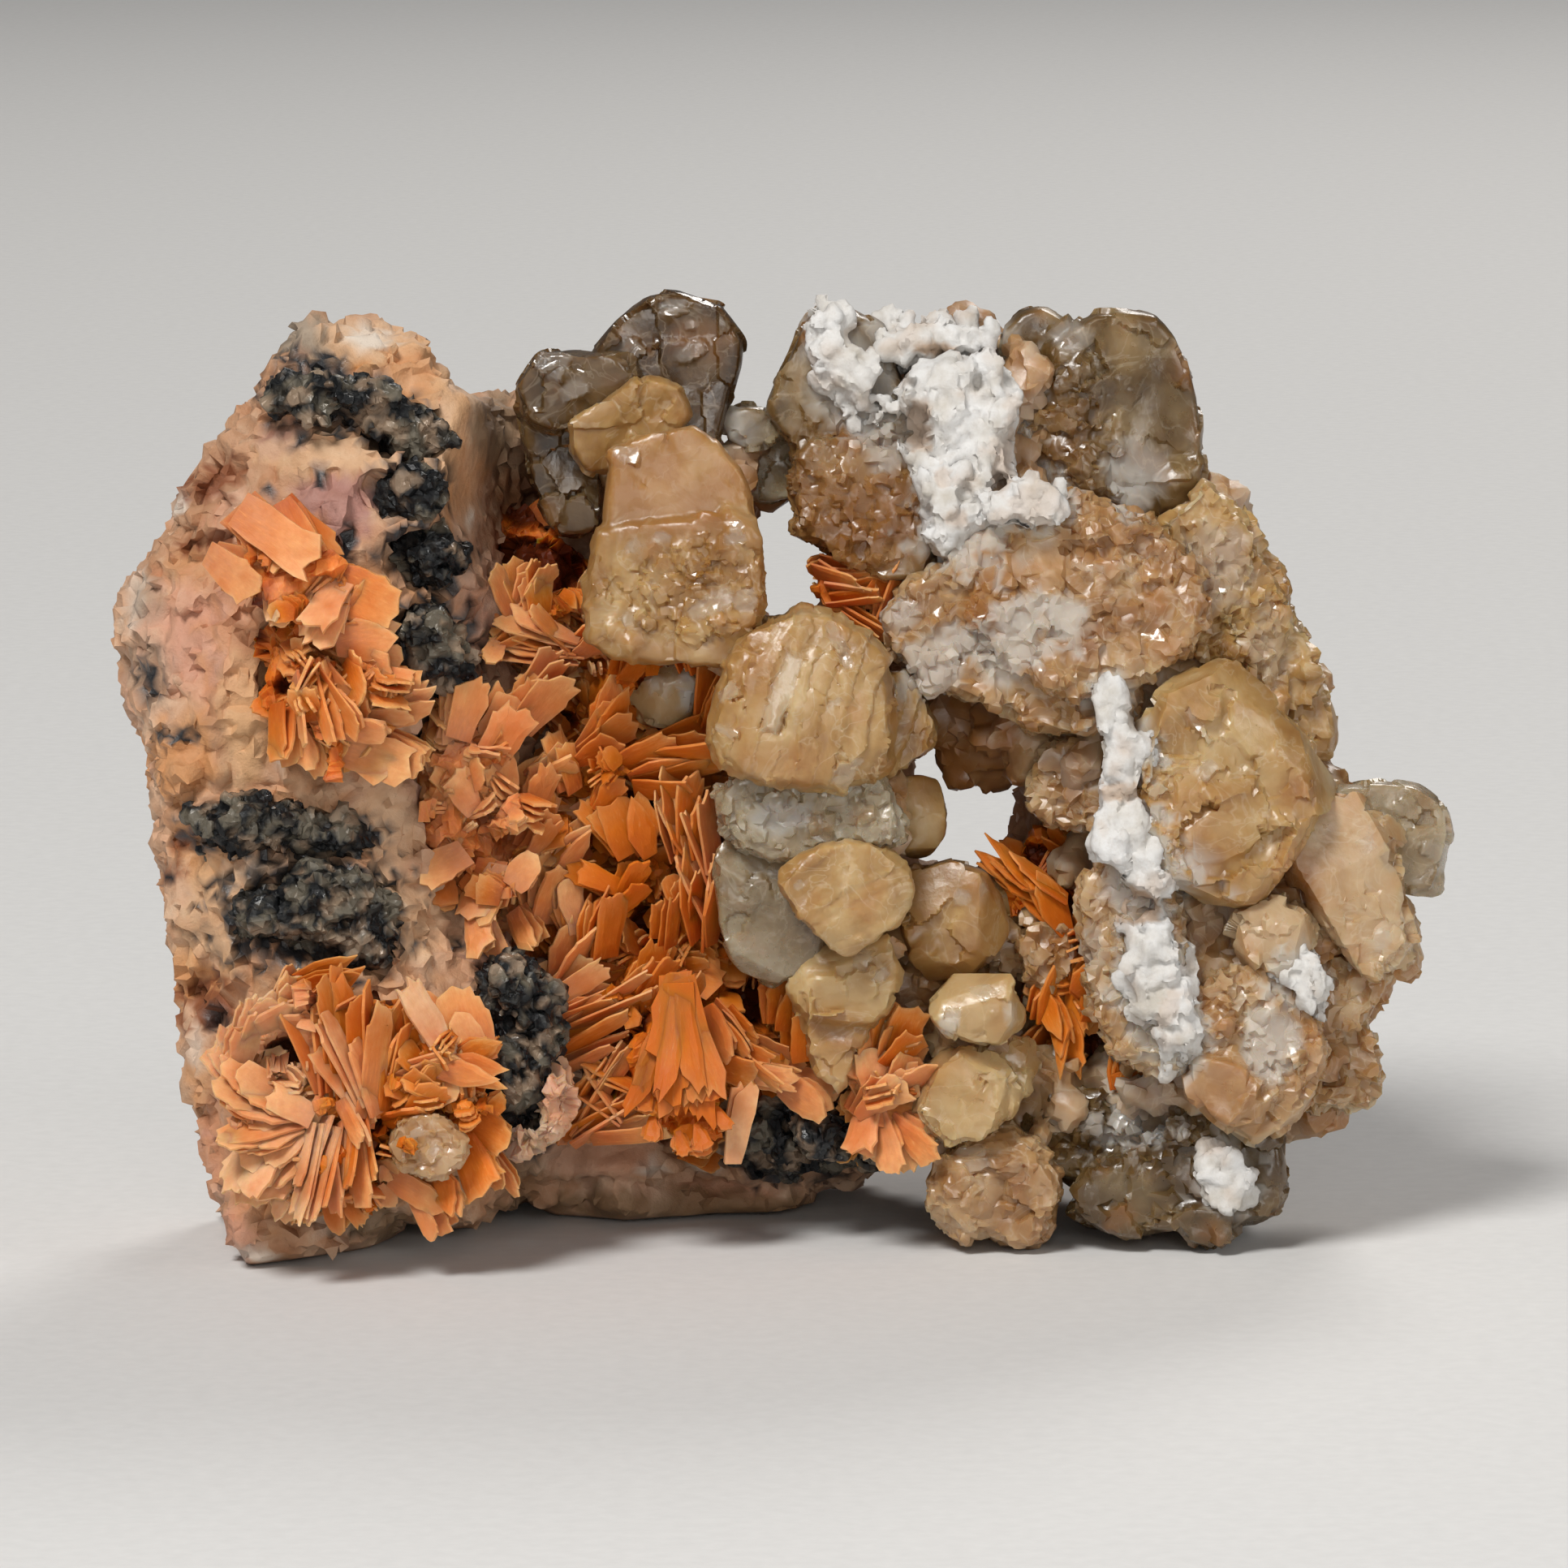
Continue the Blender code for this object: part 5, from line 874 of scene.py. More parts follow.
        white = np.maximum(white, amount * step(0.0, 0.45, rough(s.p, 1.3, 3, seed + 21) * 0.8 + 1.9 * patch(u, v, cu, cv, ru, rv, 0, 0.7) - 1.1))
    ragged = rough(s.p, 0.9, 4, seed + 22, 0.7)
    for cu, cv, ru, rv in CHALKY:
        if abs(cu - 0.5 * (u.min() + u.max())) < ru + 0.5 * np.ptp(u) and abs(cv - 0.5 * (v.min() + v.max())) < rv + 0.5 * np.ptp(v):
            white = np.maximum(white, 0.8 * step(0.10, 0.40, ragged * 0.8 + 1.5 * patch(u, v, cu, cv, ru, rv, 0, 0.8) - 0.75) * (n @ TO_EYE > -0.1))
    # the flat shard faces are whitened too: a painted highlight where the key light would glint
    white = np.maximum(white, 0.42 * np.clip(flat * 2 - 1.2, 0, 1))
    hot = np.zeros(len(s.p))
    for cu, cv, ru, rv, amount in warm:
        hot = np.maximum(hot, amount * patch(u, v, cu, cv, ru, rv, 0, 0.7))
    hot = np.maximum(hot, 0.45 * step(0.25, 0.7, rough(s.p, 2.6, 3, seed + 31)))
    off, rand, near, far = cells(s.p + 0.25 * wave(s.p, 1.0, seed)[:, None], 1.5, seed + 40)
    shade = np.clip(tone + 0.30 * rough(s.p, 3.0, 3, seed + 30) + 0.16 * rand[:, 0], 0, 1)
    s.attrs = {"frost_and_glint": white, "warm": hot, "facet": np.maximum(flat, glitter), "tone": shade}
    return show("crystal_" + short, s, material, [name], True, sharp, keep=0.31)


# small crystals in the joints between the larger ones: u, v, ru, rv, depth, count, smallest, largest, tone, warm, frost
JOINTS = [
    (1560, 1130, 85, 70, -4.0, 26, 0.8, 2.0, 0.5, 0.25, 0.1), (1462, 1260, 26, 120, -6.0, 26, 0.6, 1.5, 0.5, 0.15, 0.3), (1635, 1280, 40, 90, -3.5, 20, 0.8, 1.8, 0.45, 0.55, 0.0),
    (1370, 1365, 100, 44, -3.5, 30, 0.6, 1.6, 0.6, 0.1, 0.5), (1310, 890, 90, 44, -3.0, 24, 0.8, 1.8, 0.4, 0.3, 0.2), (1425, 855, 60, 60, -4.0, 24, 0.8, 1.9, 0.45, 0.3, 0.2),
    (1480, 690, 60, 80, -2.5, 26, 0.9, 2.1, 0.4, 0.3, 0.2), (1110, 690, 60, 60, -3.0, 22, 0.7, 1.6, 0.5, 0.35, 0.1), (1262, 630, 90, 44, -3.5, 20, 0.8, 1.6, 0.55, 0.3, 0.3),
    (1450, 620, 50, 50, -1.5, 18, 0.9, 1.9, 0.35, 0.2, 0.3), (1290, 1370, 50, 50, -3.5, 18, 0.7, 1.5, 0.45, 0.25, 0.1), (1125, 1150, 40, 70, -4.0, 14, 0.7, 1.4, 0.45, 0.35, 0.0),
    (1195, 895, 50, 60, 1.5, 24, 0.9, 2.0, 0.12, 0.75, 0.0), (1180, 1200, 60, 30, -2.0, 12, 0.7, 1.4, 0.3, 0.5, 0.0), (1610, 1000, 50, 60, -1.0, 14, 0.9, 1.8, 0.45, 0.45, 0.0),
    (1690, 1160, 44, 50, 0.0, 14, 0.8, 1.6, 0.5, 0.3, 0.0), (940, 560, 50, 50, 1.0, 14, 0.7, 1.5, 0.25, 0.3, 0.1), (800, 560, 60, 40, -1.0, 12, 0.8, 1.6, 0.3, 0.4, 0.0),
    (1400, 990, 40, 60, -2.5, 16, 0.8, 1.7, 0.5, 0.3, 0.3), (1345, 1060, 30, 70, -2.0, 12, 0.7, 1.4, 0.5, 0.3, 0.2), (1560, 980, 70, 60, 0.0, 16, 1.0, 2.2, 0.4, 0.3, 0.0),
    (1215, 1270, 60, 40, -1.0, 10, 0.8, 1.5, 0.3, 0.5, 0.0), (1350, 640, 90, 60, 2.0, 26, 1.0, 2.4, 0.35, 0.3, 0.2), (1200, 450, 80, 60, 0.5, 18, 1.0, 2.2, 0.35, 0.3, 0.4),
    (1390, 760, 110, 90, 3.0, 30, 1.2, 2.6, 0.35, 0.3, 0.1), (1180, 760, 80, 80, 2.5, 24, 1.0, 2.2, 0.35, 0.35, 0.1), (1520, 860, 90, 90, 2.5, 26, 1.2, 2.4, 0.35, 0.3, 0.1),
    (1420, 1200, 80, 140, 2.0, 34, 1.0, 2.4, 0.35, 0.35, 0.1), (1560, 1280, 90, 90, 2.0, 26, 1.0, 2.4, 0.35, 0.35, 0.1), (1450, 1020, 80, 80, 1.5, 24, 1.0, 2.2, 0.35, 0.35, 0.1),
    (1330, 655, 110, 34, -4.2, 44, 0.5, 1.2, 0.5, 0.3, 0.2), (1465, 700, 34, 90, -3.6, 40, 0.5, 1.3, 0.45, 0.3, 0.25), (1260, 520, 24, 110, -4.4, 34, 0.5, 1.1, 0.4, 0.35, 0.2),
    (1440, 850, 60, 50, -5.2, 40, 0.5, 1.2, 0.5, 0.3, 0.2), (1590, 960, 40, 60, -3.4, 26, 0.6, 1.3, 0.5, 0.4, 0.0), (1500, 1140, 40, 30, -5.8, 26, 0.5, 1.1, 0.6, 0.2, 0.3), (1610, 1110, 30, 50, -3.6, 22, 0.5, 1.2, 0.45, 0.6, 0.0),
    (1480, 1360, 40, 40, -5.0, 26, 0.5, 1.1, 0.6, 0.2, 0.3), (1300, 1350, 50, 50, -5.0, 26, 0.5, 1.2, 0.5, 0.3, 0.2), (1100, 640, 50, 44, -4.4, 26, 0.5, 1.1, 0.5, 0.4, 0.1), (900, 560, 30, 50, -2.0, 14, 0.6, 1.2, 0.4, 0.3, 0.2),
    (1605, 1130, 26, 60, -5.2, 26, 0.6, 1.3, 0.45, 0.45, 0.0), (1500, 1120, 50, 30, -7.0, 30, 0.5, 1.2, 0.55, 0.25, 0.3), (1482, 1210, 22, 60, -7.6, 30, 0.5, 1.1, 0.55, 0.2, 0.3), (1640, 1230, 30, 50, -3.0, 24, 0.6, 1.3, 0.45, 0.5, 0.0),
    (1340, 960, 34, 60, -6.0, 22, 0.5, 1.1, 0.45, 0.3, 0.2), (1520, 1190, 60, 20, -7.0, 22, 0.5, 1.0, 0.5, 0.3, 0.2), (1450, 1340, 60, 30, -6.6, 26, 0.5, 1.1, 0.55, 0.2, 0.4), (1240, 700, 60, 40, -7.0, 30, 0.5, 1.2, 0.5, 0.3, 0.3),
    (985, 970, 90, 14, -9.6, 22, 0.5, 1.0, 0.55, 0.2, 0.3), (1005, 1048, 80, 18, -8.6, 22, 0.5, 1.0, 0.5, 0.3, 0.2), (1040, 1168, 60, 22, -8.0, 18, 0.5, 1.0, 0.5, 0.35, 0.1), (1200, 1288, 50, 14, -6.8, 16, 0.5, 0.9, 0.5, 0.3, 0.1),
    (1200, 1402, 70, 16, -5.6, 20, 0.5, 1.0, 0.45, 0.3, 0.2), (1122, 1110, 14, 60, -6.4, 16, 0.5, 1.0, 0.4, 0.4, 0.0), (1100, 1000, 14, 50, -7.4, 14, 0.5, 0.9, 0.5, 0.3, 0.2), (905, 815, 30, 26, -8.8, 16, 0.5, 1.0, 0.5, 0.3, 0.0),
    (1160, 1240, 26, 60, -5.0, 14, 0.5, 1.0, 0.4, 0.4, 0.0), (1275, 1180, 30, 50, -5.0, 12, 0.5, 0.9, 0.5, 0.4, 0.1),
]


def joint_crystals():
    rnd = random.Random(77)
    shapes, middles = [], []
    for cu, cv, ru, rv, depth, count, small, large, tone, warm, frost_and_glint in JOINTS:
        for _ in range(count):
            a, k = rnd.uniform(0, 6.28), math.sqrt(rnd.random())
            u, v = cu + ru * k * math.cos(a), cv + rv * k * math.sin(a)
            if math.hypot((u - 974) / 50, (v - 685) / 78) < 1.05 or math.hypot((u - 1190) / 64, (v - 1010) / 62) < 1.05:
                continue
            r = rnd.uniform(small, large)
            axis = np.array([rnd.uniform(-1, 1), rnd.uniform(-1.0, 0.2), rnd.uniform(-1, 1)])
            shape = gem(at(u, v, depth + rnd.uniform(-0.8, 1.6)), axis, r, r * rnd.uniform(0.6, 1.0), r * rnd.uniform(0.8, 1.4), rnd, rnd.choice((5, 6, 7)))
            shapes.append(shape)
            middles.append((u, v, max(0.0, frost_and_glint + rnd.uniform(-0.4, 0.2)), max(0.0, warm + rnd.uniform(-0.25, 0.2)), tone + rnd.uniform(-0.2, 0.2)))
    s = voxel(shapes, 0.24 * SCALE)
    s.smooth(1)
    off, rand, near, far = cells(s.p, 1.0, 5)
    s.push(np.clip((off * rand).sum(1) * 0.28 + rand[:, 0] * 0.07, -0.2, 0.2))
    u, v, y = seen(s.p)
    best = np.full(len(u), 1e9)
    got = np.zeros((len(u), 3))
    for mu, mv, frost_and_glint, warm, tone in middles:
        d = (u - mu) ** 2 + (v - mv) ** 2
        near = d < best
        best[near] = d[near]
        got[near] = (frost_and_glint, warm, tone)
    s.attrs = {"frost_and_glint": s.spread(got[:, 0], 2), "warm": s.spread(got[:, 1], 2), "facet": np.zeros(len(u)), "tone": np.clip(s.spread(got[:, 2], 2), 0, 1)}
    show("crystal_joints", s, BEIGE, (), True, 34, keep=0.23)


def all_cerussite():
    crystal("heart", HONEY, 0.15, 4, ((2.6, 0.05),), 0.006, cuts=9, cut=0.5, ops=[("plates", 28, 7, 0.05), ("plates", 34, 22, 0.07), ("serrate", 0.8, 0.16)], shards=[(990, 1098, 12, 10, 20)], tone=0.55)
    crystal("small_clear", HONEY, 0.15, 2, ((1.6, 0.10),), 0.006, cuts=12, cut=0.7, gems=[(1150, 1258, 22, 22, 5, 0.5, 0.8), (1235, 1225, 25, 35, 4, 0.6, 1.0)], shards=[(1172, 1262, 20, 16, 10), (1215, 1222, 34, 26, -40)], frost_and_glint=[(1168, 1262, 14, 16, 0.7), (1245, 1250, 10, 18, 0.5)], tone=0.9)
    crystal("ribbed", HONEY, 0.16, 2, ((2.2, 0.05),), 0.008,
            ops=[("dome", 990, 860, 120, 120, 1.3), ("plates", 74, 26, 0.24), ("plates", 70, 9, 0.05), ("serrate", 1.1, 0.40)],
            shards=[(970, 862, 96, 27, 74), (1040, 795, 40, 15, 118), (1052, 812, 30, 14, 100), (1042, 862, 20, 9, 10), (1044, 967, 26, 26, 60), (1066, 944, 34, 10, 55), (886, 843, 26, 18, 10), (893, 908, 30, 10, -15), (1120, 860, 40, 18, 80)], warm=[(960, 940, 50, 22, 0.5), (930, 840, 30, 60, 0.30)], tone=0.42)
    crystal("grey_neck", CLEAR, 0.17, 2, ((1.8, 0.12),), 0.01, gems=[(905, 1000, 30, 35, 8, 0.5, 0.9), (1080, 1000, 30, 40, 10, 0.5, 1.0), (990, 1000, 60, 30, 8, 0.5, 1.0)], shards=[(960, 1012, 34, 22, 20), (1045, 985, 26, 16, 60), (900, 985, 22, 14, 30)], frost_and_glint=[(965, 1005, 42, 26, 0.8)], tone=0.7, ops=[("sugar", 0.9, 0.08)])
    crystal("tapering", HONEY, 0.17, 2, ((1.9, 0.18),), 0.01, cuts=6, cut=0.6, ops=[("plates", 10, 14, 0.10), ("serrate", 0.8, 0.2)], shards=[(1060, 1190, 30, 22, 70), (1085, 1215, 20, 14, 40)], warm=[(1020, 1290, 40, 50, 0.35)], tone=0.6)
    crystal("grey_clear", CLEAR, 0.17, 3, ((2.4, 0.10),), 0.01, cuts=8, cut=0.6, gems=[(910, 1060, 30, 30, 6, 0.6, 1.1), (960, 1195, 40, 20, 5, 0.6, 1.0)], shards=[(935, 1075, 22, 12, 20), (925, 1060, 14, 10, 60), (950, 1150, 40, 50, 80, 0.2)], tone=0.45)
    crystal("tall_plate", HONEY, 0.17, 2, ((2.2, 0.06),), 0.012,
            gems=[(885, 668, 50, 38, 26, 0.35, 0.9), (885, 755, 48, 34, 18, 0.4, 0.9), (765, 770, 45, 34, 12, 0.5, 1.0), (735, 720, 16, 60, 12, 0.4, 0.8), (770, 555, 20, 14, 5, 0.4, 0.7)],
            ops=[("sugar", 0.8, 0.10, 850, 730, 110, 66), ("plates", 88, 11, 0.05, 800, 720, 90, 70), ("serrate", 0.8, 0.28, 830, 740, 130, 90), ("serrate", 1.2, 0.12)],
            shards=[(773, 557, 30, 20, -20), (815, 676, 14, 22, 80), (915, 640, 14, 14, 60), (912, 660, 22, 14, 100), (893, 672, 24, 14, 10), (882, 757, 40, 26, 40), (905, 748, 22, 30, 70), (862, 768, 26, 20, 30), (775, 680, 16, 24, 75), (765, 770, 16, 16, 30), (925, 735, 16, 12, 20)],
            warm=[(840, 590, 100, 60, 0.55)], tone=0.20)
    crystal("round_tan", HONEY, 0.17, 2, ((2.4, 0.20), (1.1, 0.06)), 0.01, sharp=32, cuts=12, cut=0.7, gems=[(1190, 1345, 55, 50, 10, 0.6, 1.1), (1255, 1310, 22, 30, 4, 0.5, 0.9)], shards=[(1250, 1330, 16, 12, 30), (1180, 1340, 40, 40, 60, 0.25)], warm=[(1160, 1300, 40, 24, 0.5), (1262, 1295, 20, 18, 0.45)], tone=0.8, ops=[("sugar", 1.4, 0.05)])
    crystal("bottom_tip", BEIGE, 0.18, 2, ((2.2, 0.14),), 0.01, cuts=12, cut=0.9, gems=[(1225, 1460, 75, 60, 22, 0.6, 1.4)], shards=[(1186, 1414, 34, 16, -5), (1200, 1450, 30, 18, 30), (1272, 1440, 30, 26, 60, 0.2)], tone=0.32, ops=[("sugar", 1.2, 0.10), ("serrate", 1.0, 0.2)])
    crystal("glinting", HONEY, 0.18, 2, ((2.8, 0.18),), 0.006, cuts=9, cut=0.7, shards=[(1190, 1114, 18, 22, 78), (1213, 1110, 22, 24, 78)], tone=0.2, gems=[(1170, 1180, 50, 26, 6, 0.6, 1.1)])
    crystal("small_oval", HONEY, 0.18, 2, ((1.6, 0.08),), 0.008, cuts=8, cut=0.5, tone=0.4, warm=[(1140, 970, 30, 20, 0.4)])
    crystal("small_pink", BEIGE, 0.18, 2, ((1.2, 0.16),), 0.03, gems=[(1235, 1165, 24, 30, 8, 0.4, 0.8), (1290, 1180, 30, 36, 8, 0.4, 0.9)], warm=[(1290, 1180, 60, 60, 0.4)], tone=0.6, ops=[("sugar", 0.8, 0.10)])
    # its frost patches are a painted glint on the facet, which lies in the cavity's shade
    crystal("white_facet", HONEY, 0.15, 2, ((1.6, 0.16),), 0.008, cuts=6, cut=0.5, gems=[(815, 862, 34, 36, 10, 0.45, 0.9)], shards=[(842, 850, 34, 52, 80, 0.03), (806, 850, 26, 34, 60, 0.05)], frost_and_glint=[(848, 850, 13, 32, 1.0), (806, 838, 16, 9, 0.5)], tone=0.85)
    crystal("on_rosette", BEIGE, 0.15, 3, ((1.4, 0.10),), 0.01, warm=[(528, 1412, 60, 50, 0.4)], cuts=8, cut=0.4, gems=[(528, 1412, 44, 36, 12, 0.4, 0.9)], shards=[(508, 1404, 18, 12, 20), (540, 1425, 16, 12, 50)], tone=0.5, ops=[("sugar", 0.9, 0.08)])
    crystal("small_round", BEIGE, 0.17, 1, ((2.2, 0.22), (1.0, 0.08)), 0.008, cuts=10, cut=0.7, sharp=30, gems=[(1567, 1150, 48, 42, 8, 0.5, 1.0)], shards=[(1595, 1126, 22, 18, 20)], tone=0.75)
    # the frost patch on its sparkly face is a painted highlight of many small glints
    crystal("sparkly", BEIGE, 0.18, 2, ((1.8, 0.18),), 0.01, gems=[(1545, 1250, 78, 60, 46, 0.45, 1.2), (1590, 1330, 40, 70, 18, 0.5, 1.2)],
            shards=[(1542, 1240, 26, 10, 60, 0.12), (1560, 1262, 34, 18, 50, 0.12), (1580, 1275, 30, 22, 70, 0.12), (1565, 1295, 26, 16, 110, 0.12), (1590, 1300, 20, 26, 80, 0.12), (1570, 1320, 16, 30, 80, 0.12), (1585, 1330, 26, 10, 60, 0.12), (1548, 1275, 22, 12, 30, 0.12), (1600, 1282, 14, 22, 80, 0.12), (1512, 1345, 62, 56, 60, 0.3), (1560, 1370, 26, 46, 80, 0.2)],
            frost_and_glint=[(1565, 1282, 42, 52, 0.75)], warm=[(1625, 1285, 26, 60, 0.45), (1500, 1345, 44, 40, 0.25)], tone=0.45, ops=[("sugar", 0.9, 0.13, 1560, 1270, 90, 100)])
    crystal("beige_cluster", BEIGE, 0.18, 2, ((1.6, 0.18),), 0.01, gems=[(1400, 1130, 66, 70, 40, 0.4, 1.1), (1410, 1250, 66, 80, 46, 0.4, 1.1)], shards=[(1385, 1240, 30, 12, 60, 0.12), (1420, 1270, 34, 14, 30, 0.12), (1360, 1110, 24, 16, 50, 0.12), (1440, 1130, 24, 18, 70, 0.15)], frost_and_glint=[(1400, 1100, 44, 50, 0.8), (1420, 1230, 44, 70, 0.75), (1345, 1170, 20, 40, 0.4)], tone=0.55, ops=[("sugar", 0.9, 0.13)])
    crystal("rhombic_plate", HONEY, 0.18, 1, ((3.4, 0.30), (1.6, 0.10)), 0.008, cuts=9, cut=1.2, sharp=30, gems=[(1530, 1035, 60, 42, 14, 0.7, 1.7), (1450, 900, 50, 50, 14, 0.5, 1.3), (1430, 1020, 36, 60, 16, 0.4, 1.0), (1580, 920, 40, 60, 8, 0.5, 1.2)],
            shards=[(1482, 905, 42, 10, 118), (1500, 952, 26, 20, 40), (1520, 1038, 80, 66, 20, 0.3), (1560, 900, 60, 70, 40, 0.25), (1440, 975, 18, 12, 30), (1456, 1062, 14, 12, 30)], warm=[(1460, 1000, 60, 40, 0.45), (1590, 1070, 24, 40, 0.55), (1600, 985, 22, 24, 0.5)], frost_and_glint=[(1465, 1140, 34, 26, 0.9)], tone=0.44, ops=[("sugar", 1.0, 0.07, 1440, 1010, 44, 90)])
    crystal("far_right", BEIGE, 0.18, 1, ((2.8, 0.30), (1.3, 0.12)), 0.01, cuts=9, cut=1.3, sharp=30, gems=[(1665, 1040, 56, 50, 18, 0.6, 1.3), (1690, 1150, 44, 50, 14, 0.6, 1.2)],
            shards=[(1652, 1010, 22, 18, 40), (1703, 1030, 10, 26, 20), (1655, 1068, 16, 26, 80), (1690, 1058, 40, 12, 65), (1675, 1035, 26, 10, 20), (1716, 1165, 26, 26, 60)], warm=[(1605, 1100, 26, 44, 0.75), (1640, 985, 50, 12, 0.5), (1670, 1175, 14, 12, 0.7)], tone=0.6, ops=[("sugar", 1.3, 0.07, 1680, 1150, 60, 60)])
    crystal("far_right_clear", CLEAR, 0.18, 3, ((2.0, 0.12),), 0.01, gems=[(1755, 1085, 26, 18, 5, 0.5, 0.9)], shards=[(1765, 1060, 20, 26, 70)], tone=0.5)
    crystal("right_lobes", BEIGE, 0.19, 3, ((1.6, 0.18),), 0.02, gems=[(1660, 1230, 50, 50, 14, 0.6, 1.4), (1660, 1330, 44, 40, 10, 0.6, 1.3)], warm=[(1628, 1270, 26, 60, 0.55)], shards=[(1680, 1320, 26, 26, 60, 0.2), (1660, 1350, 30, 14, 10, 0.2)], tone=0.35, ops=[("sugar", 1.0, 0.12)])
    crystal("bottom_clear", OLIVE, 0.19, 2, ((2.6, 0.26), (1.3, 0.10)), 0.015, gems=[(1330, 1380, 60, 50, 22, 0.5, 1.3), (1400, 1400, 70, 30, 16, 0.4, 1.0)], shards=[(1508, 1450, 40, 60, 80, 0.1)], frost_and_glint=[(1400, 1388, 66, 34, 0.8)], tone=0.06, ops=[("sugar", 1.0, 0.12, 1390, 1390, 110, 60)])
    crystal("inner", BEIGE, 0.18, 2, ((1.4, 0.16),), 0.02, gems=[(1320, 965, 50, 52, 16, 0.5, 1.2)], shards=[(1300, 950, 26, 30, 60, 0.2)], tone=0.5, ops=[("sugar", 0.9, 0.12)])
    crystal("central_mass", BEIGE, 0.19, 2, ((2.2, 0.18),), 0.01, gems=[(1130, 780, 60, 80, 40, 0.4, 1.1), (1320, 720, 150, 100, 70, 0.5, 1.5), (1320, 860, 100, 50, 36, 0.5, 1.2), (1230, 830, 60, 40, 16, 0.4, 1.0)],
            shards=[(1350, 690, 40, 10, -15, 0.1), (1400, 700, 30, 8, -20, 0.1), (1108, 762, 34, 10, 5), (1180, 760, 26, 20, 50, 0.2), (1290, 690, 60, 40, 20, 0.3), (1440, 740, 40, 36, 60, 0.25)],
            frost_and_glint=[(1290, 760, 70, 34, 0.85), (1150, 820, 40, 50, 0.7), (1240, 810, 50, 36, 0.8), (1110, 760, 30, 30, 0.6), (1360, 850, 40, 20, 0.6)], warm=[(1440, 800, 30, 20, 0.5), (1240, 640, 30, 20, 0.4)], tone=0.40, ops=[("sugar", 1.1, 0.13)])
    crystal("beige_slab", HONEY, 0.18, 2, ((2.4, 0.16),), 0.01, tone=0.35, ops=[("plates", 60, 14, 0.05)])
    crystal("smoky", SMOKY, 0.18, 3, ((2.6, 0.14),), 0.008, shards=[(748, 433, 46, 14, 38, 0.03), (762, 450, 66, 26, 32, 0.03), (855, 448, 36, 20, 28, 0.05), (826, 374, 34, 18, 10, 0.05), (867, 405, 16, 12, 20, 0.05)], tone=0.45)
    crystal("smoky_twin", SMOKY, 0.18, 3, ((2.0, 0.14),), 0.01, shards=[(688, 464, 36, 34, 60, 0.08), (714, 486, 34, 24, 20, 0.08), (668, 444, 26, 18, 30, 0.08)], tone=0.6)
    crystal("peak", OLIVE, 0.19, 2, ((2.2, 0.12),), 0.01, gems=[(1060, 620, 90, 80, 50, 0.5, 1.3), (1100, 520, 40, 60, 20, 0.4, 1.0)], frost_and_glint=[(1040, 470, 40, 70, 0.7), (1095, 540, 40, 60, 0.6)], warm=[(1050, 545, 26, 26, 0.8), (1055, 630, 110, 90, 0.75)], tone=0.4, ops=[("sugar", 1.1, 0.12, 1060, 600, 110, 110)])
    crystal("bridge", CLEAR, 0.18, 3, ((1.6, 0.12),), 0.02, gems=[(930, 530, 40, 26, 8, 0.5, 1.0)], frost_and_glint=[(905, 525, 30, 26, 0.8)], tone=0.5)
    crystal("top_plate", OLIVE, 0.19, 3, ((2.8, 0.14),), 0.008, gems=[(1290, 540, 60, 110, 40, 0.6, 1.5), (1390, 590, 70, 50, 26, 0.5, 1.2), (1180, 500, 60, 50, 20, 0.5, 1.2)], shards=[(1310, 418, 22, 14, 20), (1238, 438, 20, 16, 30), (1410, 560, 40, 20, 70, 0.2)], frost_and_glint=[(1400, 580, 40, 60, 0.5), (1320, 415, 30, 20, 0.4)], warm=[(1290, 560, 60, 90, 0.35)], tone=0.3, ops=[("sugar", 1.2, 0.12, 1300, 560, 90, 130)])
    crystal("right_edge", HONEY, 0.19, 2, ((3.0, 0.26), (1.5, 0.10)), 0.01, gems=[(1510, 730, 70, 100, 40, 0.5, 1.4), (1580, 860, 50, 80, 14, 0.6, 1.4)], frost_and_glint=[(1500, 700, 60, 60, 0.35), (1560, 800, 30, 60, 0.25)], warm=[(1445, 810, 30, 24, 0.7), (1480, 720, 20, 14, 0.6)], shards=[(1510, 760, 30, 20, 60, 0.2), (1590, 800, 40, 24, 70, 0.2)], tone=0.45, ops=[("sugar", 1.1, 0.12, 1520, 740, 90, 130)])


all_cerussite()
joint_crystals()
print("cerussite", round(time.time() - START, 1), "s")


# ---- barite ---------------------------------------------------------------------------------------------------------
OUTLINES = {  # outlines of a blade: (how far along, how far across)
    "round": [(0, -0.36), (0.30, -0.50), (0.66, -0.48), (0.92, -0.26), (1, 0.06), (0.88, 0.36), (0.60, 0.50), (0.26, 0.46), (0, 0.34)],
    "fan": [(0, -0.20), (0.55, -0.46), (0.86, -0.50), (0.97, -0.18), (1, 0.20), (0.88, 0.50), (0.50, 0.44), (0, 0.20)],
    "leaf": [(0, -0.26), (0.42, -0.50), (0.74, -0.34), (1, -0.02), (0.70, 0.36), (0.40, 0.50), (0, 0.26)],
    "chisel": [(0, -0.34), (0.62, -0.50), (0.94, -0.44), (1, -0.10), (0.80, 0.50), (0.40, 0.50), (0, 0.34)],
    "slat": [(0, -0.46), (0.80, -0.50), (1, -0.30), (0.96, 0.30), (0.80, 0.50), (0, 0.46)],
    "block": [(0, -0.40), (0.50, -0.50), (0.90, -0.50), (1, -0.15), (0.92, 0.20), (1, 0.42), (0.70, 0.50), (0, 0.36)],
}


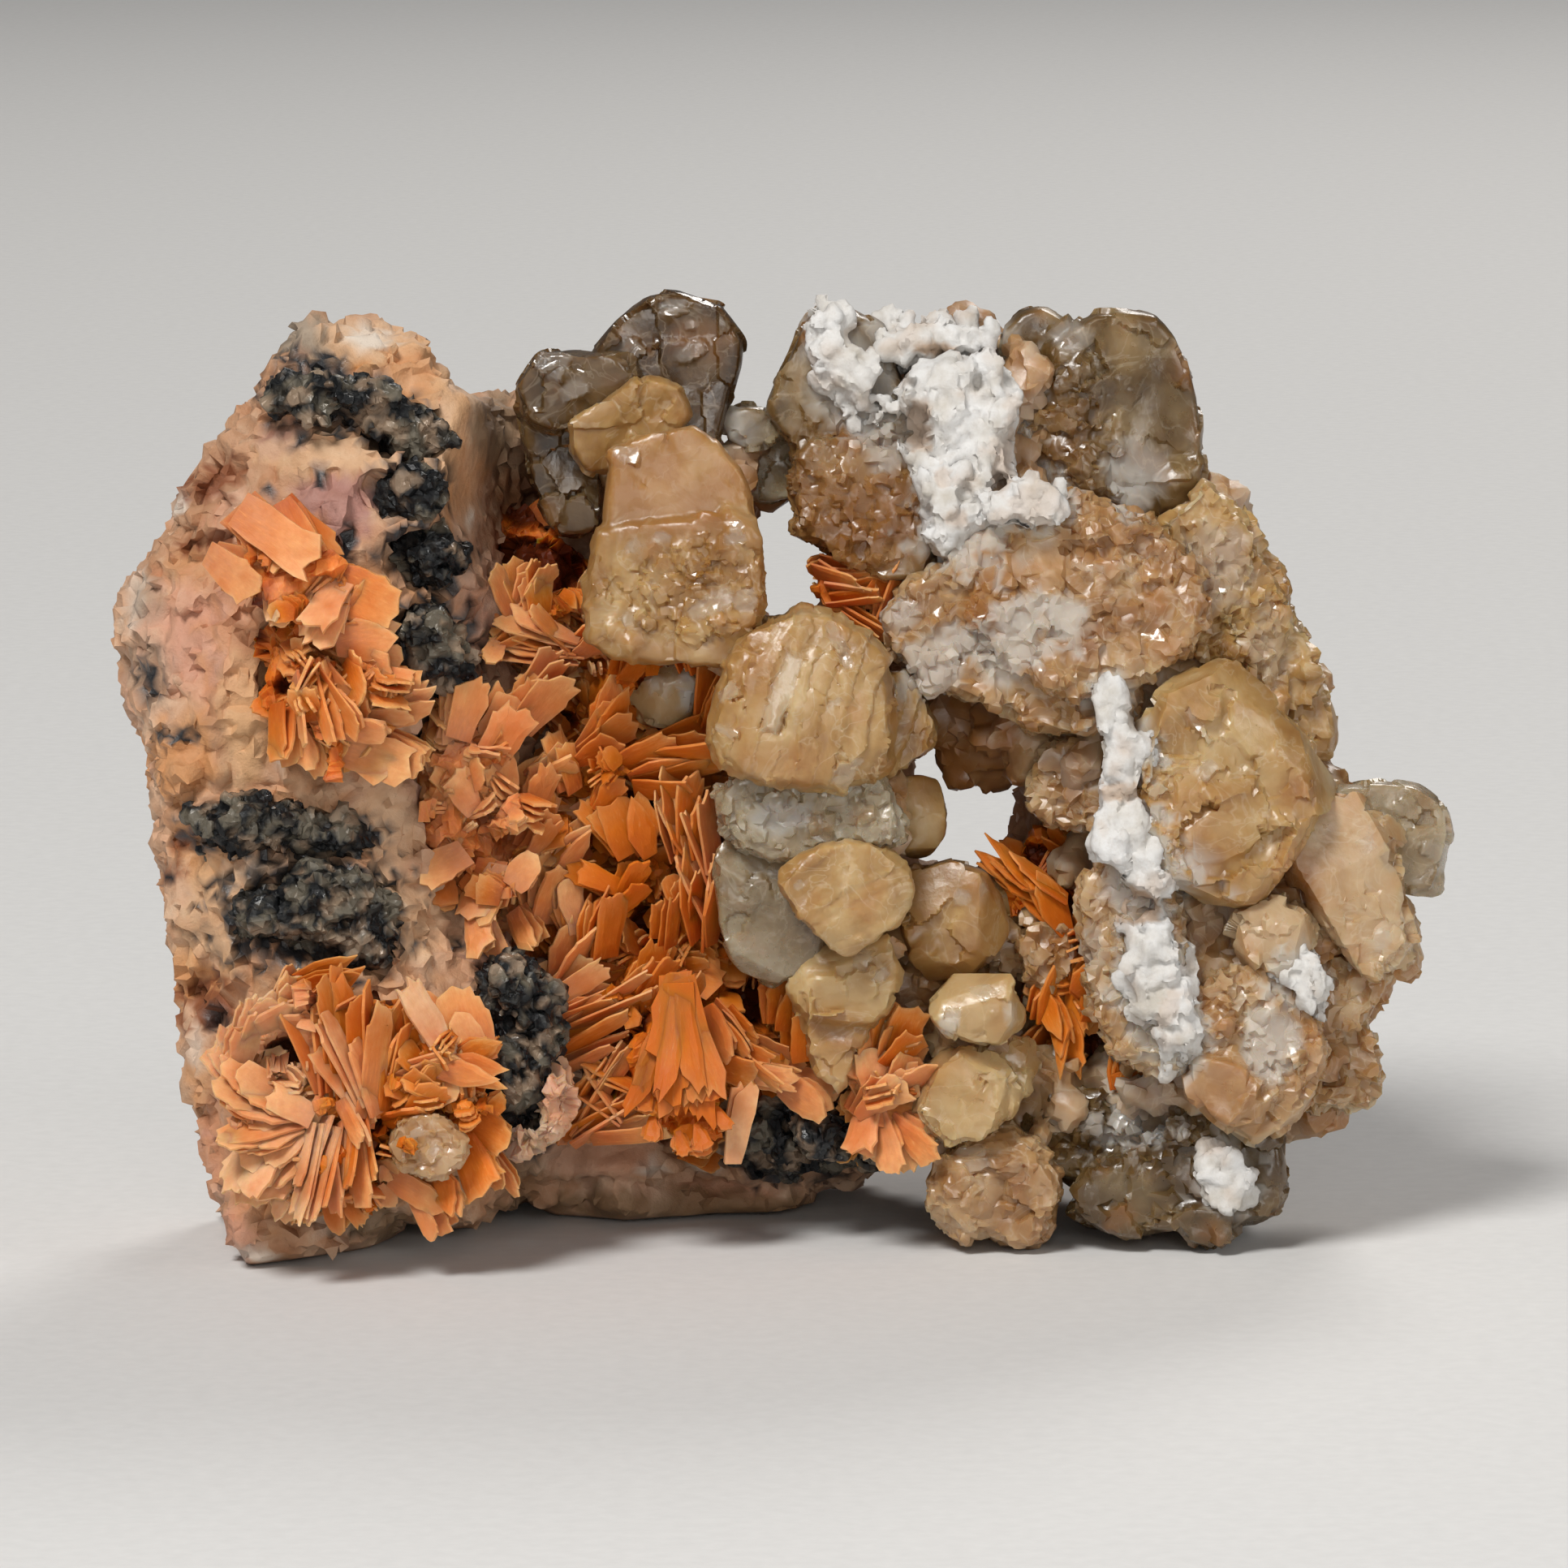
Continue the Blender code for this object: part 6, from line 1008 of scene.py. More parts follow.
class Blades:
    """Many thin blades joined into one mesh."""

    def __init__(self):
        self.p, self.f, self.tip, self.edge, self.tint, self.lane, self.count = [], [], [], [], [], [], 0
        self.free = []  # places that no blade may cover: u, v, ru, rv

    def add(self, base, along, normal, length, width, thick, kind, rnd, tint=0.0, bend=0.0, jag=0.05, plain=False):
        d = np.asarray(along, float)
        d = d / np.linalg.norm(d)
        n = np.asarray(normal, float)
        n = n - d * (n @ d)
        n = n / max(np.linalg.norm(n), 1e-9)
        s = np.cross(n, d)
        shape = OUTLINES[kind]
        if rnd.random() < 0.5:
            shape = [(x, -y) for x, y in shape[::-1]]
        ring = []
        for i in range(len(shape)):
            (x0, y0), (x1, y1) = shape[i], shape[(i + 1) % len(shape)]
            ring.append((x0 + rnd.uniform(-0.04, 0.04), y0 + rnd.uniform(-0.06, 0.06)))
            if max(x0, x1) > 0.45 and jag:  # the free rim is ragged
                for cut in ((rnd.uniform(0.3, 0.7),) if rnd.random() < 0.5 else (rnd.uniform(0.2, 0.42), rnd.uniform(0.58, 0.8))):
                    k = 1 - rnd.uniform(-0.4, 1.0) * jag * 1.7
                    ring.append((0.5 + (x0 + (x1 - x0) * cut - 0.5) * k, (y0 + (y1 - y0) * cut) * k))
        x, y = np.array(ring).T
        k = len(x)
        twist, cup = rnd.uniform(-0.14, 0.14), rnd.uniform(-0.10, 0.10)

        def place(x, y, z):
            return base + np.outer(x * length, d) + np.outer(y * width, s) + np.outer(z + bend * length * x * x + twist * y * width * x + cup * width * y * y * 2, n)

        mid = 0.52
        for spot in self.free:
            for far in (0.15, 0.55, 0.95):
                cu, cv, _ = seen(base + d * length * far)
                if math.hypot((cu - spot[0]) / spot[2], (cv - spot[1]) / spot[3]) < 1:
                    return
        i = np.arange(k)
        j = (i + 1) % k
        b = self.count
        h = np.full(k, thick / 2)
        top, low = place(x, y, h * 0.8), place(x, y, -h * 0.8)
        xm, ym = mid + (x - mid) * 0.6, y * 0.6
        top2, low2 = place(xm, ym, h * rnd.uniform(0.9, 1.5)), place(xm, ym, -h * rnd.uniform(0.9, 1.5))
        ends = place(np.array([mid, mid]), np.array([0.0, 0.0]), np.array([thick * 0.5, -thick * 0.5]))
        row = rnd.uniform(0, 90)
        shade = tint + rnd.uniform(-0.08, 0.08)
        if plain:
            self.p += [top, low, ends]
            t, l, ct, cl = b, b + k, b + 2 * k, b + 2 * k + 1
            tri = np.concatenate([
                np.stack([l + i, l + j, t + j], 1), np.stack([l + i, t + j, t + i], 1), np.stack([t + i, t + j, np.full(k, ct)], 1), np.stack([l + j, l + i, np.full(k, cl)], 1),
            ])
            if 0.5 * np.sum(x * np.roll(y, -1) - np.roll(x, -1) * y) < 0:
                tri = tri[:, ::-1]
            self.tip += [x, x, np.array([mid, mid])]
            self.lane += [row + y * width, row + y * width, np.array([row, row])]
            self.edge += [np.ones(2 * k), np.zeros(2)]
            self.f.append(tri)
            self.tint.append(np.full(2 * k + 2, shade))
            self.count += 2 * k + 2
            return
        self.p += [top, low, top2, low2, ends]
        t, l, t2, l2, ct, cl = b, b + k, b + 2 * k, b + 3 * k, b + 4 * k, b + 4 * k + 1
        tri = np.concatenate([
            np.stack([l + i, l + j, t + j], 1), np.stack([l + i, t + j, t + i], 1), np.stack([t + i, t + j, t2 + j], 1), np.stack([t + i, t2 + j, t2 + i], 1), np.stack([t2 + i, t2 + j, np.full(k, ct)], 1),
            np.stack([l + j, l + i, l2 + i], 1), np.stack([l + j, l2 + i, l2 + j], 1), np.stack([l2 + j, l2 + i, np.full(k, cl)], 1),
        ])
        if 0.5 * np.sum(x * np.roll(y, -1) - np.roll(x, -1) * y) < 0:
            tri = tri[:, ::-1]
        self.tip += [x, x, xm, xm, np.array([mid, mid])]
        self.lane += [row + y * width, row + y * width, row + ym * width, row + ym * width, np.array([row, row])]
        self.edge += [np.ones(2 * k), np.zeros(2 * k + 2)]
        self.f.append(tri)
        self.tint.append(np.full(4 * k + 2, shade))
        self.count += 4 * k + 2

    def book(self, u, v, y, turn, lift, roll, length, width, thick=0.28, count=4, gap=0.5, spread=6.0, tint=0.0, kind="round", seed=0, bend=0.05, jag=0.05):
        """Sub-parallel blades that grow from one place. turn is their direction in the front view in degrees (0 right,
        90 up), lift leans them towards the viewer, roll is 0 for blades seen flat and 90 for blades seen on edge."""
        rnd = random.Random(int(u) * 31 + int(v) * 17 + seed)
        count = int(count * 1.5 + 0.6)
        gap *= 0.72
        for i in range(count):
            k = i - (count - 1) / 2
            a = math.radians(turn + rnd.uniform(-9, 9))
            e = math.radians(lift + rnd.uniform(-7, 7))
            r = math.radians(roll + rnd.uniform(-13, 13) * (roll > 25))
            d = math.cos(e) * (math.cos(a) * np.array([1.0, 0, 0]) + math.sin(a) * UP) + math.sin(e) * TO_EYE
            flat = TO_EYE - d * (TO_EYE @ d)
            flat /= np.linalg.norm(flat)
            n = flat * math.cos(r) + np.cross(d, flat) * math.sin(r)
            t = math.radians(spread) * k + rnd.uniform(-0.07, 0.07)
            d2 = d * math.cos(t) + n * math.sin(t)
            n2 = n * math.cos(t) - d * math.sin(t)
            size = length * rnd.uniform(0.68, 1.12)
            base = at(u, v, y) + n * gap * (k + rnd.uniform(-0.25, 0.25)) - d * (0.4 + rnd.uniform(0, 0.15) * length)
            self.add(base, d2, n2, size, width * rnd.uniform(0.7, 1.15), thick * rnd.uniform(0.32, 0.62), kind, rnd, tint + rnd.uniform(-0.15, 0.15), bend * rnd.uniform(-1, 1), jag)

    def grow_on(self, skin, count, length, seed, where, tint=0.0, width=0.9, thick=0.26, flat=0.5, lift=(15, 70), kinds=("round", "fan", "leaf", "chisel", "block"), lean=None, swing=0.3, avoid=()):
        """Blades scattered over a base: shingled or on edge, in twos and threes. where(u, v, y) weighs the places."""
        rnd = random.Random(seed)
        n = skin.normals()
        u, v, y = seen(skin.p)
        w = where(u, v, y) * np.clip(n @ TO_EYE + 0.35, 0, 1)
        for spot in avoid:
            w = w * (1 - patch(u, v, *spot))
        total = np.cumsum(w)
        if total[-1] <= 0:
            return
        made = 0
        while made < count:
            i = min(int(np.searchsorted(total, rnd.random() * total[-1])), len(w) - 1)
            m = n[i]
            t = np.cross(m, np.array([rnd.uniform(-1, 1) for _ in range(3)]))
            if lean is not None:
                t = t / np.linalg.norm(t) * 0.6 + np.asarray(lean(u[i], v[i]))
            t = t - m * (t @ m)
            t /= max(np.linalg.norm(t), 1e-9)
            e = math.radians(rnd.uniform(*lift))
            d = math.cos(e) * t + math.sin(e) * m
            face = -math.sin(e) * t + math.cos(e) * m
            r = math.radians(rnd.uniform(-28, 28) if rnd.random() < flat else rnd.choice((-1, 1)) * rnd.uniform(40, 90))
            face = face * math.cos(r) + np.cross(d, face) * math.sin(r)
            kind = kinds[rnd.randrange(len(kinds))]
            size = length * rnd.choice((0.5, 0.6, 0.7, 0.8, 0.9, 1.0, 1.1, 1.35))
            wide = size * width * rnd.uniform(0.6, 1.15)
            shade = tint + rnd.uniform(-swing, swing)
            off = 0.0
            for j in range(rnd.choice((1, 2, 2, 3, 4))):
                turn = math.radians(rnd.uniform(-9, 9))
                d2 = d * math.cos(turn) + np.cross(face, d) * math.sin(turn)
                tip = math.radians(rnd.uniform(3, 11)) * j
                self.add(skin.p[i] - m * 0.35 + face * off, d2 * math.cos(tip) + face * math.sin(tip), face * math.cos(tip) - d2 * math.sin(tip), size * rnd.uniform(0.75, 1.1), wide * rnd.uniform(0.8, 1.1), thick * rnd.uniform(0.35, 0.65), kind, rnd, shade, rnd.uniform(-0.07, 0.07), plain=True)
                off += rnd.uniform(0.16, 0.4)
                made += 1

    def skin(self):
        s = Skin(np.concatenate(self.p), np.concatenate(self.f))
        s.attrs = {"tip": np.concatenate(self.tip), "edge": np.concatenate(self.edge), "tint": np.concatenate(self.tint), "lane": np.concatenate(self.lane)}
        return s


def base_of(node, shrink=-0.4, size=0.26, smooth=5, seed=5):
    """The body that the blades grow from, itself broken into small ledges."""
    s = voxel([node_shape(node, shrink)], size * SCALE)
    s.smooth(smooth)
    off, rand, near, far = cells(s.p * np.array([1.0, 1.0, 0.7]) + 0.4 * wave(s.p, 1.5, seed)[:, None], 1.7, seed)
    s.push(0.55 * np.clip((off * rand).sum(1) / 0.8 + 0.5 * rand[:, 0], -1.1, 1.1))
    off, rand, near, far = cells(s.p * np.array([1.0, 0.8, 1.2]), 0.9, seed + 1)
    s.push(0.22 * np.clip((off * rand).sum(1) / 0.4 + 0.4 * rand[:, 0], -1.1, 1.1))
    return s


def with_base(name, node, blades, base, material=None, tint=0.0, dark=()):
    """The blades and the body they grow from, as one object. dark lists its deep recesses."""
    u, v, y = seen(base.p)
    deep = np.zeros(len(u))
    # the dark spots are dented back and painted near black through the dark attribute: painted shade in the deep
    # recesses
    noise = rough(base.p, 1.5, 2, 7)
    for spot in dark:
        k = blot(u, v, noise, [spot[:5]], 0.3)
        deep = np.maximum(deep, k)
        base.p = base.p - TO_EYE * (k * (spot[5] if len(spot) > 5 else 1.2))[:, None]
    b = blades.skin()
    quads = base.f
    tri = np.concatenate([quads[:, [0, 1, 2]], quads[:, [0, 2, 3]]]) if quads.shape[1] == 4 else quads
    whole = Skin(np.concatenate([b.p, base.p]), np.concatenate([b.f, tri + len(b.p)]))
    n = len(base.p)
    shade = tint(u, v) if callable(tint) else np.full(n, tint)
    lit = 0.42 + 0.45 * rough(base.p, 1.1, 3, 8)
    whole.attrs = {
        "tip": np.concatenate([b.attrs["tip"], lit * (1 - deep)]),
        "edge": np.concatenate([b.attrs["edge"], np.zeros(n)]),
        "tint": np.concatenate([b.attrs["tint"], shade + 0.25 * rough(base.p, 2.5, 2, 9)]),
        "dark": np.concatenate([np.zeros(len(b.p)), deep]),
        "lane": np.concatenate([b.attrs["lane"], base.p[:, 0] + 0.6 * base.p[:, 2] + 0.5 * rough(base.p, 2.0, 2, 10)]),
    }
    return show(name, whole, material or BARITE, [node], smooth=False)


def slab_rosette():
    B = Blades()
    # the big smooth plate of the upper left with its pale ragged lower rim, and the plate with the three-cornered hole
    B.book(300, 632, -15.6, -42, 8, 8, 5.4, 3.8, 0.5, 2, 0.5, 4, 0.42, "block", 1, jag=0.12)
    B.book(345, 640, -15.3, -58, 6, 10, 4.8, 3.6, 0.5, 2, 0.5, 4, 0.30, "block", 3, jag=0.09)
    B.book(272, 690, -15.8, -38, 14, 22, 3.6, 2.6, 0.45, 1, 0.5, 6, 0.62, "chisel", 2)
    B.book(286, 722, -15.8, -5, 12, 30, 2.0, 1.4, 0.4, 1, 0.5, 6, 0.66, "leaf", 22)
    # the right-hand plates
    B.book(425, 722, -15.6, -18, 14, 14, 3.8, 3.4, 0.45, 2, 0.5, 4, 0.32, "round", 4)
    B.book(428, 790, -15.8, 8, 14, 18, 3.9, 2.4, 0.42, 1, 0.6, 8, 0.55, "leaf", 5)
    B.book(452, 812, -15.6, -12, 16, 26, 2.8, 1.9, 0.4, 1, 0.6, 8, 0.50, "chisel", 55)
    B.book(415, 735, -16.2, -112, 20, 24, 3.4, 1.8, 0.42, 2, 0.4, 6, 0.58, "block", 6)
    B.book(382, 742, -15.8, -84, 24, 34, 2.2, 1.7, 0.4, 2, 0.5, 8, 0.50, "chisel", 7)
    B.book(338, 735, -16.0, -70, 16, 30, 2.6, 1.4, 0.35, 2, 0.4, 10, 0.62, "chisel", 8)
    # fan in the middle
    B.book(440, 826, -16.0, -58, 22, 38, 3.4, 2.6, 0.38, 2, 0.5, 10, 0.05, "fan", 9)
    B.book(425, 860, -16.2, -35, 22, 44, 3.0, 2.4, 0.38, 2, 0.5, 9, 0.15, "round", 10)
    B.book(455, 850, -15.8, 5, 24, 40, 2.8, 2.2, 0.38, 2, 0.5, 8, 0.12, "fan", 11)
    B.book(395, 825, -16.0, -128, 22, 40, 2.8, 2.2, 0.38, 2, 0.5, 9, -0.1, "fan", 12)
    # blades of the lower edge
    B.book(485, 878, -15.4, 32, 16, 42, 3.6, 1.7, 0.42, 2, 0.6, 7, 0.50, "leaf", 14)
    B.book(432, 893, -15.9, 3, 14, 48, 3.9, 1.6, 0.42, 2, 0.6, 5, 0.45, "slat", 15)
    B.book(378, 838, -16.4, -76, 14, 60, 4.8, 1.7, 0.42, 2, 0.7, 5, 0.20, "slat", 16)
    B.book(398, 842, -16.4, -64, 16, 56, 4.4, 1.6, 0.42, 2, 0.7, 6, 0.28, "slat", 17)
    B.book(350, 885, -15.4, -88, 10, 50, 3.2, 1.8, 0.4, 2, 0.5, 6, 0.12, "slat", 18)
    B.book(425, 918, -15.3, -22, 10, 14, 4.2, 2.6, 0.45, 1, 0.6, 6, 0.42, "block", 19)
    B.book(378, 915, -15.0, -60, 12, 34, 3.0, 2.2, 0.4, 2, 0.5, 7, 0.30, "round", 20)
    B.book(480, 915, -14.6, -32, 12, 30, 3.2, 2.4, 0.4, 2, 0.5, 7, 0.38, "block", 21)
    base = base_of("barite_slab_rosette")
    dark = [(310, 752, 18, 16, 30), (322, 792, 8, 22, -15), (352, 845, 16, 12, 0), (356, 900, 14, 16, 0), (402, 860, 5, 16, -15), (440, 792, 10, 8, 0, 0.6)]
    B.grow_on(base, 150, 2.1, 31, lambda u, v, y: patch(u, v, 405, 830, 95, 120), 0.15, 0.85, 0.36, 0.6, avoid=dark)
    with_base("barite_slab_blades", "barite_slab_rosette", B, base, tint=0.12, dark=dark)


def lower_rosette():
    B = Blades()
    B.free = [(528, 1410, 42, 34)]
    # upright orange blades of the middle
    for u, v, t, l, r, tint in ((404, 1330, 100, 6.4, 58, 0.05), (424, 1345, 94, 7.4, 52, -0.25), (447, 1350, 89, 7.8, 64, -0.35), (468, 1352, 86, 6.8, 50, -0.15), (436, 1300, 92, 5.2, 40, -0.3), (480, 1310, 82, 4.8, 56, -0.1)):
        B.book(u, v, -17.4, t, 10, r, l, 1.7, 0.42, 2, 0.6, 4, tint, "slat", 1)
    B.book(452, 1365, -18.0, 84, 10, 50, 6.6, 1.6, 0.42, 1, 0.5, 4, 0.25, "slat", 2)
    B.book(398, 1262, -16.6, 60, 14, 50, 3.4, 1.7, 0.38, 2, 0.6, 7, 0.30, "chisel", 2)
    B.book(372, 1212, -15.8, 18, 10, 44, 4.2, 1.5, 0.36, 2, 0.5, 6, -0.15, "leaf", 3)
    B.book(400, 1222, -16.0, 42, 12, 46, 3.2, 1.6, 0.36, 2, 0.5, 7, 0.0, "leaf", 4)
    B.book(350, 1236, -15.8, 62, 14, 44, 3.0, 1.7, 0.4, 2, 0.5, 8, 0.55, "block", 5)
    # cream plate and the broad plate beside it
    B.book(548, 1300, -17.0, 117, 10, 26, 5.4, 1.9, 0.5, 1, 0.5, 4, 0.95, "block", 6)
    B.book(582, 1300, -16.0, 108, 8, 16, 4.8, 2.9, 0.42, 1, 0.6, 5, 0.30, "round", 7)
    B.book(560, 1290, -16.0, 118, 8, 26, 4.2, 2.0, 0.4, 1, 0.6, 5, 0.18, "round", 77)
    B.book(512, 1270, -16.2, 98, 12, 34, 3.4, 1.8, 0.4, 2, 0.5, 6, -0.1, "block", 8)
    B.book(500, 1290, -16.4, 70, 14, 44, 3.6, 1.6, 0.4, 2, 0.5, 6, -0.2, "leaf", 88)
    # leaf tips that point right
    B.book(572, 1298, -16.9, 8, 10, 22, 3.7, 1.7, 0.42, 1, 0.5, 0, 0.10, "leaf", 9)
    B.book(560, 1308, -17.3, -6, 12, 18, 3.6, 1.6, 0.42, 1, 0.5, 0, 0.20, "leaf", 10)
    B.book(548, 1318, -17.5, -10, 12, 20, 3.9, 1.6, 0.42, 1, 0.5, 6, 0.14, "leaf", 11)
    B.book(500, 1322, -17.6, 14, 10, 60, 5.2, 1.4, 0.4, 1, 0.5, 6, 0.22, "slat", 111)
    B.book(540, 1335, -16.6, -16, 12, 14, 2.8, 2.3, 0.42, 1, 0.5, 6, 0.62, "round", 13)
    # deep orange heart, blades crossing
    for k, (u, v, t, r) in enumerate(((492, 1340, 28, 30), (505, 1352, 60, 50), (486, 1366, 22, 64), (512, 1322, 130, 40), (478, 1330, 60, 60), (530, 1352, 150, 34), (500, 1372, 48, 34))):
        B.book(u, v, -17.0, t, 16, r, 3.6, 2.1, 0.38, 2, 0.5, 8, -0.35, "fan", 14 + k)
    B.book(430, 1362, -18.0, -60, 12, 56, 3.6, 1.6, 0.4, 2, 0.5, 5, 0.45, "slat", 22)
    # pink fan of the left, pale at the rims, and its flat plates
    for k, (u, v, t, r, l, tint) in enumerate(((330, 1350, 150, 40, 3.6, 0.70), (345, 1362, 168, 46, 4.2, 0.55), (350, 1374, 183, 44, 4.4, 0.62), (352, 1386, 196, 48, 4.6, 0.50), (356, 1396, 208, 42, 4.0, 0.60), (365, 1404, 226, 44, 3.2, 0.70))):
        B.book(u, v, -17.4, t, 10, r, l, 2.4, 0.42, 2, 0.55, 6, tint, "round", 30 + k)
    B.book(375, 1372, -18.0, 158, 8, 20, 3.2, 1.6, 0.45, 1, 0.5, 8, 0.60, "block", 37)
    # white blades that curve round the small pit
    for k, (u, v, t, r) in enumerate(((292, 1298, 84, 30), (302, 1275, 62, 34), (322, 1258, 30, 32), (352, 1252, 4, 40), (376, 1262, -38, 44), (392, 1290, -62, 48), (410, 1318, -70, 50), (288, 1320, 120, 30))):
        B.book(u, v, -16.4, t, 12, r, 2.8, 1.9, 0.45, 2, 0.5, 8, 0.98, "block", 40 + k)
    B.book(440, 1350, -18.0, 122, 12, 60, 5.4, 1.5, 0.4, 2, 0.5, 6, 0.70, "slat", 48)
    B.book(452, 1352, -18.1, 112, 12, 62, 5.0, 1.4, 0.4, 1, 0.5, 5, 0.45, "slat", 49)
    # upright whitish blades of the lower middle
    for k, (u, v, t, l, tint) in enumerate(((382, 1398, -103, 5.4, 0.95), (398, 1400, -98, 5.8, 0.85), (412, 1404, -93, 5.6, 0.60), (428, 1398, -90, 5.0, 0.25), (440, 1392, -86, 4.4, -0.1))):
        B.book(u, v, -17.8, t, 6, 58, l, 1.7, 0.44, 1 + k % 2, 0.5, 4, tint, "slat", 50 + k)
    B.book(345, 1415, -16.8, -122, 12, 34, 4.0, 2.4, 0.45, 2, 0.6, 8, 0.98, "chisel", 56)
    B.book(312, 1420, -16.0, -108, 10, 34, 3.6, 2.4, 0.45, 2, 0.6, 8, 0.95, "block", 57)
    B.book(350, 1458, -16.2, -98, 8, 30, 2.6, 1.9, 0.42, 2, 0.5, 7, 0.98, "round", 58)
    # right-hand lower blades, tips pointing down
    B.book(575, 1418, -16.4, -62, 10, 22, 4.0, 2.1, 0.42, 2, 0.5, 8, -0.1, "chisel", 60)
    B.book(545, 1450, -16.0, -72, 10, 30, 3.2, 1.8, 0.4, 2, 0.5, 7, 0.15, "leaf", 61)
    B.book(592, 1385, -15.8, -38, 10, 20, 3.8, 2.3, 0.4, 1, 0.5, 7, 0.20, "round", 62)
    B.book(612, 1436, -13.8, -55, 10, 36, 2.8, 1.7, 0.4, 2, 0.5, 7, 0.25, "round", 63)
    B.book(500, 1452, -15.2, -28, 10, 40, 4.4, 1.9, 0.4, 2, 0.6, 8, 0.20, "round", 64)
    B.book(520, 1475, -15.0, -52, 8, 46, 3.0, 1.5, 0.4, 2, 0.5, 8, 0.35, "slat", 65)
    base = base_of("barite_lower_rosette")
    dark = [(352, 1299, 25, 21, 0, 1.6), (500, 1300, 16, 12, 0), (455, 1378, 18, 16, 30), (455, 1415, 16, 16, 0), (300, 1408, 18, 7, 10, 0.8), (480, 1452, 26, 12, 30, 1.0), (535, 1330, 16, 8, -20, 0.8), (392, 1235, 8, 16, 20, 0.8), (425, 1248, 6, 26, 5, 0.8)]
    clear = [(528, 1412, 52, 44, 0)]
    B.grow_on(base, 170, 2.0, 32, lambda u, v, y: patch(u, v, 510, 1330, 100, 110), -0.2, 0.8, 0.36, 0.5, avoid=dark + clear)
    B.grow_on(base, 110, 1.9, 33, lambda u, v, y: patch(u, v, 320, 1380, 75, 110), 0.75, 0.85, 0.40, 0.8, (8, 40), swing=0.15, avoid=dark + clear)
    B.grow_on(base, 90, 1.9, 34, lambda u, v, y: patch(u, v, 470, 1465, 140, 40), 0.3, 0.85, 0.36, 0.7, (10, 50), avoid=dark + clear)
    pale = lambda u, v: np.clip(0.9 * patch(u, v, 300, 1370, 90, 150, 0, 0.4) + 0.7 * patch(u, v, 370, 1250, 60, 40), 0, 0.9) - 0.15
    with_base("barite_lower_blades", "barite_lower_rosette", B, base, tint=pale, dark=dark)


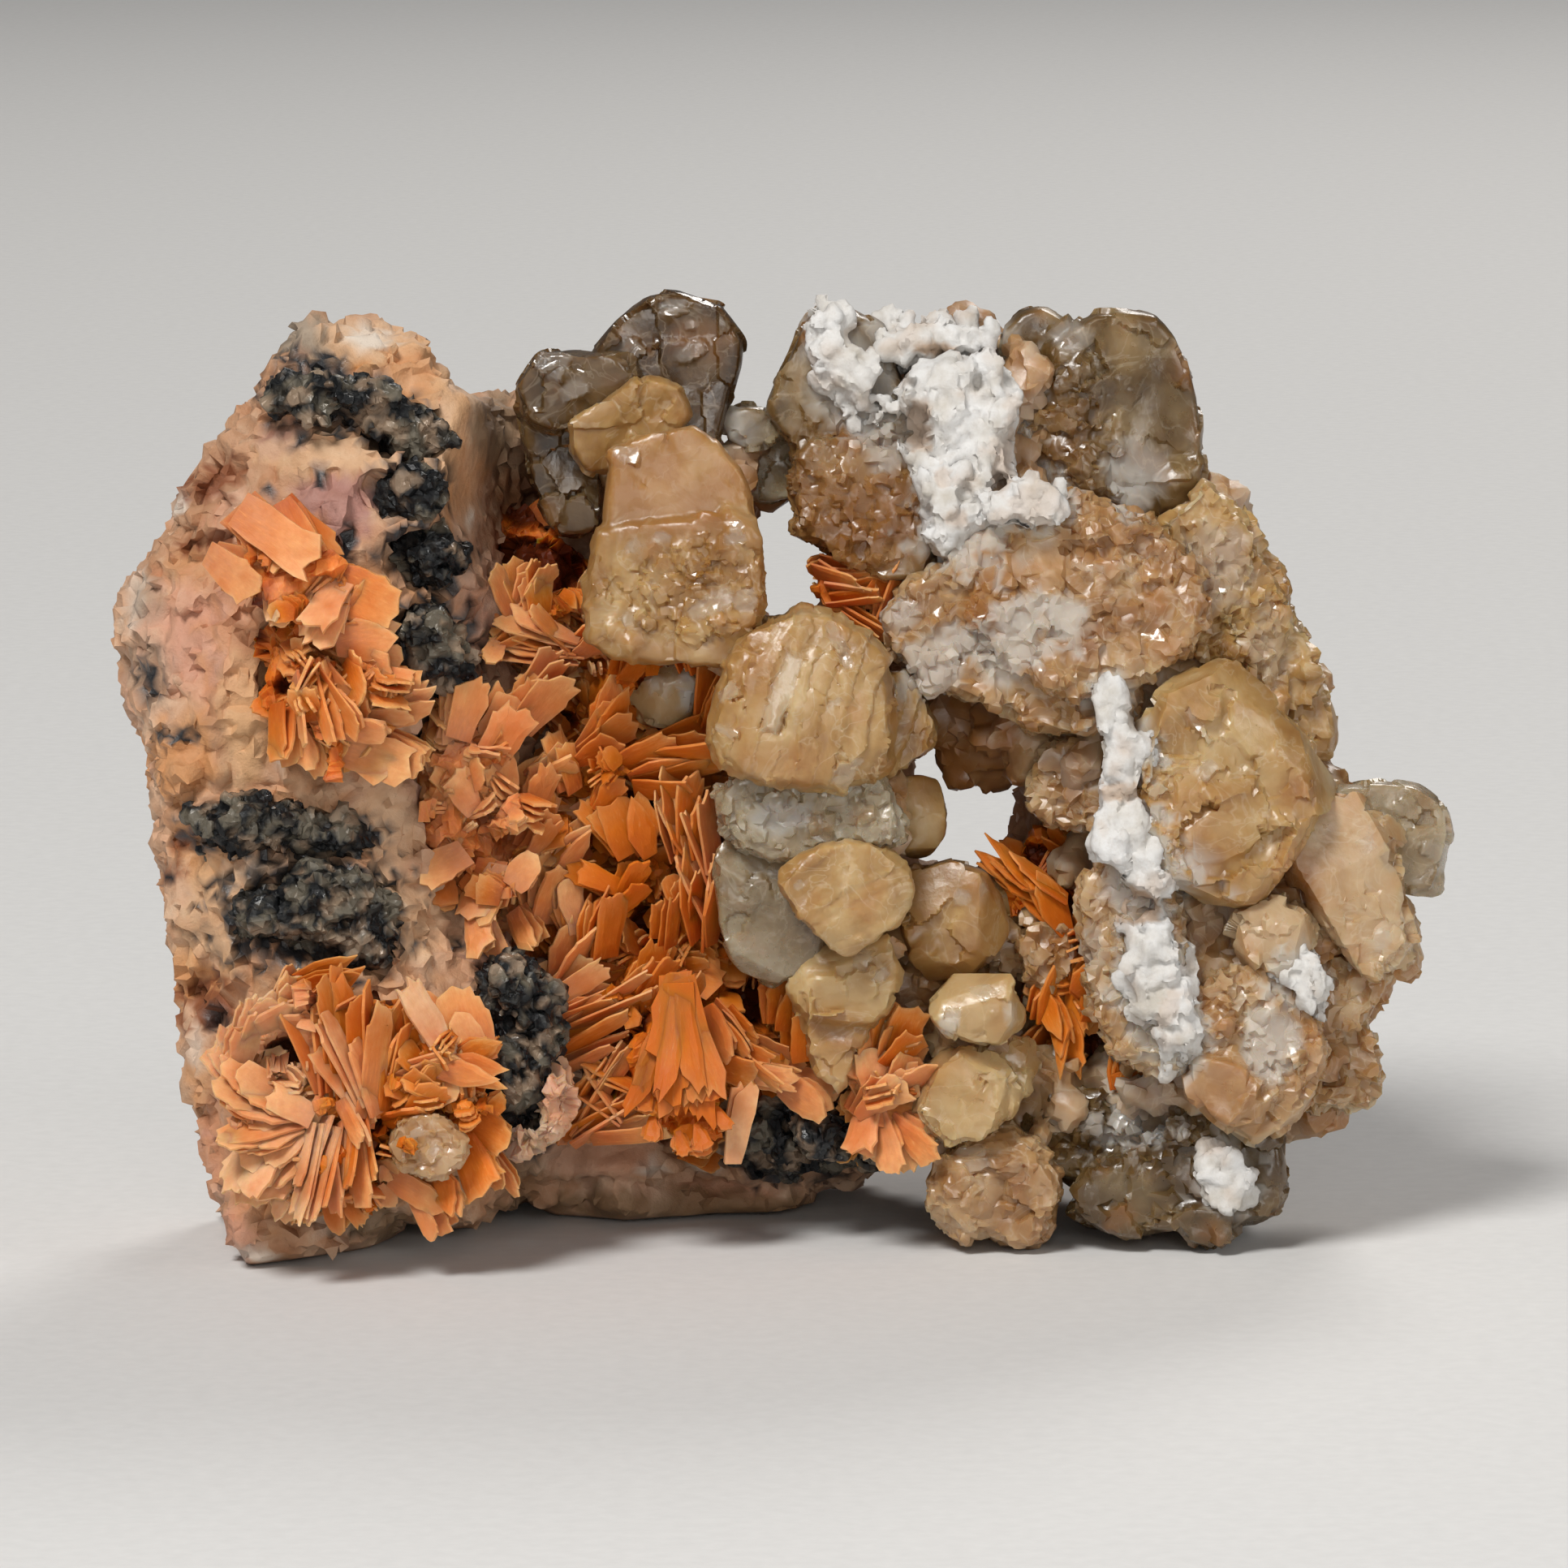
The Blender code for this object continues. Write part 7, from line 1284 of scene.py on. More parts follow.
def cavity_lining():
    B = Blades()
    B.free = [(820, 860, 42, 42)]
    base = base_of("barite_cavity_lining", -0.35, 0.28, 4)
    # thin blades that radiate at the top
    for k, (u, v, t, r, l, tint) in enumerate(((690, 800, 150, 56, 4.6, 0.25), (700, 792, 168, 60, 5.2, 0.35), (705, 806, 178, 62, 5.6, 0.40), (680, 790, 130, 50, 4.4, 0.3), (660, 770, 108, 54, 3.8, 0.1), (655, 745, 82, 60, 3.8, 0.15), (640, 740, 70, 50, 3.4, 0.25), (620, 760, 120, 40, 3.6, 0.35), (690, 850, 195, 50, 4.6, 0.45), (720, 795, 30, 50, 2.6, 0.2))):
        B.book(u, v, -5.4, t, 14, r, l, 1.8, 0.32, 2, 0.55, 9, tint, "fan", k)
    # broad pale masses of the left wall
    for k, (u, v, t, roll, l, tint) in enumerate(((560, 900, 70, 20, 3.8, 0.50), (600, 930, 60, 18, 5.0, 0.35), (640, 890, 55, 22, 5.2, 0.30), (655, 860, 50, 40, 4.4, 0.45), (570, 985, 120, 16, 4.0, 0.50), (620, 1000, 100, 22, 4.4, 0.42), (655, 990, 70, 26, 4.2, 0.30), (560, 1060, -150, 18, 3.6, 0.45), (610, 1080, -110, 22, 4.2, 0.40), (655, 1040, 60, 24, 3.8, 0.35), (590, 1130, -80, 22, 4.0, 0.40), (665, 955, 35, 32, 3.2, 0.25), (640, 1130, -60, 26, 3.6, 0.30), (680, 1100, 95, 44, 4.0, 0.35), (665, 1120, 80, 56, 4.4, 0.30))):
        B.book(u, v, -9.6 + (u - 560) * 0.03, t, 12, roll + 8, l * 0.9, l * 0.52, 0.42, 2, 0.6, 9, tint, "block" if k % 2 else "chisel", 20 + k, 0.05, 0.09)
    # deep orange blades of the middle
    for k, (u, v, t, r, l, tint) in enumerate((
        (806, 812, 80, 30, 3.4, -0.7), (846, 812, 100, 56, 3.6, -0.5), (772, 824, 66, 50, 3.6, -0.5), (870, 880, 60, 60, 4.0, -0.4), (740, 900, 65, 40, 3.6, -0.2), (770, 930, 40, 34, 4.4, -0.1), (800, 925, 18, 50, 5.4, -0.3), (790, 948, 12, 56, 5.6, 0.1), (800, 962, 8, 60, 5.0, -0.3), (720, 925, 40, 50, 4.4, 0.15),
        (755, 905, 78, 40, 4.0, 0.25), (700, 960, 100, 40, 3.4, 0.2), (740, 985, 50, 20, 3.2, -0.4), (790, 1035, 100, 14, 4.6, -0.55), (765, 1040, 120, 30, 4.0, -0.4), (835, 1040, 92, 60, 4.8, 0.1), (852, 1040, 100, 66, 4.6, 0.0), (870, 1060, 104, 66, 5.2, 0.35), (882, 1120, 97, 70, 6.2, 0.25), (868, 1150, 95, 66, 5.4, 0.0),
        (745, 1090, 150, 20, 3.6, -0.9), (765, 1110, 60, 30, 3.2, -0.95), (720, 1150, 88, 50, 4.2, -0.3), (740, 1160, 80, 40, 4.0, -0.2), (700, 1140, 100, 40, 4.0, 0.3), (690, 1190, 70, 50, 3.4, 0.2), (820, 1150, 85, 40, 3.2, -0.3), (845, 1120, 100, 50, 3.4, 0.0), (690, 1060, 55, 40, 3.4, 0.3))):
        B.book(u, v, -6.2, t, 16, r, l, l * 0.5, 0.36, 2, 0.6, 8, tint, ("fan", "leaf", "block")[k % 3], 40 + k)
    # the big fan plate, and thin blades that cross beside it
    B.book(905, 1420, -8.8, 84, 4, 26, 4.6, 1.8, 0.42, 1, 0.4, 0, 0.75, "chisel", 66)
    B.book(845, 1402, -9.5, 70, 5, 20, 1.6, 1.6, 0.4, 1, 0.4, 0, -1.0, "round", 67)
    for k, (u, v, t, l, r) in enumerate(((690, 1385, 52, 5.6, 66), (705, 1390, 60, 5.2, 70), (722, 1395, 36, 5.6, 60), (700, 1392, 28, 4.4, 50), (760, 1375, 130, 4.2, 70), (740, 1400, 12, 4.4, 50), (780, 1340, 155, 4.0, 70), (745, 1330, 62, 3.6, 60), (700, 1310, 20, 4.2, 56), (690, 1290, 30, 5.2, 40), (700, 1265, 32, 5.8, 50), (700, 1250, 22, 4.6, 56))):
        B.book(u, v, -7.2, t, 8, r, l, 1.3, 0.34, 1, 0.5, 6, 0.25 if k % 3 else -0.1, "slat", 70 + k)
    for k, (u, v, t, r, tint) in enumerate(((690, 1220, 30, 24, 0.3), (720, 1245, 20, 22, 0.35), (665, 1240, 80, 30, 0.3), (900, 1262, -50, 60, 0.1), (915, 1290, -30, 50, 0.2), (960, 1250, 80, 30, -0.3), (985, 1290, 80, 30, -0.5), (880, 1250, -55, 60, 0.3), (930, 1320, -10, 30, 0.4), (985, 1340, -20, 30, 0.5), (900, 1310, -15, 40, -0.1), (780, 1240, 60, 50, -0.4), (800, 1215, 70, 44, -0.7))):
        B.book(u, v, -6.4, t, 12, r, 3.6, 2.0, 0.36, 2, 0.6, 8, tint, "round" if k % 2 else "block", 80 + k)
    dark = [(690, 887, 19, 12, 20, 1.5), (685, 918, 9, 12, 0, 1.8), (792, 986, 26, 16, 15), (848, 985, 10, 14, 0), (800, 1145, 24, 30, 0, 1.8), (850, 1202, 10, 8, 0), (940, 1232, 40, 30, 10, 1.6), (716, 1312, 16, 20, 20, 1.4), (745, 1345, 26, 12, -50, 1.0), (790, 1255, 12, 16, 0), (652, 700, 60, 34, 0, 1.2), (655, 615, 44, 40, 0, 1.5), (880, 865, 14, 30, 0), (664, 938, 7, 16, -15, 1.0), (832, 1305, 4, 50, 0, 0.4), (930, 1297, 18, 6, 0, 1.5), (730, 1278, 16, 8, -20, 0.8), (895, 900, 10, 16, 0, 1.2), (705, 690, 16, 40, 0, 1.2)]
    B.grow_on(base, 340, 1.8, 41, lambda u, v, y: patch(u, v, 590, 1000, 110, 250), 0.38, 0.85, 0.40, 0.6, (6, 60), swing=0.25, avoid=dark)
    B.grow_on(base, 440, 2.2, 42, lambda u, v, y: patch(u, v, 780, 950, 130, 230), -0.5, 0.8, 0.34, 0.5, (12, 60), swing=0.4, avoid=dark)
    B.grow_on(base, 290, 2.2, 43, lambda u, v, y: patch(u, v, 820, 1260, 190, 130), -0.35, 0.8, 0.34, 0.5, (10, 60), swing=0.4, avoid=dark + [(850, 1320, 70, 110, 0)])
    B.grow_on(base, 190, 2.3, 44, lambda u, v, y: patch(u, v, 660, 760, 100, 100), 0.25, 0.7, 0.32, 0.5, (15, 65), avoid=dark)
    shade = lambda u, v: 0.35 * patch(u, v, 590, 980, 110, 270, 0, 0.4) - 0.45 * patch(u, v, 800, 1000, 130, 260, 0, 0.4) - 0.3 * patch(u, v, 840, 1300, 120, 130)
    with_base("barite_cavity_blades", "barite_cavity_lining", B, base, tint=shade, dark=dark)


def big_plate():
    """The broad upright plate of the lower cavity: long striated blades grown side by side, ragged at the foot."""
    B = Blades()
    rnd = random.Random(12)
    for k in range(11):
        turn = -103 + k * 2.9 + rnd.uniform(-1.2, 1.2)
        length = 7.9 - abs(k - 5.5) * 0.18 + rnd.uniform(-0.5, 0.4)
        B.book(828 + k * 1.6, 1224 + abs(k - 5) * 2.5, -9.3 - 0.10 * (k % 3), turn, 6, rnd.uniform(-9, 9) + (-8 if k < 3 else 8 if k > 8 else 0), length, rnd.uniform(1.5, 2.1), 0.7, 1, 0.4, 0, rnd.choice((-1.1, -0.95, -0.85)) + (0.5 if k > 8 else 0), "slat" if k % 2 else "chisel", 300 + k, 0.03, 0.10)
    for u, v, turn, length in ((806, 1390, -96, 1.6), (838, 1404, -84, 1.4), (862, 1400, -78, 1.5), (886, 1375, -66, 1.6), (796, 1350, -110, 1.5)):
        B.book(u, v, -9.8, turn, 10, rnd.uniform(-20, 20), length, 1.2, 0.5, 2, 0.4, 8, -0.5, "fan", int(u))
    s = B.skin()
    s.attrs["dark"] = np.clip(0.24 + 0.14 * rough(s.p, 2.0, 2, 14), 0, 0.42)
    show("barite_big_plate", s, BARITE, (), False)


def small_rosettes():
    for name, node, middle, tint, count, length, seed, dark in (
        ("barite_upper_right_blades", "barite_upper_right", (1070, 735, 70, 100), 0.05, 130, 2.2, 51, [(1060, 700, 14, 10, 0), (1095, 770, 10, 14, 0)]),
        ("barite_inner_right_blades", "barite_inner_right", (1300, 1200, 110, 190), -0.35, 190, 2.4, 52, [(1335, 1290, 28, 50, 0, 1.6), (1300, 1120, 30, 20, 0), (1285, 1060, 24, 16, 20)]),
        ("barite_base_tuft_blades", "barite_base_tuft", (1090, 1335, 60, 100), 0.22, 130, 2.3, 53, [(1075, 1300, 8, 24, 10), (1110, 1350, 8, 20, 0)]),
    ):
        B = Blades()
        base = base_of(node)
        cu, cv, ru, rv = middle
        B.grow_on(base, count, length, seed, lambda u, v, y: patch(u, v, cu, cv, ru, rv), tint, 0.7, 0.34, 0.5, (15, 65), avoid=dark)
        if node == "barite_upper_right":
            for k, (u, v, t, r) in enumerate(((1020, 700, -20, 60), (1030, 715, -8, 64), (1035, 735, 5, 60), (1060, 690, 40, 50), (1080, 720, 60, 40), (1050, 760, -35, 60), (1085, 745, 80, 50))):
                B.book(u, v, -5.2, t, 14, r, 3.6, 1.5, 0.32, 2, 0.5, 7, 0.15, "slat", k)
        if node == "barite_inner_right":
            for k, (u, v, t, r, l) in enumerate(((1262, 1082, 140, 60, 3.2), (1280, 1095, 150, 50, 4.0), (1290, 1100, 142, 56, 5.2), (1300, 1130, 120, 40, 4.0), (1290, 1230, -60, 40, 3.6), (1310, 1260, -80, 40, 3.6), (1340, 1240, 70, 40, 3.4), (1350, 1190, 80, 30, 3.6), (1330, 1210, 60, 30, 3.4), (1280, 1240, 75, 50, 3.8), (1385, 1325, 10, 20, 1.8), (1375, 1330, 90, 30, 1.8))):
                B.book(u, v, -5.4, t, 10, r, l, l * 0.45, 0.36, 2, 0.5, 7, -0.45, "leaf", k)
        if node == "barite_base_tuft":
            for k, (u, v, t, r, tint2) in enumerate(((1060, 1300, 88, 40, 0.35), (1082, 1290, 72, 50, 0.1), (1100, 1295, 60, 40, -0.2), (1070, 1340, 100, 30, 0.4), (1110, 1330, 50, 40, 0.3), (1095, 1385, -80, 30, 0.3), (1070, 1390, -105, 30, 0.5), (1118, 1385, -50, 30, 0.3), (1085, 1345, 20, 24, 0.5), (1060, 1365, 40, 30, 0.45))):
                B.book(u, v, -8.4, t, 12, r, 3.2, 2.2, 0.42, 2, 0.55, 8, tint2, "fan" if k % 2 else "block", k)
        with_base(name, node, B, base, tint=tint - 0.1, dark=dark)


def pale_fan():
    """A curved pale shell of thin plates, which spreads round the galena's lower right."""
    B = Blades()
    rnd = random.Random(4)
    for ring, reach, size in ((0, 40, 1.7), (1, 50, 1.6), (2, 58, 1.3)):
        for i in range(11):
            a = math.radians(22 - i * 13.5 + ring * 5 + rnd.uniform(-4, 4))
            u, v = 642 + math.cos(a) * reach * 0.85, 1344 - math.sin(a) * reach * 1.05
            B.book(u, v, -9.7 + ring * 0.5, math.degrees(a), 14 - ring * 6, rnd.uniform(-16, 16), size, 1.5, 0.3, 1, 0.4, 5, 0.4, ("round", "fan", "chisel")[i % 3], i + ring * 20)
    base = base_of("barite_pale_fan", -0.15, 0.2, 5)
    with_base("barite_pale_shell", "barite_pale_fan", B, base, SHELL, 0.4)


slab_rosette()
lower_rosette()
cavity_lining()
small_rosettes()
big_plate()
pale_fan()
print("barite", round(time.time() - START, 1), "s")


# ---- rock -----------------------------------------------------------------------------------------------------------
PITS = [  # u, v, ru, rv, depth in mm, turn
    (268, 588, 44, 24, 1.5, -20), (262, 666, 40, 11, 1.3, -15), (252, 1232, 34, 34, 2.0, 10), (284, 1281, 16, 11, 1.0, 0), (352, 1299, 27, 22, 1.4, 0),
    (412, 592, 10, 14, 0.5, 0), (330, 522, 20, 7, 0.5, 5), (238, 1030, 16, 12, 0.7, 0), (212, 1076, 16, 14, 0.6, 0), (300, 760, 18, 12, 0.8, 0), (210, 905, 30, 10, 0.4, -10),
    (182, 838, 18, 26, 0.4, 10), (520, 520, 26, 12, 0.5, 30), (560, 1160, 12, 8, 0.6, 0), (470, 1470, 30, 8, 0.6, 0), (300, 1430, 16, 20, 0.5, 0), (700, 1450, 50, 6, 0.4, 5), (860, 1452, 60, 6, 0.5, 4),
]


def matrix():
    s = voxel([node_shape("matrix", 0.05)], 0.31 * SCALE)
    s.smooth(6)
    u, v, y = seen(s.p)
    n = s.normals()
    front = np.clip(n @ TO_EYE, 0, 1)
    loose = step(0.1, 1.2, s.p[:, 2])  # the face that it rests on stays as it is
    calm = np.maximum(patch(u, v, 578, 580, 34, 120), patch(u, v, 740, 1415, 90, 34))
    s.push(loose * 0.5 * rough(s.p, 6.5, 3, 1))
    off, rand, near, far = cells(s.p + 0.8 * wave(s.p, 2.0, 5)[:, None], 3.6, 2)
    s.push(loose * (1 - 0.7 * calm) * 0.42 * np.clip((off * rand).sum(1) / 1.8 + 0.5 * rand[:, 1], -1.2, 1.2))
    off, rand, near, far = cells(s.p + 0.4 * wave(s.p, 0.9, 6)[:, None], 1.5, 3)
    s.push(loose * (1 - 0.8 * calm) * 0.22 * np.clip((off * rand).sum(1) / 0.7 + 0.6 * rand[:, 1], -1.2, 1.2))
    for cu, cv, ru, rv, deep, turn in PITS:
        wob = 0.3 * rough(s.p, 1.4, 2, int(cu))
        s.p = s.p - TO_EYE * (deep * front * step(0.25, 0.8, patch(u, v, cu, cv, ru, rv, turn, 0.6) + wob))[:, None]
    lines = [(340, 1075, 440, 1040, 7, 0.5), (425, 1020, 565, 1165, 7, 0.6), (580, 625, 580, 655, 9, 0.6), (500, 1110, 640, 1190, 8, 0.35), (345, 800, 352, 960, 7, 0.7), (283, 690, 262, 960, 12, 0.4), (600, 480, 560, 660, 16, 0.5)]
    for u0, v0, u1, v1, wide, high in lines:
        s.p = s.p + TO_EYE * (high * front * ridge(u, v, u0, v0, u1, v1, wide))[:, None]
    # ledges run along the lower middle
    ledge = patch(u, v, 830, 1455, 190, 60, 0, 0.3)
    s.push(ledge * 0.35 * np.sin(v / 6.5 + 1.6 * wave(s.p, 4.0, 9)))
    u, v, y = seen(s.p)
    ore = blot(u, v, 0.5 * rough(s.p, 1.6, 2, 31), [(395, 482, 84, 50, 28), (486, 526, 56, 50, 20), (512, 602, 58, 46, 0), (524, 684, 74, 48, 18), (534, 800, 66, 80, 0), (300, 1018, 84, 40), (420, 1030, 60, 32), (385, 1125, 120, 82), (640, 1285, 72, 120), (955, 1402, 62, 60), (1020, 1408, 44, 46)], 0.5)
    s.p = s.p + TO_EYE * (0.45 * ore * front)[:, None]
    s.push(loose * (0.16 - 0.10 * calm) * rough(s.p, 1.3, 4, 4, 0.64))
    off, rand, near, far = cells(s.p + 0.2 * wave(s.p, 0.6, 8)[:, None], 0.85, 9)
    s.push(loose * (1 - 0.8 * calm) * 0.13 * np.clip((off * rand).sum(1) / 0.4 + 0.5 * rand[:, 1], -1.2, 1.2))
    s.p[:, 2] = np.maximum(s.p[:, 2], 0.02)
    a, b, c = rough(s.p, 3.0, 3, 21), rough(s.p, 1.0, 3, 22), rough(s.p, 0.45, 2, 23)
    mixed = 0.6 * a + 0.8 * b
    u, v, y = seen(s.p)
    dark = 0.7 * b + 0.9 * c
    behind = 1 - step(-0.2, 0.2, n @ TO_EYE)
    s.attrs = {
        "mauve": 0.75 * blot(u, v, mixed, [(412, 628, 54, 50, 0, 0.9), (300, 735, 40, 34, 0, 0.35), (255, 800, 50, 50, 0, 0.3), (270, 1385, 26, 60, 0, 0.4), (350, 545, 30, 16, 0, 0.6)]),
        "pink": 0.7 * blot(u, v, mixed, [(250, 780, 70, 80, 0, 0.7), (290, 1520, 22, 40, -20, 0.9), (310, 640, 60, 40, 0, 0.5), (640, 1130, 90, 90, 0, 0.7), (260, 1440, 30, 60, 0, 0.6), (740, 1420, 80, 34, 0, 0.45), (900, 1470, 80, 14, 0, 0.5)]),
        "ochre": 0.8 * blot(u, v, mixed, [(395, 820, 130, 150, 0, 0.45), (420, 1350, 180, 170, 0, 0.40), (505, 470, 44, 54, 20, 0.55), (575, 570, 26, 90, 8, 0.45), (225, 930, 44, 60, 0, 0.6), (250, 1040, 40, 40, 0, 0.6), (310, 880, 34, 80, 0, 0.6), (235, 1210, 44, 40, 0, 0.7), (447, 451, 10, 10, 0, 1.0), (540, 620, 30, 40, 0, 0.5), (370, 980, 60, 20, 0, 0.3), (870, 1390, 60, 30, 0, 0.5), (255, 700, 50, 26, 0, 0.4), (250, 1330, 24, 40, 0, 0.5)]),
        "cream": 0.65 * blot(u, v, mixed, [(430, 420, 90, 30, 0, 0.6), (400, 560, 80, 26, 0, 0.6), (300, 900, 30, 90, 0, 0.7), (270, 1130, 60, 60, 0, 0.6), (540, 540, 26, 60, 0, 0.5), (480, 1010, 40, 80, 0, 0.5), (520, 1130, 60, 40, 30, 0.6), (560, 480, 26, 34, 0, 0.6)]),
        "chalk": 0.85 * (1 - behind) * blot(u, v, mixed, [(450, 416, 30, 14, 5), (219, 620, 13, 15), (346, 880, 8, 80, 3, 0.8), (580, 640, 6, 14), (318, 1545, 26, 10, 10, 0.9), (803, 1442, 22, 6, 0, 0.8), (165, 740, 12, 40, 10, 0.6), (640, 1140, 26, 10, 40, 0.6), (870, 1430, 24, 14, 0, 0.6), (240, 1290, 12, 30, 0, 0.6), (420, 1500, 50, 20, 0, 0.5)]),
        "grey": 0.8 * blot(u, v, mixed, [(372, 414, 30, 28), (396, 436, 14, 22, 0, 0.7), (604, 520, 26, 50, 10, 0.6), (185, 830, 26, 44, 0, 0.4), (180, 740, 22, 26, 0, 0.5), (380, 1075, 90, 26, 0, 0.5), (460, 1505, 44, 26, 0, 0.5)]),
        # rust is painted in the pits; its spot at (652, 630) paints the deep hollow by the cavity dark, which is
        # painted shade
        "rust": 0.9 * blot(u, v, dark, [(268, 590, 40, 20, -20), (262, 668, 38, 9, -15), (252, 1236, 32, 32, 10), (284, 1281, 16, 11), (352, 1299, 25, 20), (374, 436, 10, 6, 0, 0.6), (226, 1036, 14, 12), (212, 1076, 18, 14, 0, 0.8), (350, 525, 26, 6, 0, 0.6), (652, 630, 44, 60, 0, 1.0), (1000, 1420, 60, 20, 0, 0.5), (225, 600, 24, 18, 0, 0.6)], 0.8),
        # the olive patches along the underside of the foot and in the deep hollow left of the cavity are painted shade
        "olive": 0.75 * blot(u, v, mixed, [(610, 525, 26, 50, 10, 0.8), (460, 1505, 40, 26, 0, 0.8), (840, 1485, 200, 20, 0, 0.9), (650, 1440, 20, 60, 0, 0.5), (630, 600, 30, 60, 0, 0.5)]) * (1 - 0.4 * behind),
        "lead": blot(u, v, dark, [
            (395, 482, 66, 38, 28), (486, 526, 42, 36, 20), (512, 602, 44, 34, 0), (524, 684, 60, 36, 18), (534, 800, 52, 66, 0), (343, 523, 18, 6, 10), (370, 540, 8, 11), (331, 606, 10, 7), (396, 590, 8, 14), (431, 672, 12, 26),
            (183, 838, 17, 24), (215, 905, 26, 10), (300, 1018, 70, 30), (420, 1030, 50, 22), (385, 1125, 108, 70), (445, 1210, 10, 4), (640, 1285, 58, 110), (616, 1370, 40, 40), (955, 1402, 52, 50), (1020, 1408, 34, 36), (1102, 1426, 42, 14),
            (318, 490, 10, 7), (300, 1281, 12, 8), (286, 1290, 14, 8), (238, 1035, 8, 6), (350, 1300, 14, 12, 0, 0.8), (560, 1165, 8, 5), (322, 945, 6, 4), (575, 755, 10, 14), (470, 470, 12, 10), (210, 1082, 8, 6), (265, 1255, 14, 18, 0, 0.8),
        ], 0.85) * np.maximum(1 - behind, step(0.45, 0.6, mixed)),
    }
    show("rock", s, ROCK, ["matrix"], True, 50, keep=0.41)


def galena(node, extra=(), grains=60, seed=0):
    rnd = random.Random(seed)
    shapes = [node_shape(node, 0.05)]
    for u, v, y, ru, rv, ry in extra:
        shapes.append(lump(u, v, y, ru, rv, ry, 18, seed, 0.25))
    base = voxel(shapes, 0.5)
    n = base.normals()
    ok = np.nonzero(n @ TO_EYE > 0.0)[0]
    for _ in range(grains):
        i = ok[rnd.randrange(len(ok))]
        r = rnd.uniform(0.25, 0.75)
        axis = [rnd.uniform(-1, 1) for _ in range(3)]
        shapes.append(gem(base.p[i] - n[i] * r * 0.35, axis, r, r * rnd.uniform(0.7, 1.1), r * rnd.uniform(0.7, 1.2), rnd, 4))
    s = voxel(shapes, 0.17 * SCALE)
    s.smooth(1)
    s.push(0.70 * rough(s.p, 2.2, 3, seed + 3))
    s.p = s.p - TO_EYE * 1.5
    off, rand, near, far = cells(s.p, 0.8, seed + 4)
    s.push(0.16 * np.clip((off * rand).sum(1) / 0.35 + rand[:, 0], -1.3, 1.3))
    off, rand, near, far = cells(s.p, 1.5, seed + 5)
    s.attrs = {"glassy": step(0.15, 0.4, rand[:, 1] + 0.5 * rough(s.p, 0.9, 2, seed + 6) - 0.2), "veil": step(0.16, 0.42, rough(s.p, 1.6, 3, seed + 7))}
    show(node + "_grains", s, GALENA, [node], False, keep=0.5)


def crust(node, seed, lumps, size=0.17, stains=(), shrink=-0.25, sinks=()):
    """White crust as a crowd of lumps. lumps are (u, v, ru, rv, count, smallest, largest)."""
    rnd = random.Random(seed)
    shapes = [node_shape(node, shrink)]
    base = voxel([node_shape(node, 0.1)], 0.5)
    n = base.normals()
    u, v, y = seen(base.p)
    face = n @ TO_EYE > -0.2
    for cu, cv, ru, rv, count, small, large in lumps:
        for _ in range(count):
            a, r = rnd.uniform(0, 6.28), math.sqrt(rnd.random())
            pu, pv = cu + ru * r * math.cos(a), cv + rv * r * math.sin(a)
            d = np.where(face, np.hypot(u - pu, v - pv), 1e9)
            i = int(np.argmin(d))
            k = rnd.uniform(small, large)
            q = seen(base.p[i])[2]
            q = float(q) + min(float(d[i]) * UNIT * 0.5, 1.5)
            shapes.append(lump(pu, pv, q, k / UNIT * rnd.uniform(0.8, 1.3), k / UNIT * rnd.uniform(0.9, 1.7), k * rnd.uniform(0.6, 1.0), 14, rnd.randrange(9999), 0.28))
    s = voxel(shapes, size * SCALE)
    s.smooth(2)
    s.p = s.p - TO_EYE * 0.25
    s.push(0.20 * rough(s.p, 2.6, 2, seed + 8) + 0.11 * rough(s.p, 1.1, 3, seed + 1, 0.7))
    off, rand, near, far = cells(s.p, 0.7, seed + 2)
    s.push(0.07 * rand[:, 0] - 0.05 * step(0.16, 0.0, far - near))
    off, rand, near, far = cells(s.p * np.array([1.0, 1.0, 0.7]), 1.2, seed + 5)
    s.push(np.clip((off * rand).sum(1) * 0.30 + 0.08 * rand[:, 1], -0.20, 0.20))
    u, v, y = seen(s.p)
    for cu, cv, ru, rv, deep in sinks:  # bare places between its patches
        s.p = s.p - TO_EYE * (deep * blot(u, v, 0.6 * rough(s.p, 1.2, 2, seed + 6), [(cu, cv, ru, rv)], 0.6))[:, None]
    stain = np.clip(0.35 * step(0.1, 0.6, rough(s.p, 2.2, 3, seed + 3)), 0, 1)
    for spot in stains:
        stain = np.maximum(stain, blot(u, v, 0.7 * rough(s.p, 1.0, 2, seed + 4), [spot], 0.6))
    s.attrs = {"stain": stain}
    show(node + "_lumps", s, CRUST, [node], True, 60, keep=0.5)


matrix()
galena("galena_top_band", [(395, 480, -9.8, 50, 20, 1.2), (360, 500, -9.6, 26, 14, 1.0), (440, 505, -9.9, 30, 20, 1.2)], 70, 1)
galena("galena_upper_spot", [(505, 530, -9.6, 22, 24, 1.0)], 40, 2)
galena("galena_middle_spot", [(545, 690, -9.4, 26, 22, 1.0)], 50, 3)
galena("galena_edge_spot", [(520, 770, -9.6, 34, 30, 1.2), (548, 830, -9.0, 26, 32, 1.2)], 60, 4)
galena("galena_left_band", [(420, 1030, -10.6, 40, 16, 1.0), (350, 1012, -10.9, 26, 22, 1.0)], 70, 5)
galena("galena_large", [(340, 1120, -11.6, 42, 44, 1.6), (450, 1120, -11.4, 36, 44, 1.6), (400, 1170, -11.8, 44, 24, 1.4)], 130, 6)
galena("galena_slab_edge", [(635, 1215, -8.6, 34, 34, 1.6), (650, 1320, -8.8, 36, 40, 1.6), (612, 1372, -9.6, 26, 24, 1.4)], 110, 7)
galena("galena_base", [(1015, 1400, -6.6, 34, 34, 1.6), (1100, 1426, -5.2, 40, 12, 1.4)], 80, 8)
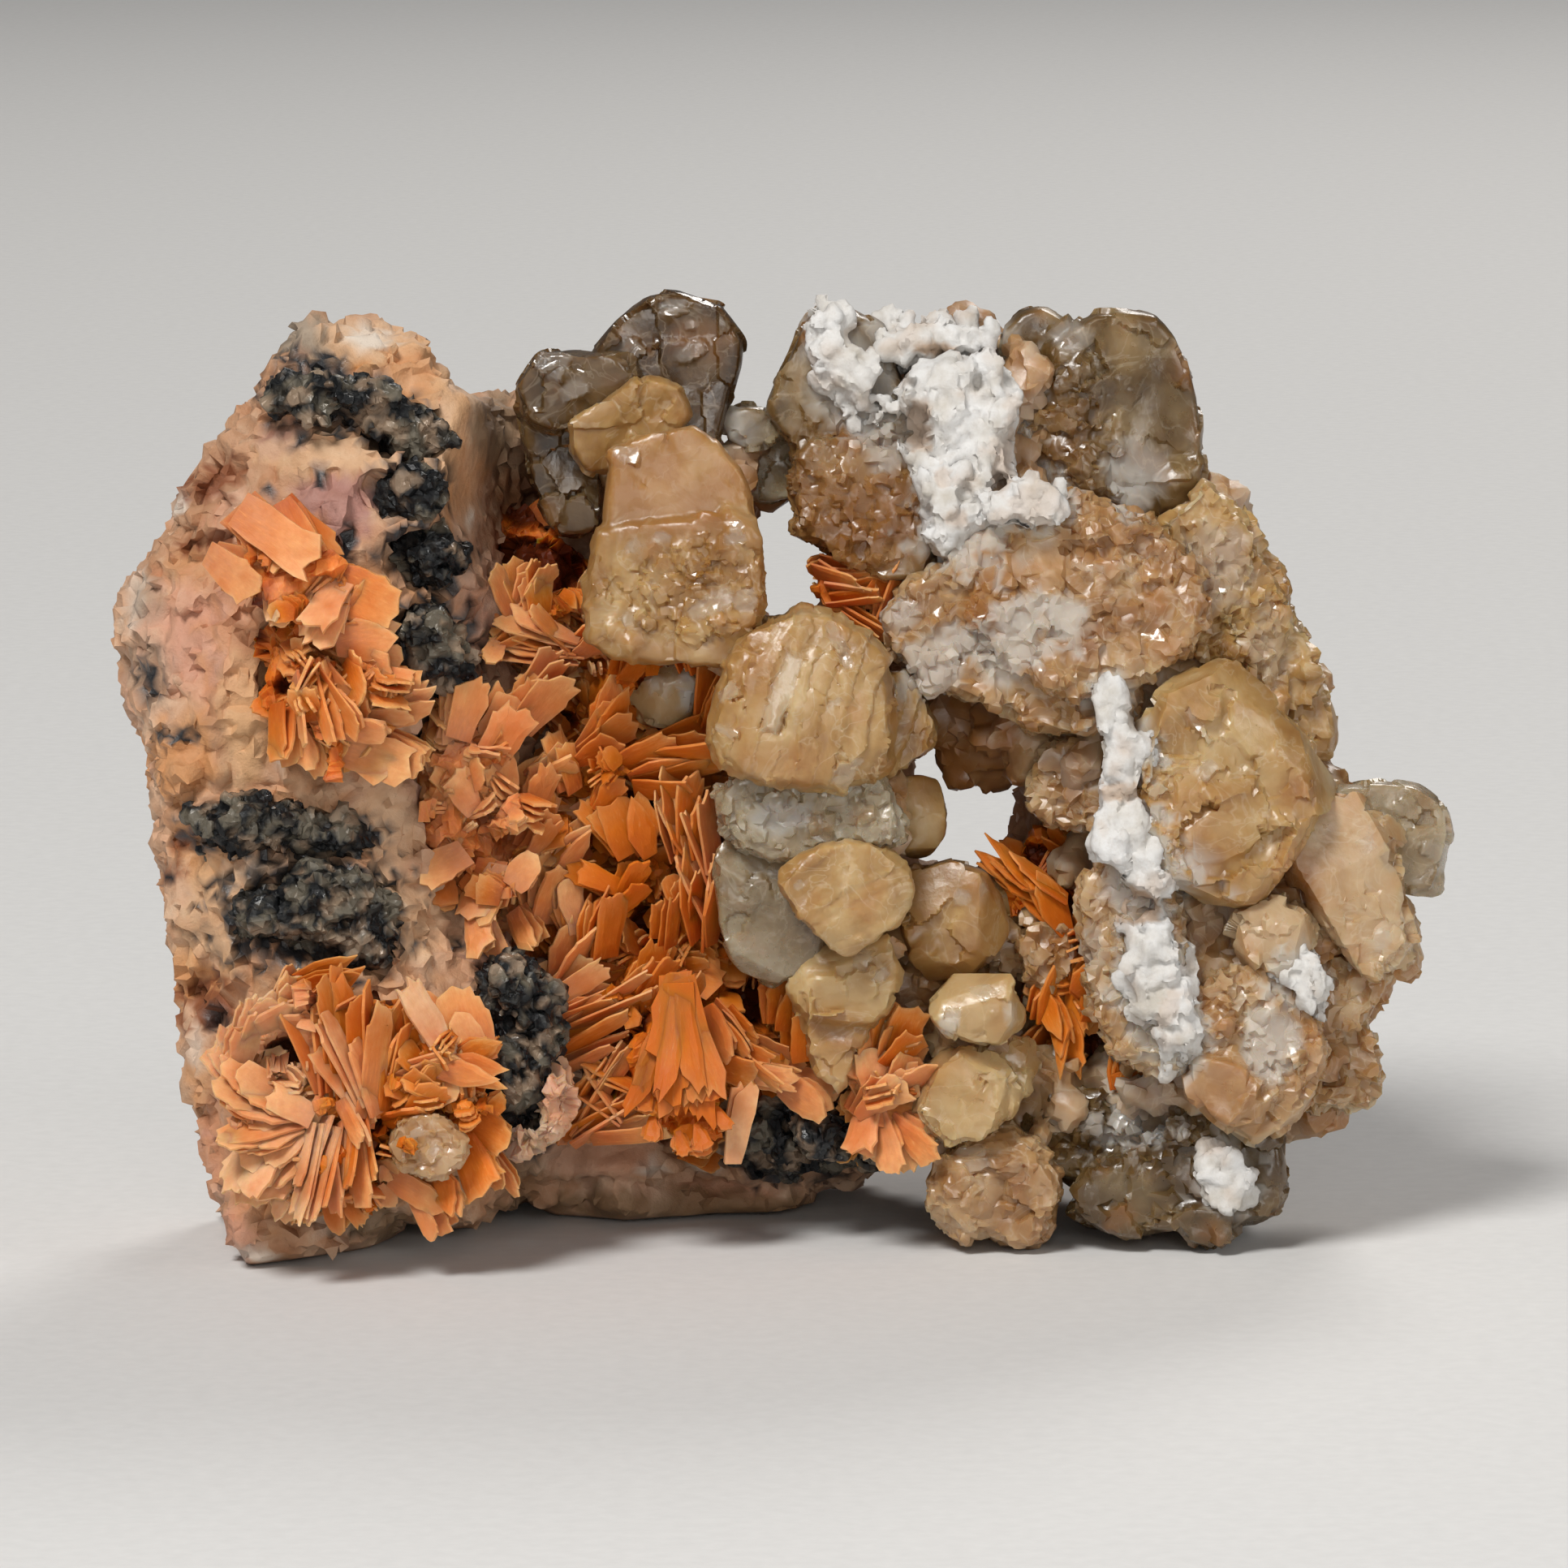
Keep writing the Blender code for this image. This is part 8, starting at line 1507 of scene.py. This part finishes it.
crust("crust_main", 11, [(1198, 500, 60, 60, 60, 0.4, 0.9), (1205, 600, 50, 70, 50, 0.4, 0.8), (1160, 560, 26, 70, 24, 0.3, 0.6), (1185, 660, 50, 34, 26, 0.3, 0.6), (1272, 612, 40, 34, 34, 0.35, 0.7), (1100, 500, 40, 26, 14, 0.25, 0.5), (1225, 690, 30, 16, 8, 0.25, 0.4)], 0.17, [(1132, 524, 18, 30, 0, 0.7), (1236, 570, 12, 44, 10, 0.5), (1275, 618, 34, 28, 0, 0.35), (1180, 640, 14, 12, 0, 0.5), (1160, 590, 10, 16, 0, 0.4)], sinks=[(1124, 528, 24, 26, 2.4), (1252, 560, 14, 26, 1.4), (1250, 668, 26, 24, 2.2), (1128, 640, 16, 26, 2.0), (1100, 470, 26, 14, 1.5), (1205, 470, 8, 14, 0.6), (1190, 610, 10, 10, 0.7)])
crust("crust_top", 12, [(1150, 412, 78, 22, 50, 0.35, 0.8), (1100, 440, 30, 26, 14, 0.3, 0.5), (1180, 440, 40, 16, 14, 0.3, 0.6)], 0.17, [(1152, 430, 26, 9, 0, 0.9)])
crust("crust_peak", 13, [(1020, 410, 26, 34, 26, 0.35, 0.7), (1045, 460, 32, 28, 26, 0.35, 0.8), (1070, 505, 34, 26, 22, 0.3, 0.6)], 0.17)
crust("crust_strand", 14, [(1366, 866, 20, 30, 16, 0.3, 0.6), (1390, 930, 28, 34, 26, 0.35, 0.7), (1396, 1030, 40, 38, 44, 0.4, 0.9), (1445, 1076, 32, 18, 16, 0.3, 0.55), (1425, 1200, 46, 56, 54, 0.4, 0.9), (1452, 1280, 26, 40, 26, 0.35, 0.7), (1405, 1130, 30, 40, 20, 0.3, 0.6)], 0.17, [(1400, 1118, 30, 22, 0, 0.8), (1440, 1240, 12, 26, 20, 0.4), (1378, 975, 26, 12, 0, 0.7)], sinks=[(1372, 1112, 44, 30, 2.4), (1420, 1124, 26, 16, 2.0), (1390, 1290, 14, 24, 1.2), (1470, 1180, 12, 24, 1.4)])
crust("crust_right_spot", 15, [(1596, 1196, 36, 24, 50, 0.22, 0.5), (1620, 1226, 20, 34, 40, 0.22, 0.45)], 0.15, shrink=-0.6)
crust("crust_bottom_spot", 16, [(1500, 1432, 26, 20, 34, 0.22, 0.5), (1524, 1462, 22, 28, 40, 0.22, 0.5), (1492, 1466, 14, 20, 20, 0.2, 0.4)], 0.15, shrink=-0.7)
print("rock", round(time.time() - START, 1), "s")


print("triangles", sum(TRIANGLES.values()), {k: v for k, v in TRIANGLES.items() if v > 30000})
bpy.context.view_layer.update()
print("script", round(time.time() - START, 1), "s")
